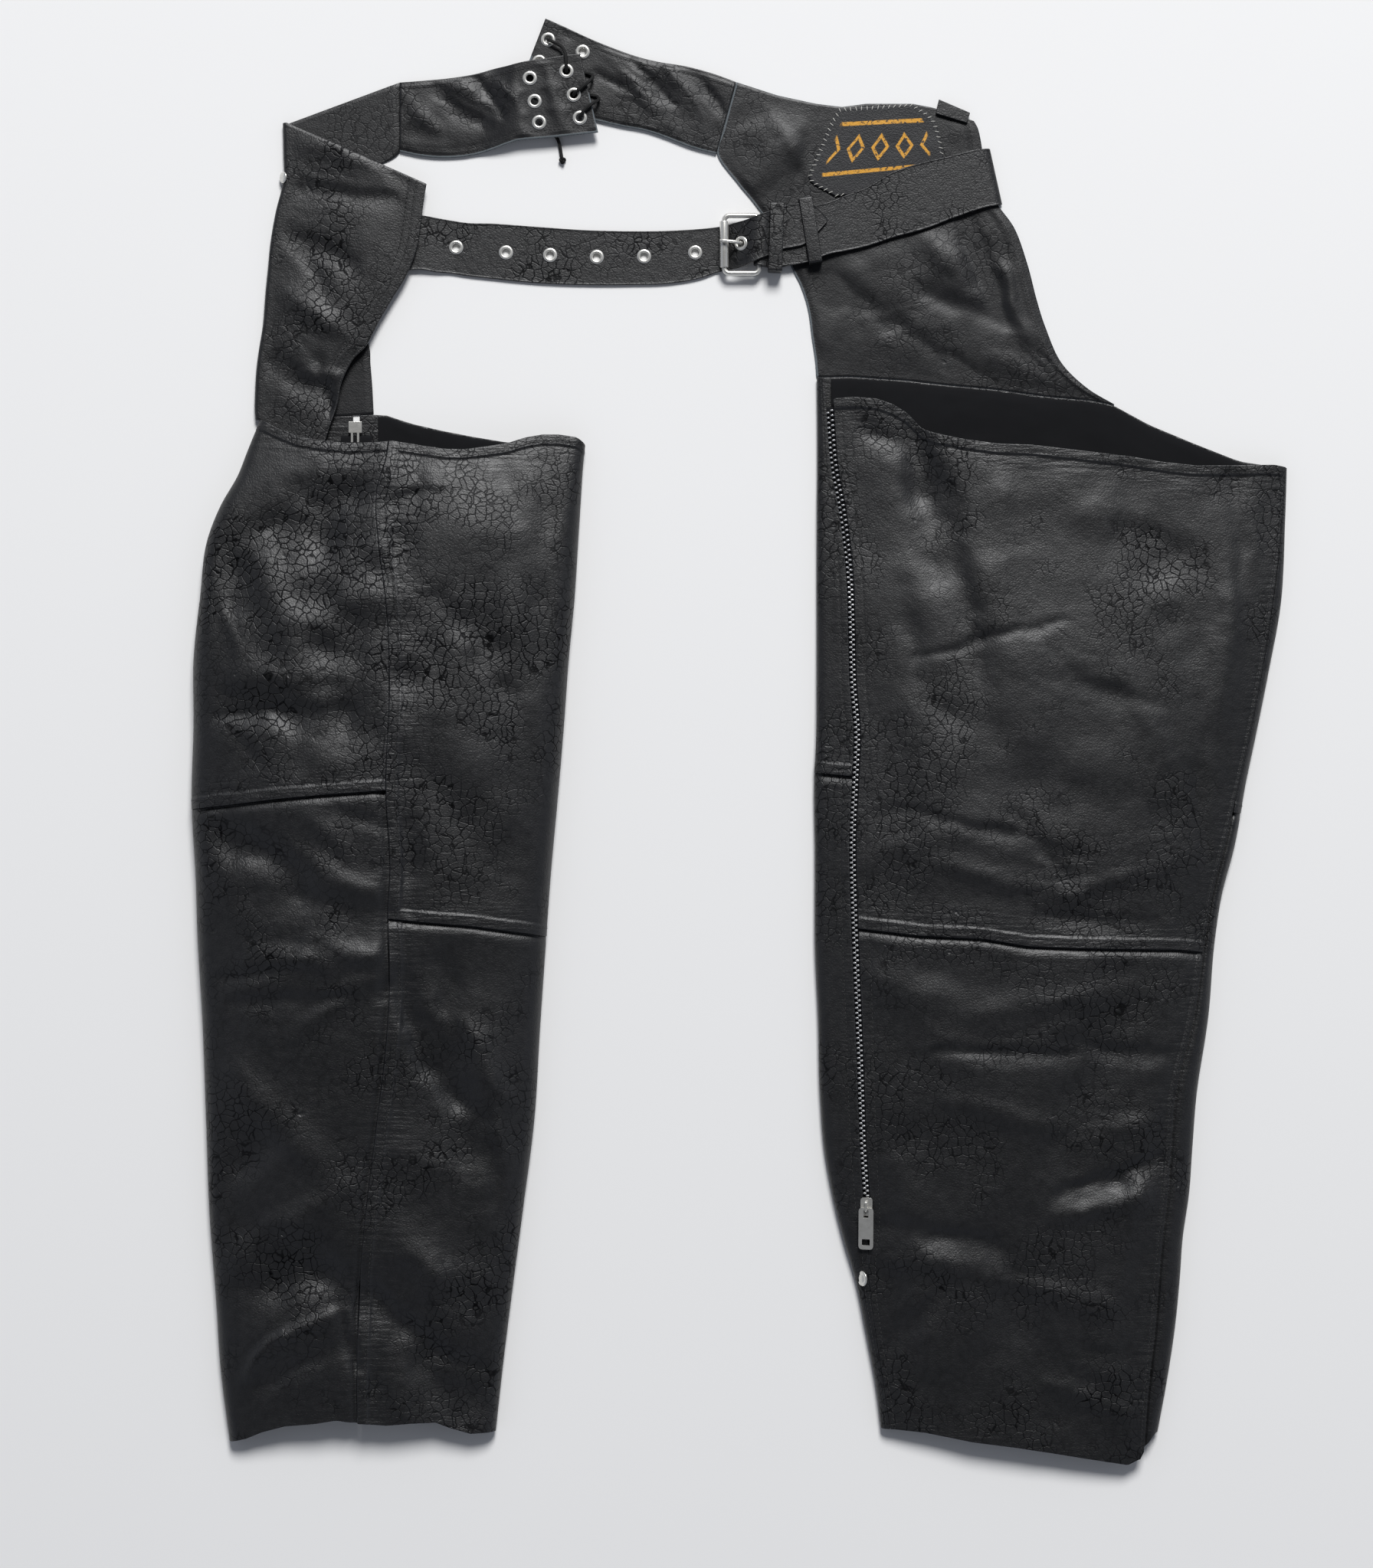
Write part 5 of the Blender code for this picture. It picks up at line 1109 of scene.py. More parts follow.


# Finer creases: x0, y0, x1, y1, half width, height. Wrinkle patches: x, y, half length, half width, turn, pitch, depth.
leftCreases = {
    "lines": [
        (-404, 152, -284, 184, 34, -20.0, 0.5), (-410, 95, -150, 88, 78, -15.0, 0.4), (-405, 122, -387, 74, 4.5, 3.2, 0.4), (-380, 118, -372, 70, 11, -3.0),
        (-338, 84, -308, 70, 10, -2.4), (-400, 48, -306, 52, 9, 2.8, -0.3), (-415, 21, -304, 25, 8, -5.0, 0.5),
        (-394, 8, -372, -17, 4, -1.4), (-268, 97, -237, 90, 5, -1.2), (-249, 226, -246, 176, 9, -3.2, 0.4),
        (-183, 220, -172, 176, 8, -2.6), (-150, 214, -152, 150, 9, -3.2), (-138, 214, -150, -10, 6, 2.4),
        (-143, 73, -149, 3, 3, -1.8), (-231, 108, -190, 70, 9, -2.6), (-205, 60, -178, 40, 10, -2.8, 0.4),
        (-255, -66, -256, -128, 8, -3.4, -0.4), (-230, 30, -190, -60, 16, 2.2), (-309, -53, -272, -64, 5, -1.8),
        (-400, -66, -338, -106, 13, -4.4, 0.4), (-372, -118, -276, -130, 12, -3.2, 0.3), (-330, -62, -300, -84, 9, 2.0),
        (-411, -186, -330, -176, 6, -3.0, 0.5), (-392, -205, -305, -196, 6, -2.6, 0.5), (-380, -168, -300, -162, 8, 2.2),
        (-271, -172, -330, -150, 8, 2.6), (-275, -178, -350, -204, 7, 2.4), (-278, -182, -345, -226, 6, 2.0),
        (-276, -170, -277, -200, 4, -2.4), (-402, -346, -356, -300, 14, -4.0, -0.3), (-392, -398, -306, -346, 11, 3.4),
        (-398, -430, -320, -410, 16, -5.0, 0.3), (-384, -488, -352, -460, 6, 3.2, 0.4), (-352, -460, -312, -441, 6, 3.0, 0.4),
        (-372, -500, -316, -470, 8, -2.4), (-313, -437, -297, -480, 6, -3.4), (-265, -185, -242, -256, 9, -4.6, -0.5),
        (-242, -256, -200, -290, 9, -4.2, -0.5), (-238, -200, -222, -232, 9, 2.8), (-212, -217, -176, -281, 8, 2.6),
        (-196, -297, -187, -369, 7, -3.0), (-262, -320, -205, -338, 14, 2.6), (-285, -429, -231, -470, 8, -4.4, 0.5),
        (-231, -470, -190, -493, 9, -3.6, 0.4), (-262, -398, -200, -420, 16, 3.4), (-262, -470, -262, -520, 7, 2.2),
        (-280, -474, -283, -520, 6, -2.4), (-330, 190, -352, 165, 10, 1.6), (-215, -500, -196, -520, 8, -2.0),
    ],
    "wrinkles": [
        (-345, -250, 70, 62, 74, 12.0, 0.5), (-330, -262, 66, 58, 6, 9.0, 0.65), (-225, -340, 52, 70, 12, 7.5, 0.6),
        (-240, 85, 26, 60, 0, 6.0, 0.5), (-210, -130, 60, 22, -6, 6.5, 0.5), (-350, 60, 55, 40, 20, 12.0, 0.6),
        (-345, -470, 50, 50, 14, 10.0, 0.8), (-220, -440, 45, 60, -25, 9.0, 0.7), (-345, -150, 60, 30, 8, 9.0, 0.8),
    ],
}
rightCreases = {
    "lines": [
        (88, 256, 122, 232, 9, -2.4), (132, 256, 156, 190, 15, -5.0, 0.4), (156, 190, 180, 106, 15, -4.6, 0.4),
        (178, 106, 190, 20, 14, -2.4), (196, 214, 214, 150, 14, 2.4), (250, 200, 300, 168, 20, 2.6),
        (308, 164, 352, 142, 14, -4.0, 0.4), (386, 206, 392, 104, 8, -3.2), (128, 118, 140, 50, 9, -2.2),
        (138, 65, 252, 96, 4, -1.6, 0.4), (248, 52, 322, 30, 9, -2.2, 0.3), (140, 42, 192, 2, 14, -2.4),
        (120, -50, 265, -86, 5, -1.8, 0.5), (212, -58, 256, -102, 5, -1.6), (100, -92, 180, -66, 10, 1.6),
        (150, -92, 255, -118, 8, 2.0), (255, -118, 330, -96, 8, 2.0), (235, -135, 320, -142, 6, -1.8, 0.4),
        (352, -20, 362, -90, 8, -2.6), (300, 60, 330, -10, 10, 2.0), (110, -180, 190, -214, 12, 2.2),
        (155, -238, 262, -242, 6, -2.4, 0.6), (250, -232, 330, -242, 7, -2.2, 0.5), (190, -208, 320, -190, 10, 2.0),
        (160, -280, 250, -300, 8, 2.0), (252, -346, 292, -341, 7, -4.6, 0.6), (292, -341, 322, -325, 7, -4.8, 0.6),
        (246, -366, 316, -356, 9, 2.8), (118, -374, 196, -388, 9, -3.4, 0.5), (110, -398, 190, -414, 9, 2.2),
        (200, -420, 290, -440, 8, 1.8), (280, -300, 320, -296, 8, 1.8), (120, -470, 160, -430, 8, -1.8),
        (240, -500, 300, -520, 7, 2.0), (180, -500, 192, -456, 12, -1.8), (268, -470, 300, -480, 8, -1.8),
    ],
    "wrinkles": [
        (250, -105, 90, 38, -4, 10.0, 0.7), (190, -235, 80, 40, 8, 11.0, 0.6), (280, -300, 55, 60, 8, 10.0, 0.6),
        (330, -90, 30, 60, 4, 7.5, 0.6), (280, -500, 45, 45, 10, 9.0, 0.6), (150, -430, 40, 60, 60, 10.0, 0.5),
        (230, 80, 90, 70, -30, 14.0, 0.4),
    ],
}


leftTube = Leg(leftLeg, leftCreases["lines"], leftCreases["wrinkles"], 11)
rightTube = Leg(rightLeg, rightCreases["lines"], rightCreases["wrinkles"], 31)


def leftZipAfter(y):
    return 2 * math.pi - leftTube.angle(smooth(leftLeg["zip"], y) + zipGap(y), y)


def leftZipBefore(y):
    return -leftTube.angle(smooth(leftLeg["zip"], y) - zipGap(y), y)


def rightZipAfter(y):
    return rightTube.angle(smooth(rightLeg["zip"], y) + zipGap(y), y)


def rightZipBefore(y):
    return 2 * math.pi + rightTube.angle(smooth(rightLeg["zip"], y) - zipGap(y), y)


# Stitch rows sit behind each folded edge.
trims = {
    "hem": {"lap": leatherSizes["hemLap"], "height": leatherSizes["hemHeight"], "rows": [5.6]},
    "seam": {"lap": leatherSizes["lap"], "height": leatherSizes["lapHeight"], "rows": [6.0]},
    "inseam": {"lap": leatherSizes["inseamLap"], "height": leatherSizes["lapHeight"], "rows": [4.6]},
    "zip": {"lap": 0.0, "height": 0.0, "rows": [8.4]},
    "flap": {"lap": 0.0, "height": 0.0, "rows": [6.5]},
    "under": {"lap": 0.0, "height": 0.0, "rows": [], "dip": 2.3},
}


def makeLeftLeg():
    up = leatherSizes["seamGap"] / 2
    front = leftLeg["frontSeam"]
    back = leftLeg["backSeam"]
    levelFront = [(-430, -52.5)] + front[:1] + [(-250, -52.5)]
    levelBack = [(-320, -152), (-140, -152)]
    hem = leftLeg["hem"]
    frontEnd = inseamAt(leftTube, -leatherSizes["inseamGap"] / 2)
    backStart = inseamAt(leftTube, leatherSizes["inseamGap"] / 2)
    panel(
        "front_upper_left", leftTube, leftZipBefore, frontEnd, both(leftLeg["topHem"], leftLeg["lowerEdge"]),
        both(front, levelFront, up), (300, 285),
        {"high": trims["hem"], "low": trims["seam"], "start": trims["zip"], "end": trims["under"]}, 90,
    )
    panel(
        "front_lower_left", leftTube, leftZipBefore, frontEnd, both(front, levelFront, -up), both(hem, hem),
        (280, 485), {"start": trims["zip"], "high": trims["under"], "end": trims["under"]}, -300,
    )
    panel(
        "back_upper_left", leftTube, backStart, leftZipAfter, both(leftLeg["topHem"], leftLeg["lowerEdge"]),
        both(back, levelBack, up), (315, 380),
        {"high": trims["hem"], "low": trims["seam"], "start": trims["inseam"], "end": trims["zip"]}, 40,
    )
    panel(
        "back_lower_left", leftTube, backStart, leftZipAfter, both(back, levelBack, -up), both(hem, hem),
        (270, 385), {"start": trims["inseam"], "end": trims["zip"], "high": trims["under"]}, -340,
    )


def makeRightLeg():
    up = leatherSizes["seamGap"] / 2
    backEnd = inseamAt(rightTube, -leatherSizes["inseamGap"] / 2)
    frontStart = inseamAt(rightTube, leatherSizes["inseamGap"] / 2)
    upperEdge = rightLeg["facingEdge"] + rightLeg["scoopEdge"][1:]
    flapTop = [(60, 285), (90, 285), (400, 214.5), (430, 214.5)]
    front = rightLeg["frontSeam"]
    back = rightLeg["backSeam"]
    panel(
        "front_upper_right", rightTube, frontStart, rightZipBefore, both(flapTop, upperEdge), both(front, front, up),
        (420, 290), {"low": trims["seam"], "end": trims["flap"], "start": trims["under"]}, 100,
    )
    panel(
        "front_lower_right", rightTube, frontStart, rightZipBefore, both(front, front, -up),
        both(rightLeg["hemTop"], rightLeg["hemFloor"]), (350, 500),
        {"end": trims["flap"], "start": trims["under"], "high": trims["under"]}, -280,
    )
    panel(
        "back_upper_right", rightTube, rightZipAfter, backEnd, both(rightLeg["topHem"], rightLeg["topHem"]),
        both(back, back, up), (310, 390),
        {"high": trims["hem"], "low": trims["seam"], "end": trims["inseam"], "start": trims["zip"]}, 40,
    )
    panel(
        "back_lower_right", rightTube, rightZipAfter, backEnd, both(back, back, -up),
        both(rightLeg["hemTop"], rightLeg["hemTop"]), (235, 390),
        {"end": trims["inseam"], "start": trims["zip"], "high": trims["under"]}, -330,
    )


makeLeftLeg()
makeRightLeg()
print("legs made")


# The left hip: floor layer, round fold, top layer, in rows up the hip.
def makeLeftHip():
    table = np.array(leftHip["sections"], float)
    keys = np.arange(len(table), dtype=float)
    rows = np.linspace(0, len(table) - 1, 100)
    foldX, foldY, backX, backY, frontX, frontY = [
        smooth(list(zip(keys, table[:, index])), rows)[:, None] for index in range(6)
    ]
    radius = leftHip["roll"]
    under = np.linspace(0, 1, 16)[None, :]
    turn = np.linspace(0, math.pi, 15)[None, 1:-1]
    over = np.unique(np.concatenate([np.linspace(0, 1, 44), [0.94, 0.955, 0.97, 0.985]]))[None, :]
    flat = np.ones_like(rows)[:, None]
    floorLayer = np.stack([
        backX + (foldX + radius - backX) * under, backY + (foldY - backY) * under, 0 * under * flat], axis=-1)
    bend = np.stack(np.broadcast_arrays(
        foldX + radius - radius * np.sin(turn), foldY, (radius - radius * np.cos(turn)) * flat), axis=-1)
    swell = leftHip["swell"] * np.sin(math.pi * np.minimum(over * 0.8, 1)) ** 2
    swell = swell * (0.35 + 0.65 * ease(rows[:, None] / 2.9))
    x = foldX + radius + (frontX - foldX - radius) * over
    y = foldY + (frontY - foldY) * over
    fade = ease(over / 0.12) * ease((1 - over) / 0.1 + 0.2)
    relief = (lineRelief(leftHip["lines"], x, y) + wrinkleRelief(leftHip["wrinkles"], x, y)) * fade
    relief = relief + (0.5 * softNoise(x, y, 34, 71) + 0.2 * softNoise(x, y, 13, 72)) * fade
    top = np.stack([x, y, 2 * radius + swell + relief], axis=-1)
    points = np.concatenate([floorLayer, bend, top], axis=1)
    normal = normalsOf(points)
    outer = points.copy()
    width = frontX - foldX
    gap = (1 - over) * width
    edge = 1 - ease((gap - 12.0) / 1.6)
    groove = np.exp(-(((gap - 7.8) / 0.9) ** 2)) + np.exp(-(((gap - 13.2) / 0.9) ** 2))
    outer[:, -over.shape[1]:, 2] += 0.7 * edge - 0.3 * groove
    worn = np.zeros(points.shape[:2])
    worn[:, -over.shape[1]:] = 1 - ease(gap / 2.0)
    bent = np.zeros(points.shape[:2])
    bent[:, -over.shape[1]:] = np.clip(np.abs(relief) * 0.25, 0, 1)
    piece = wall(
        "hip_left_leather", outer, points - normal * leatherSizes["wall"], [looks["outer"], looks["edge"], looks["inner"]],
        fields={"bent": bent, "worn": worn, "puckered": worn * 0.6}, innerFinish=2,
    )
    settle(piece, ["hip_left"])
    declareCut(piece, points)
    line = points[:, -over.shape[1]:]
    for distance in (7.8, 13.2):
        share = 1 - distance / width[:, 0]
        at = np.stack([np.array([np.interp(s, over[0], line[row, :, axis]) for row, s in enumerate(share)]) for axis in range(3)], axis=-1)
        at[:, 2] += 0.62
        stitchLines.append((at, np.tile([0.0, 0.0, 1.0], (len(at), 1))))


leftHip["lines"] = [
    (-362, 300, -318, 268, 9, -2.4, 0.4), (-350, 345, -300, 318, 10, 2.2), (-352, 400, -300, 372, 9, -2.2, 0.3),
    (-340, 470, -282, 452, 9, 2.0), (-348, 436, -270, 424, 7, -1.8, 0.4), (-330, 300, -320, 262, 5, -2.0),
    (-300, 470, -262, 440, 8, -1.6), (-340, 380, -318, 344, 7, -1.6), (-338, 290, -300, 284, 6, 1.6),
]
leftHip["wrinkles"] = [
    (-325, 430, 40, 50, -20, 10.0, 0.6), (-340, 330, 30, 45, -40, 9.0, 0.6), (-330, 285, 26, 26, -30, 7.0, 0.6),
]
rightHip["lines"] = [
    (72, 362, 122, 326, 13, -2.8, 0.5), (122, 326, 222, 258, 10, -3.0, 0.6), (92, 340, 150, 300, 12, 2.6), (150, 396, 178, 352, 12, 3.0),
    (176, 410, 190, 366, 9, -3.2), (190, 366, 214, 334, 9, -2.8), (206, 372, 226, 318, 6, 2.6), (20, 312, 50, 270, 12, 2.0),
    (140, 355, 205, 330, 7, -1.6), (60, 292, 100, 258, 10, -1.4), (200, 300, 262, 275, 8, 2.0), (10, 440, 60, 480, 10, 1.4),
    (-40, 470, 30, 500, 9, -1.0), (52, 470, 44, 420, 8, -1.6), (20, 500, 60, 440, 7, 1.4), (168, 300, 196, 276, 6, -1.6),
]
rightHip["wrinkles"] = [
    (195, 390, 26, 44, 40, 6.5, 1.5), (130, 340, 60, 40, 20, 10.0, 0.5), (225, 300, 44, 28, -30, 6.5, 1.3),
    (40, 450, 50, 40, 50, 8.0, 0.5), (60, 290, 44, 40, -20, 9.0, 0.4),
]


# Height of the upper face of the right hip, kept low under the patch and the buckle strap.
def rightHipRise(x, y):
    rise = lineRelief(rightHip["lines"], x, y) + wrinkleRelief(rightHip["wrinkles"], x, y)
    rise = rise + 1.1 + 0.9 * softNoise(x, y, 38, 81) + 0.35 * softNoise(x, y, 14, 82)
    centre = np.array(buckleLine)
    away = np.abs(y - np.interp(x, centre[:, 0], centre[:, 1]))
    strap = 1 - ease((away - 24) / 16)
    strap = strap * ease((x - 40) / 20)
    inPatch = 1 - ease((np.maximum(np.abs(x - 110) - 52, np.abs(y - 463) - 38)) / 12)
    cap = 4.2 - 2.6 * np.maximum(strap, inPatch)
    return np.clip(rise, 0, cap) * (1 - 0.85 * inPatch) * (1 - 0.4 * strap)


buckleLine = [(row[0] + row[2]) / 2 for row in belt["buckleStrap"][11:]]
buckleLine = [(x, (row[1] + row[3]) / 2) for x, row in zip(buckleLine, belt["buckleStrap"][11:])]


def makeRightHip():
    table = np.array(rightHip["sections"], float)
    keys = np.arange(len(table), dtype=float)
    rows = np.linspace(0, len(table) - 1, 96)
    leftX, leftY, rightX, rightY = [smooth(list(zip(keys, table[:, index])), rows)[:, None] for index in range(4)]
    part = np.unique(np.concatenate([np.linspace(0, 1, 84), [0.004, 0.01, 0.02, 0.975, 0.985, 0.992]]))[None, :]
    x = leftX + (rightX - leftX) * part
    y = leftY + (rightY - leftY) * part
    last = len(table) - 1
    toTop = ease((rows[:, None] - last + 3) / 3)
    toLow = ease((2.5 - rows[:, None]) / 2.5)
    topBow = linear(rightHip["topEdge"], x[-1]) - y[-1]
    lowBow = linear(rightLeg["facingEdge"], x[0]) + 0.7 - y[0]
    y = y + toTop * topBow[None, :] + toLow * lowBow[None, :]
    edge = ease(part / 0.04) * ease((1 - part) / 0.04) * ease(rows[:, None] / 3) * ease((last - rows[:, None]) / 2)
    rise = rightHipRise(x, y) * edge
    low = np.stack([x, y, rise], axis=-1)
    high = low + np.array([0, 0, leatherSizes["wall"]])
    gap = (1 - part) * (rightX - leftX)
    high[..., 2] += 0.6 * (1 - ease((gap - 8.5) / 1.5))
    worn = np.maximum(1 - ease(gap / 2), 1 - ease(part * (rightX - leftX) / 2.5))
    bent = np.clip(np.abs(wrinkleRelief(rightHip["wrinkles"], x, y)) * 1.2, 0, 1)
    raw = 1 - ease((part * (rightX - leftX) - 0.8) / 1.4)
    piece = wall(
        "hip_right_leather", high, low, [looks["inner"], looks["edge"], looks["outer"]], bulge=0.25,
        fields={"bent": bent, "worn": worn, "puckered": worn * 0.5, "raw": raw}, rimFinish=1, innerFinish=2,
    )
    settle(piece, ["hip_right"])
    declareCut(piece, low)
    for distance in (6.8,):
        share = 1 - distance / (rightX - leftX)[:, 0]
        at = np.stack([np.array([np.interp(s, part[0], high[row, :, axis]) for row, s in enumerate(share)]) for axis in range(3)], axis=-1)
        stitchLines.append((at[2:-2], np.tile([0.0, 0.0, 1.0], (len(at) - 4, 1))))


# Creases of the yokes, in the form used for the legs, and which end row of each table meets its hip.
yokeCreases = {
    "left": {
        "lines": [
            (-240, 512, -206, 486, 5, -1.8, 0.5), (-232, 520, -196, 500, 5, 1.6), (-205, 520, -186, 492, 4, -1.5, 0.5),
            (-262, 506, -234, 480, 6, 1.3), (-190, 516, -172, 500, 4, 1.2),
        ],
        "wrinkles": [(-212, 503, 46, 26, -35, 8.0, 1.0)],
    },
    "right": {
        "lines": [
            (-92, 520, -66, 494, 5, 1.3), (-84, 532, -50, 498, 4, -1.4, 0.5), (-60, 530, -36, 500, 5, 1.2),
            (-28, 516, -10, 490, 5, -1.2, 0.5), (-110, 520, -84, 508, 4, -1.0),
        ],
        "wrinkles": [(-80, 515, 46, 28, -40, 8.0, 0.7), (-30, 505, 30, 24, -50, 7.0, 0.5)],
    },
}
hipEnds = (0, -1)


# A yoke: two layers sewn together round the edge, made as one thick wall, with a groove along the stitch rows near its
# long edges.
def makeYoke(name, sections, holes, seed, hipEnd, creases):
    table = np.array(sections, float)
    inner = 1 if hipEnd == 0 else -2
    for column in (0, 2):
        reach = table[hipEnd, column : column + 2] - table[inner, column : column + 2]
        table[hipEnd, column : column + 2] += 1.2 * unit(reach)
    keys = np.arange(len(table), dtype=float)
    rows = np.linspace(0, len(table) - 1, 110)
    topX, topY, lowX, lowY, lift = [smooth(list(zip(keys, table[:, index])), rows)[None, :] for index in range(5)]
    part = np.unique(np.concatenate([np.linspace(0, 1, 34), [0.012, 0.03, 0.06, 0.94, 0.97, 0.988]]))[:, None]
    x = topX + (lowX - topX) * part
    y = topY + (lowY - topY) * part
    edge = ease(part / 0.08) * ease((1 - part) / 0.08)
    holesNear = np.zeros_like(x)
    for holeX, holeY in holes:
        holesNear = np.maximum(holesNear, 1 - ease((np.hypot(x - holeX, y - holeY) - 8) / 8))
    relief = (0.8 * (1 + softNoise(x, y, 26, seed)) + 0.5 * softNoise(x, y, 11, seed + 1)) * edge * (1 - holesNear)
    crease = (wrinkleRelief(creases["wrinkles"], x, y) + lineRelief(creases["lines"], x, y)) * edge * (1 - holesNear)
    low = np.stack([x, y, lift + 0 * x], axis=-1)
    wallHeight = 2.6
    high = low + np.stack([0 * x, 0 * x, wallHeight + np.maximum(relief * 0.7 + crease, -0.7)], axis=-1)
    gap = np.minimum(part, 1 - part) * 54
    last = len(table) - 1
    endGap = (rows if hipEnd != 0 else last - rows)[None, :] * 14.0 + 0 * x
    raw = np.maximum(1 - ease((np.minimum(gap, endGap) - 0.5) / 1.1), 0) * (1 - 0.6 * (part < 0.5))
    high[..., 2] -= 0.35 * np.exp(-(((gap - 5.5) / 0.9) ** 2)) * (1 - holesNear)
    worn = 1 - ease(gap / 2.5) + 0 * x
    piece = wall(
        name + "_leather", high, low, [looks["inner"], looks["edge"], looks["outer"]], bulge=0.25, steps=5,
        innerFinish=2, fields={"bent": np.clip(np.abs(crease), 0, 1), "worn": worn, "puckered": worn * 0.5, "raw": raw},
    )
    cutRound(piece, holes, 3.6)
    settle(piece, [name])
    declareCut(piece, high)
    seam = high[:, 2 if hipEnd == 0 else -3]
    stitchLines.append((seam[2:-2] + [0, 0, 0.1], np.tile([0.0, 0.0, 1.0], (len(seam) - 4, 1))))
    line = high[np.abs(part[:, 0] - 5.5 / 54).argmin()]
    stitchLines.append((line[3:-3] + [0, 0, 0.05], np.tile([0.0, 0.0, 1.0], (len(line) - 6, 1))))
    line = high[np.abs(part[:, 0] - 1 + 5.5 / 54).argmin()]
    stitchLines.append((line[3:-3] + [0, 0, 0.05], np.tile([0.0, 0.0, 1.0], (len(line) - 6, 1))))


# Cuts round holes with one joined cutter, then removes the cutter.
def cutRound(piece, holes, radius, heights=None, tilts=None):
    work = bmesh.new()
    for place, (x, y) in enumerate(holes):
        spot = (np.array([x, y, heights[place] if heights else 5.0]) - planMiddle) * mm
        turn = Matrix.Translation(spot) @ Matrix.Rotation(tilts[place] if tilts else 0.0, 4, "Y")
        bmesh.ops.create_cone(
            work, cap_ends=True, segments=28, radius1=radius * mm, radius2=radius * mm, depth=16 * mm, matrix=turn)
    mesh = bpy.data.meshes.new("holes")
    work.to_mesh(mesh)
    work.free()
    cutter = bpy.data.objects.new("holes", mesh)
    bpy.context.scene.collection.objects.link(cutter)
    cut = piece.modifiers.new("holes", "BOOLEAN")
    cut.solver = "EXACT"
    cut.object = cutter
    applyModifiers(piece)
    bpy.data.objects.remove(cutter)


def applyModifiers(piece):
    graph = bpy.context.evaluated_depsgraph_get()
    made = bpy.data.meshes.new_from_object(piece.evaluated_get(graph), depsgraph=graph)
    piece.modifiers.clear()
    piece.data = made


# A strap: rows along it give its two edges and the height of its middle. Its edges are pressed thin and stitched.
def makeStrap(node, sections, holes=()):
    table = np.array(sections, float)
    reach = np.hypot(np.diff((table[:, 0] + table[:, 2]) / 2), np.diff((table[:, 1] + table[:, 3]) / 2))
    reach = np.hypot(reach, np.diff(table[:, 4]))
    keys = np.concatenate([[0], np.cumsum(reach)])
    rows = np.linspace(0, keys[-1], int(keys[-1] / 1.6))
    topX, topY, lowX, lowY, middle = [smooth(list(zip(keys, table[:, index])), rows)[None, :] for index in range(5)]
    width = np.hypot(lowX - topX, lowY - topY)
    part = np.array([0, 0.012, 0.03, 0.06, 0.085, 0.11, 0.14, 0.2, 0.28, 0.36, 0.44, 0.5])
    part = np.concatenate([part, 1 - part[-2::-1]])[:, None]
    x = topX + (lowX - topX) * part
    y = topY + (lowY - topY) * part
    centre = np.stack([x, y, middle + 0 * x], axis=-1)
    normal = normalsOf(centre)
    gap = np.minimum(part, 1 - part) * width
    body = 1.0 + 0.3 * ease(gap / 14) - 0.28 * np.exp(-(((gap - 3.7) / 0.8) ** 2)) - 0.2 * (1 - ease(gap / 1.4))
    holesNear = np.zeros_like(x)
    for holeX, holeY in holes:
        holesNear = np.maximum(holesNear, 1 - ease((np.hypot(x - holeX, y - holeY) - 7) / 5))
    body = body + (0.16 * softNoise(x, y, 16, 61) + 0.1 * softNoise(x, y, 6, 62)) * (1 - holesNear)
    body = body * (1 - holesNear) + 1.0 * holesNear
    worn = 1 - ease(gap / 1.6)
    piece = wall(
        node + "_leather", centre + normal * body[..., None], centre - normal * 1.0,
        [looks["outer"], looks["edge"]], bulge=0.3,
        fields={"bent": 0.15 + 0 * x, "worn": worn, "puckered": 0.6 * worn},
    )
    if holes:
        heights = [float(np.interp(hx, (table[:, 0] + table[:, 2]) / 2, table[:, 4])) for hx, _ in holes]
        slopes = [strapSlope(table, hx) for hx, _ in holes]
        cutRound(piece, holes, 3.6, heights, [-math.atan(slope) for slope in slopes])
    settle(piece, [node])
    declareCut(piece, centre)
    for share in (3.7 / 42, 1 - 3.7 / 42):
        row = np.abs(part[:, 0] - share).argmin()
        stitchLines.append(((centre + normal * 0.85)[row][2:-2], normal[row][2:-2]))
    return piece


def strapSlope(table, x):
    middle = (table[:, 0] + table[:, 2]) / 2
    return float(np.interp(x + 3, middle, table[:, 4]) - np.interp(x - 3, middle, table[:, 4])) / 6


# A keeper: a closed band whose section is a flat bar, round a rectangle with round corners across the belt.
def makeKeeper(name, lowX, lowY, highX, highY, width, highZ):
    corner = 1.4
    lowZ = 2.2
    length = math.hypot(highX - lowX, highY - lowY)
    along = np.array([highX - lowX, highY - lowY, 0.0]) / length
    side = np.array([along[1], -along[0], 0.0])
    corners = [
        (length - corner, lowZ + corner, -90), (length - corner, highZ - corner, 0),
        (corner, highZ - corner, 90), (corner, lowZ + corner, 180),
    ]
    path = []
    for place, height, first in corners:
        for step in range(8):
            angle = math.radians(first + 90 * step / 7)
            path.append((place, height, math.cos(angle), math.sin(angle)))
    path = np.array(path)
    half = 0.5
    profile = [(half, -0.5), (half + 0.05, -0.47), (half + 0.12, -0.3), (half + 0.14, 0.0), (half + 0.12, 0.3),
               (half + 0.05, 0.47), (half, 0.5), (0.0, 0.53), (-half, 0.5), (-half, -0.5), (0.0, -0.53)]
    points = []
    for offset, share in profile:
        reach = corner + offset
        spot = np.array([lowX, lowY, 0.0]) + along * (path[:, 0:1] + path[:, 2:3] * reach) + side * (share * width)
        spot[:, 2] = path[:, 1] + path[:, 3] * reach
        points.append(spot)
    points = np.stack(points, axis=1)
    number = np.arange(points.shape[0] * points.shape[1]).reshape(points.shape[:2])
    number = np.concatenate([number, number[:1]], axis=0)
    number = np.concatenate([number, number[:, :1]], axis=1)
    piece = addMesh(name + "_leather", points.reshape(-1, 3), [gridQuads(number)], [looks["outer"]])
    settle(piece, [name])


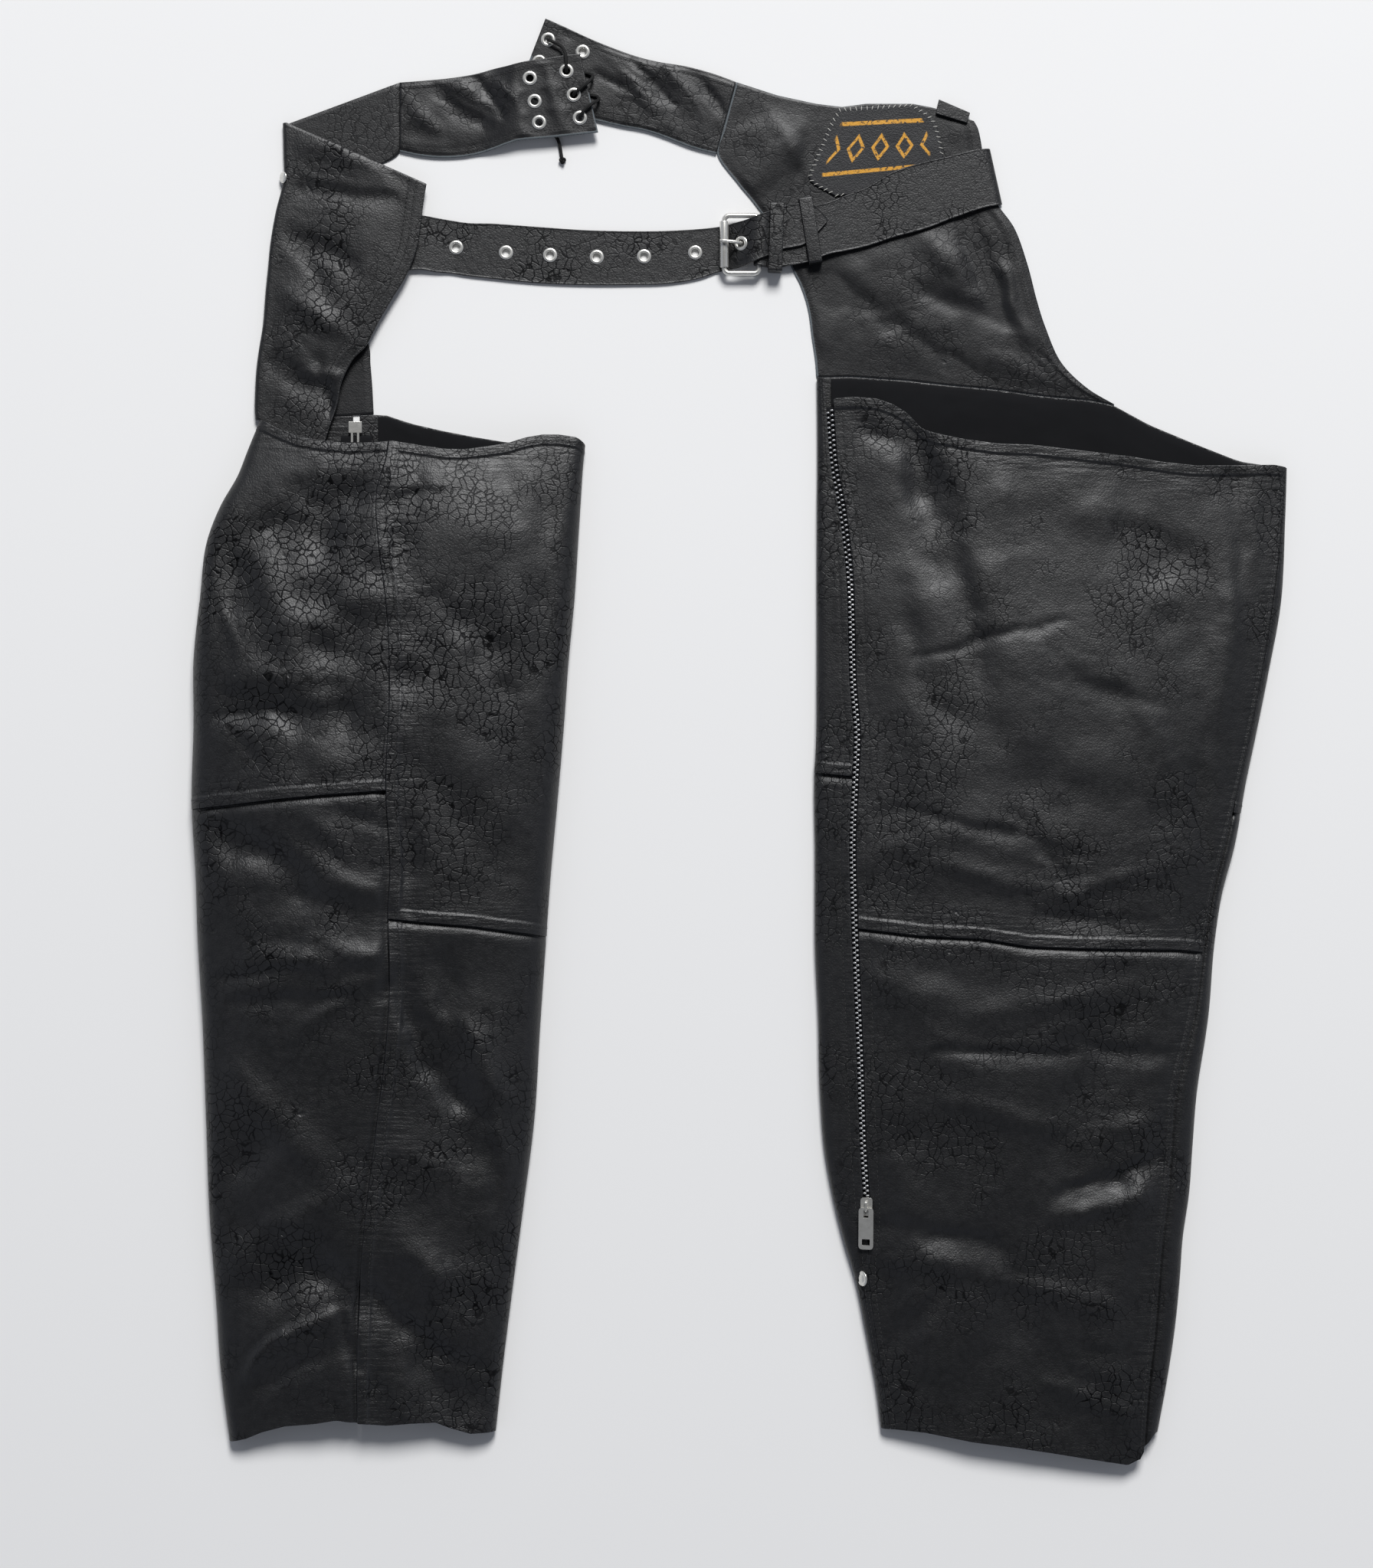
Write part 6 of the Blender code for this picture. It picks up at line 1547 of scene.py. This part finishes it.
# The patch: a thin leather plate with a plain printed ornament and a whip stitch over its edge.
patch.update({"wall": 1.2, "whipPitch": 4.4, "whipLength": 3.9})


def makePatch():
    table = np.array(patch["sections"], float)
    keys = np.arange(len(table), dtype=float)
    rows = np.linspace(0, len(table) - 1, 60)
    leftX, leftY, rightX, rightY = [smooth(list(zip(keys, table[:, index])), rows)[:, None] for index in range(4)]
    part = np.linspace(0, 1, 60)[None, :]
    x = leftX + (rightX - leftX) * part
    y = leftY + (rightY - leftY) * part
    rise = 0.15 * rightHipRise(x, y)
    low = np.stack([x, y, leatherSizes["wall"] + leatherSizes["clearance"] + rise], axis=-1)
    wrinkled = 0.16 * (1 + softNoise(x, y, 14, 91))
    high = low + np.stack([0 * x, 0 * x, patch["wall"] - 0.2 + wrinkled], axis=-1)
    uv = np.stack(np.broadcast_arrays(part, (rows / rows[-1])[:, None]), axis=-1)
    worn = np.zeros(x.shape)
    piece = wall("patch_leather", high, low, [patchLook()], bulge=0.2, fields={"worn": worn}, uv=uv)
    settle(piece, ["patch"])
    declareCut(piece, low)
    border = np.concatenate([high[0], high[1:, -1], high[-1, -2::-1], high[-2:0:-1, 0]])
    centre = high.reshape(-1, 3).mean(0)
    length = np.concatenate([[0], np.cumsum(np.linalg.norm(np.diff(border, axis=0), axis=1))])
    at = np.arange(0, length[-1], patch["whipPitch"])
    spots = np.stack([np.interp(at, length, border[:, axis]) for axis in range(3)], axis=-1)
    tangent = unit(np.stack([np.interp(at + 1, length, border[:, axis]) for axis in range(3)], axis=-1) - spots)
    inwards = unit(centre - spots)
    inwards[:, 2] = 0
    direction = unit(inwards + 0.45 * tangent * np.where(np.arange(len(at)) % 2 == 0, 1, 0.55)[:, None])
    spots = spots + direction * 0.9
    keep = rightStrapClear(spots)
    shape, faceSets = stitchShape(patch["whipLength"], 0.34, 0.3)
    spots, direction = spots[keep], direction[keep]
    lean = unit(direction + np.array([0, 0, 0.12]))
    up = unit(np.array([0.0, 0.0, 1.0]) - lean * lean[:, 2:3])
    axes = np.stack([lean, np.cross(up, lean), up], axis=1)
    settle(scatter("patch_whip_stitch", shape, faceSets, spots + [0, 0, 0.1], axes, looks["whiteThread"]))


# True where a point isn't covered by the buckle strap.
def rightStrapClear(spots):
    table = np.array(belt["buckleStrap"][11:], float)
    low = np.interp(spots[:, 0], table[:, 2], table[:, 3])
    high = np.interp(spots[:, 0], table[:, 0], table[:, 1])
    return (spots[:, 1] < low - 1) | (spots[:, 1] > high + 1)


# The patch's finish: worn black leather with two gold rules and a row of plain lozenges, read from its own map.
def patchLook():
    made = Shader("patchLeather", roughness=0.5, specular=0.4)
    place = made.node("ShaderNodeTexCoord", output=2)
    split = made.node("ShaderNodeSeparateXYZ", inputs={"Vector": place})
    u = split
    v = Signal(made, split.socket.node.outputs[1])
    absolute = {"operation": "ABSOLUTE"}
    fromMiddle = made.node("ShaderNodeMath", absolute, {0: v - 0.52})
    rules = made.ramp(made.node("ShaderNodeMath", absolute, {0: fromMiddle - 0.27}), 0.03, 0.018)
    cell = made.node("ShaderNodeMath", {"operation": "FRACT"}, {0: u * 5.0})
    lozenge = made.node("ShaderNodeMath", absolute, {0: cell - 0.5}) * 1.2 + fromMiddle * 3.0
    ring = made.ramp(made.node("ShaderNodeMath", absolute, {0: lozenge - 0.36}), 0.11, 0.06)
    inSpan = made.ramp(made.node("ShaderNodeMath", absolute, {0: u - 0.5}), 0.41, 0.39)
    pattern = made.node("ShaderNodeMath", {"operation": "MAXIMUM"}, {0: rules, 1: ring}) * inSpan
    wear = made.ramp(made.noise(made.objectPlace(), 420, 4.0, 0.7), 0.36, 0.5)
    mottle = made.noise(made.objectPlace(), 120, 3.0)
    base = made.mix(mottle, colour(0.006), colour(0.016))
    made.set("Base Color", made.mix(pattern * wear, base, (0.62, 0.30, 0.025, 1.0)))
    made.bump(made.noise(made.objectPlace(), 900, 3.0), 0.0003)
    return made.material


# Lining cloth on the inner side of the floor layer, just inside the open top of each thigh.
def makeLinings():
    upperEdge = rightLeg["facingEdge"] + rightLeg["scoopEdge"][1:]
    depth = leatherSizes["wall"] + leatherSizes["clearance"]
    plans = [
        ("lining_right", rightTube, lambda y: math.pi + 0.3 + 0 * y, lambda y: 2 * math.pi - 0.35 + 0 * y, upperEdge),
        ("lining_left", leftTube, lambda y: math.pi + 0.5 + 0 * y,
         lambda y: 2 * math.pi - leftTube.angle(-282.0, y), leftLeg["lowerEdge"]),
    ]
    for name, leg, start, end, edge in plans:
        points = legGrid(
            leg, start, end, both(edge, edge, -1.3), both(edge, edge, -59.3), np.linspace(0, 1, 110),
            np.linspace(0, 1, 24), False,
        )
        normal = normalsOf(points)
        x, y = points[..., 0], points[..., 1]
        rise = 0.5 * (1 + softNoise(x, y, 17, 41)) + 0.25 * (1 + softNoise(x, y, 6, 42))
        top = ease((np.linspace(1, 0, 24)[:, None]) * 58 / 6)
        inner = points - normal * (depth + 0.3 * leg.relief(x, y).clip(0) * 0.25)[..., None]
        outer = inner - normal * (0.6 + rise * top)[..., None]
        piece = wall(name + "_cloth", inner, outer, [looks["lining"]], bulge=0.1)
        settle(piece, [name])
        declareCut(piece, inner)


makeLeftHip()
makeRightHip()
makeYoke("yoke_left", yokes["left"], yokes["leftEyelets"], 101, hipEnds[0], yokeCreases["left"])
makeYoke("yoke_right", yokes["right"], yokes["rightEyelets"], 111, hipEnds[1], yokeCreases["right"])
makePatch()
makeStrap("belt_strap", belt["holed"], belt["holes"])
makeStrap("buckle_strap", belt["buckleStrap"])
for number, row in enumerate(belt["keepers"]):
    makeKeeper(f"keeper_{number + 1}", *row)
makeLinings()
print("hips, yokes and straps made")


makeStitches("black_stitching", stitchLines, looks["blackThread"], stitch["pitch"], (stitch["length"], stitch["width"], stitch["height"]))
print("sewing made")


# Zips: teeth in two meshed rows on cloth tapes. The right one is on top, the left one underneath.
zips = {
    "pitch": 3.9, "toothWidth": 2.5, "toothLength": 1.5, "reach": 1.05, "turnY": (95.0, 165.0), "turn": 58.0, "high": 0.8, "low": -1.35, "stopY": -362.0,
    "rightTop": 262.0, "leftTop": 240.0, "tapeDepth": 1.75, "tapeWall": 0.7,
}


def zipFrame(leg, x, y, side):
    def at(x, y):
        angle = leg.angle(x, y)
        return leg.point(angle if side > 0 else -angle, y)

    here = at(x, y)
    east = at(x + 0.8, y) - here
    north = at(x, y + 0.8) - here
    normal = unit(np.cross(east, north)) * side
    along = unit(north)
    return here, along, normal


# One tooth: a block with its edges taken off, wider at its root.
def toothShape(width, length, low, high):
    levels = [(low, 0.86, 0.9), (low + 0.25, 1.0, 1.0), (high - 0.45, 1.0, 1.0), (high - 0.12, 0.88, 0.84), (high, 0.6, 0.55)]
    corner = [(1, 0.55), (0.72, 1), (-0.72, 1), (-1, 0.55), (-1, -0.55), (-0.72, -1), (0.72, -1), (1, -0.55)]
    points = [(cx * length / 2 * sy, cy * width / 2 * sx, z) for z, sx, sy in levels for cx, cy in corner]
    number = np.arange(len(levels) * 8).reshape(len(levels), 8)
    number = np.concatenate([number, number[:, :1]], axis=1)
    caps = np.array([list(range(8))[::-1], list(range(32, 40))])
    return np.array(points), [gridQuads(number), caps]


def makeZip(name, leg, table, top, side):
    sizes = zips
    y = np.arange(sizes["stopY"] + 9, top - 1, sizes["pitch"] / 2)
    row = np.where(np.arange(len(y)) % 2 == 0, 1.0, -1.0)
    x = smooth(table, y)
    here, along, normal = zipFrame(leg, x + row * sizes["reach"], y, side)
    across = np.cross(normal, along)
    lean = np.radians(sizes["turn"]) * ease((y - sizes["turnY"][0]) / (sizes["turnY"][1] - sizes["turnY"][0])) * (side > 0)
    here = here - across * (row * sizes["reach"] * (1 - np.cos(lean)))[:, None]
    across, normal = (
        across * np.cos(lean)[:, None] + normal * np.sin(lean)[:, None],
        normal * np.cos(lean)[:, None] - across * np.sin(lean)[:, None],
    )
    axes = np.stack([along, across, normal], axis=1)
    high = sizes["high"] if side > 0 else 0.0
    shape, faceSets = toothShape(sizes["toothWidth"], sizes["toothLength"], sizes["low"], high)
    piece = scatter(f"zip_teeth_{name}_metal", shape, faceSets, here, axes, looks["teeth"])
    settle(piece, [f"zip_teeth_{name}"])
    y = np.linspace(sizes["stopY"] + 8, top, 260)[:, None]
    outside, inside = (3.9, 9.0) if side > 0 else (12.0, 12.0)
    offsets = np.concatenate([np.linspace(-outside, 3.0, 9), np.linspace(3.6, inside, 5)])[None, :]
    here, _, normal = zipFrame(leg, smooth(table, y) + offsets, y, side)
    cord = 0.25 * np.exp(-((np.abs(offsets) - 2.7) / 0.5) ** 2)
    face = here - normal * (sizes["tapeDepth"] - cord[..., None])
    tape = wall(f"zip_tape_{name}_cloth", face, here - normal * (sizes["tapeDepth"] + sizes["tapeWall"]), [looks["tape"]], bulge=0.1)
    settle(tape, [f"zip_tape_{name}"])
    declareCut(tape, face)


makeZip("right", rightTube, rightLeg["zip"], zips["rightTop"], 1.0)
makeZip("left", leftTube, leftLeg["zip"], zips["leftTop"], -1.0)


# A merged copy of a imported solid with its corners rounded.
def refined(node, width, finish, body="chaps", angle=32.0):
    work = bmesh.new()
    work.from_mesh(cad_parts[node].data)
    bmesh.ops.remove_doubles(work, verts=work.verts, dist=1e-6)
    bmesh.ops.dissolve_limit(work, angle_limit=math.radians(0.8), verts=work.verts, edges=work.edges)
    mesh = bpy.data.meshes.new(node + "_fine")
    work.to_mesh(mesh)
    work.free()
    mesh.materials.clear()
    mesh.materials.append(finish)
    piece = bpy.data.objects.new(node + "_fine", mesh)
    bpy.context.scene.collection.objects.link(piece)
    bevel = piece.modifiers.new("bevel", "BEVEL")
    bevel.width = width * mm
    bevel.segments = 3
    bevel.limit_method = "ANGLE"
    bevel.angle_limit = math.radians(angle)
    applyModifiers(piece)
    piece.data.polygons.foreach_set("use_smooth", np.ones(len(piece.data.polygons), bool))
    piece.data.polygons.foreach_set("material_index", np.zeros(len(piece.data.polygons), np.int32))
    piece.modifiers.new("faces", "WEIGHTED_NORMAL")
    return settle(piece, [node], body)


refined("zip_slider", 0.35, looks["nickel"])
refined("pull_tab", 0.3, looks["nickel"], "pull_tab")
refined("zip_box_left", 0.4, looks["nickel"])
refined("waist_loop", 0.5, looks["outer"])

# Eyelets: barrel and domed rim, as radius and height. Heights are from the leather's face.
eyeletProfile = [
    (2.9, 0.1), (3.0, 0.5), (3.35, 0.82), (3.9, 0.98), (4.5, 0.96), (5.1, 0.78), (5.5, 0.5), (5.68, 0.2), (5.6, 0.04),
    (3.5, 0.04),
]


def makeEyelet(node, x, y, under, over, tilt=0.0):
    profile = [(radius, over + height) for radius, height in eyeletProfile] + [(3.5, under), (2.9, under)]
    middle = (under + over) / 2
    profile = [(radius, height - middle) for radius, height in profile]
    place = Matrix.Translation((x, y, middle)) @ Matrix.Rotation(tilt, 4, "Y")
    settle(turnedRing(node + "_metal", profile, 40, place, looks["nickel"]), [node])


beltTable = np.array(belt["holed"], float)
beltMiddle = (beltTable[:, 0] + beltTable[:, 2]) / 2
for number, (x, y) in enumerate(belt["holes"]):
    height = float(np.interp(x, beltMiddle, beltTable[:, 4]))
    makeEyelet(f"belt_eyelet_{number + 1}", x, y, height - 1.2, height + 1.05, -math.atan(strapSlope(beltTable, x)))
for number, (x, y) in enumerate(yokes["leftEyelets"]):
    makeEyelet(f"yoke_eyelet_left_{number + 1}", x, y, 6.05, 8.85)
for number, (x, y) in enumerate(yokes["rightEyelets"]):
    makeEyelet(f"yoke_eyelet_right_{number + 1}", x, y, 0.12, 2.65)

# The buckle: wire frame, loose roller on its end bar, prong wrapped on the other.
buckle = {"centre": (2.3, 389.0), "half": (13.7, 22.5), "height": 7.3, "wire": 2.0, "corner": 4.2, "roller": 36.0, "prong": 1.3}


def makeBuckle():
    centreX, centreY = buckle["centre"]
    halfX, halfY = buckle["half"]
    radius = buckle["corner"]
    path = []
    for signX, signY, first in ((1, 1, 0), (-1, 1, 90), (-1, -1, 180), (1, -1, 270)):
        for angle in np.radians(first + np.linspace(0, 90, 10)):
            path.append((
                centreX + signX * (halfX - radius) + radius * math.cos(angle),
                centreY + signY * (halfY - radius) + radius * math.sin(angle), buckle["height"]))
    settle(tube("buckle_frame_wire", path, buckle["wire"], 22, looks["nickel"], closed=True), ["buckle_frame"])
    half = buckle["roller"] / 2
    inner, outer = buckle["wire"] + 0.35, 3.5
    profile = [(inner, -half + 0.2), (inner + 0.3, -half), (outer - 0.4, -half), (outer - 0.08, -half + 0.25), (outer, -half + 0.7)]
    profile += [(radius, -height) for radius, height in profile[::-1]]
    place = Matrix.Translation((centreX - halfX, centreY, buckle["height"])) @ Matrix.Rotation(math.pi / 2, 4, "X")
    settle(turnedRing("buckle_roller_sleeve", profile, 48, place, looks["nickel"]), ["buckle_roller"])
    barX = centreX + halfX
    reach = buckle["wire"] + 0.35 + buckle["prong"]
    line = [
        (barX + reach * math.cos(angle), 391.2, buckle["height"] + reach * math.sin(angle))
        for angle in np.radians(np.arange(-50, 232, 14))
    ]
    line.append((barX - reach * 0.75, 391.2, buckle["height"] - reach * 0.72))
    line += [
        (9.5, 391.0, 4.3), (6.0, 390.6, 4.5), (4.0, 390.2, 5.6), (2.4, 389.9, 7.8), (0.9, 389.7, 10.4), (-1.4, 389.9, 12.2),
        (-5.0, 390.3, 12.9), (-11.4, 390.9, 12.9), (-14.8, 391.2, 12.2),
    ]
    line = smoothPath(line, 90)
    radii = buckle["prong"] * np.interp(np.arange(90), [0, 2, 70, 86, 89], [0.8, 1.0, 1.0, 0.92, 0.7])
    settle(tube("buckle_prong_wire", line, radii, 16, looks["nickel"]), ["buckle_prong"])


makeBuckle()


# A frame on the leather: local Z along the normal, local Y along +Y of the plan.
def placeOn(point, normal, lift):
    up = Vector(normal).normalized()
    ahead = Vector((0.0, 1.0, 0.0))
    ahead = (ahead - up * ahead.dot(up)).normalized()
    turn = Matrix((ahead.cross(up), ahead, up)).transposed().to_4x4()
    return Matrix.Translation(Vector(point) + up * lift) @ turn


hipCapProfile = [
    (0.0, 0.0), (4.0, 0.0), (4.42, 0.12), (4.5, 0.4), (4.3, 0.75), (3.7, 1.08), (2.8, 1.28), (1.6, 1.4), (0.7, 1.45), (0.0, 1.46),
]
ankleSnapProfile = [
    (0.0, 0.0), (3.8, 0.0), (4.0, 0.2), (4.0, 1.15), (5.3, 1.2), (5.85, 1.42), (6.0, 1.8), (5.8, 2.15), (5.2, 2.5), (4.4, 2.62),
    (3.6, 2.5), (3.0, 2.75), (1.8, 3.0), (0.8, 3.08), (0.0, 3.1),
]
foldRadius = leftHip["roll"]
capPlace = placeOn((-356.2 + foldRadius, 441.5, foldRadius), (-0.75, 0.0, 0.66), foldRadius + 0.35)
settle(turnedCap("snap_cap_hip_metal", hipCapProfile, 40, capPlace, looks["nickel"]), ["snap_cap_hip"])
snapPoint, snapNormal = rightTube.onTop(96.5, -418.0)
snapPlace = placeOn(snapPoint, unit(snapNormal + np.array([-1.15, 0.0, 0.0])), -1.2)
settle(turnedCap("ankle_snap_metal", ankleSnapProfile, 44, snapPlace, looks["nickel"]), ["ankle_snap"])
print("zips and hardware made")


# Laces: twisted cord 2.6 mm thick. The free end has a small knot.
laceSizes = {"radius": 1.3, "around": 14, "perMillimetre": 1.6}


def makeLaces():
    for name, route in laces["routes"].items():
        route = np.array(route, float)
        reach = np.linalg.norm(np.diff(route, axis=0), axis=1).sum()
        line = smoothPath(route, int(reach * laceSizes["perMillimetre"]))
        piece = tube(name + "_cord", line, laceSizes["radius"], laceSizes["around"], looks["lace"], uvPitch=4.5)
        settle(piece, [name])
        pieces = []
        if name == "lace_free_end":
            pieces = [makeKnot(route[-1])]


# A small overhand knot: a trefoil (sin t + 2 sin 2t, cos t - 2 cos 2t, -sin 3t), flattened.
def makeKnot(spot):
    turn = np.linspace(0, 2 * math.pi, 60, endpoint=False)
    line = np.stack([
        1.05 * (np.sin(turn) + 2 * np.sin(2 * turn)) * 0.62, (np.cos(turn) - 2 * np.cos(2 * turn)) * 0.62,
        -np.sin(3 * turn) * 0.95], axis=-1)
    line = line + np.array([spot[0] + 0.4, spot[1] - 1.6, 2.25])
    return settle(tube("lace_knot", line, 1.05, 12, looks["lace"], closed=True), ())


makeLaces()
print("laces made")


# Floor, light and finish. The sky is dim overhead and paler towards the walls, which keeps the leather dark.
studio = {
    "floor": 0.83, "overhead": 0.03, "walls": 0.34, "keyPower": 850.0, "keySize": 3.4, "keyPlace": (0.9, 6.1, 6.0),
    "keyAim": (0.0, -0.6, 0.0),
}


def makeStudio():
    half = 9.0
    mesh = bpy.data.meshes.new("floor")
    mesh.from_pydata([(-half, -half, 0.0), (half, -half, 0.0), (half, half, 0.0), (-half, half, 0.0)], [], [(0, 1, 2, 3)])
    floor = bpy.data.objects.new("floor", mesh)
    floor.location.z = -0.0001
    bpy.context.scene.collection.objects.link(floor)
    made = Shader("floorPaper", roughness=0.9, specular=0.1)
    made.set("Base Color", (studio["floor"], studio["floor"] * 0.995, studio["floor"] * 0.985, 1.0))
    mesh.materials.append(made.material)
    data = bpy.data.lights.new("keyLight", "AREA")
    data.shape = "DISK"
    data.size = studio["keySize"]
    data.energy = studio["keyPower"]
    light = bpy.data.objects.new("keyLight", data)
    light.location = studio["keyPlace"]
    aim = Vector(studio["keyAim"]) - Vector(studio["keyPlace"])
    light.rotation_euler = aim.to_track_quat("-Z", "Y").to_euler()
    bpy.context.scene.collection.objects.link(light)
    world = bpy.data.worlds.new("studio")
    world.use_nodes = True
    tree = world.node_tree
    place = tree.nodes.new("ShaderNodeTexCoord")
    split = tree.nodes.new("ShaderNodeSeparateXYZ")
    tree.links.new(place.outputs["Generated"], split.inputs[0])
    fade = tree.nodes.new("ShaderNodeMapRange")
    fade.interpolation_type = "SMOOTHSTEP"
    tree.links.new(split.outputs["Z"], fade.inputs["Value"])
    for key, value in (("From Min", 0.6), ("From Max", 0.93), ("To Min", studio["walls"]), ("To Max", studio["overhead"])):
        fade.inputs[key].default_value = value
    sky = tree.nodes["Background"]
    sky.inputs["Color"].default_value = (0.86, 0.92, 1.06, 1.0)
    tree.links.new(fade.outputs[0], sky.inputs["Strength"])
    bpy.context.scene.world = world
    bpy.context.scene.view_settings.view_transform = "Standard"


makeStudio()
for name, (width, length, area) in cutSizes.items():
    print(f"cut {name}: {width} x {length} m, {area} m2")
print("scene done")
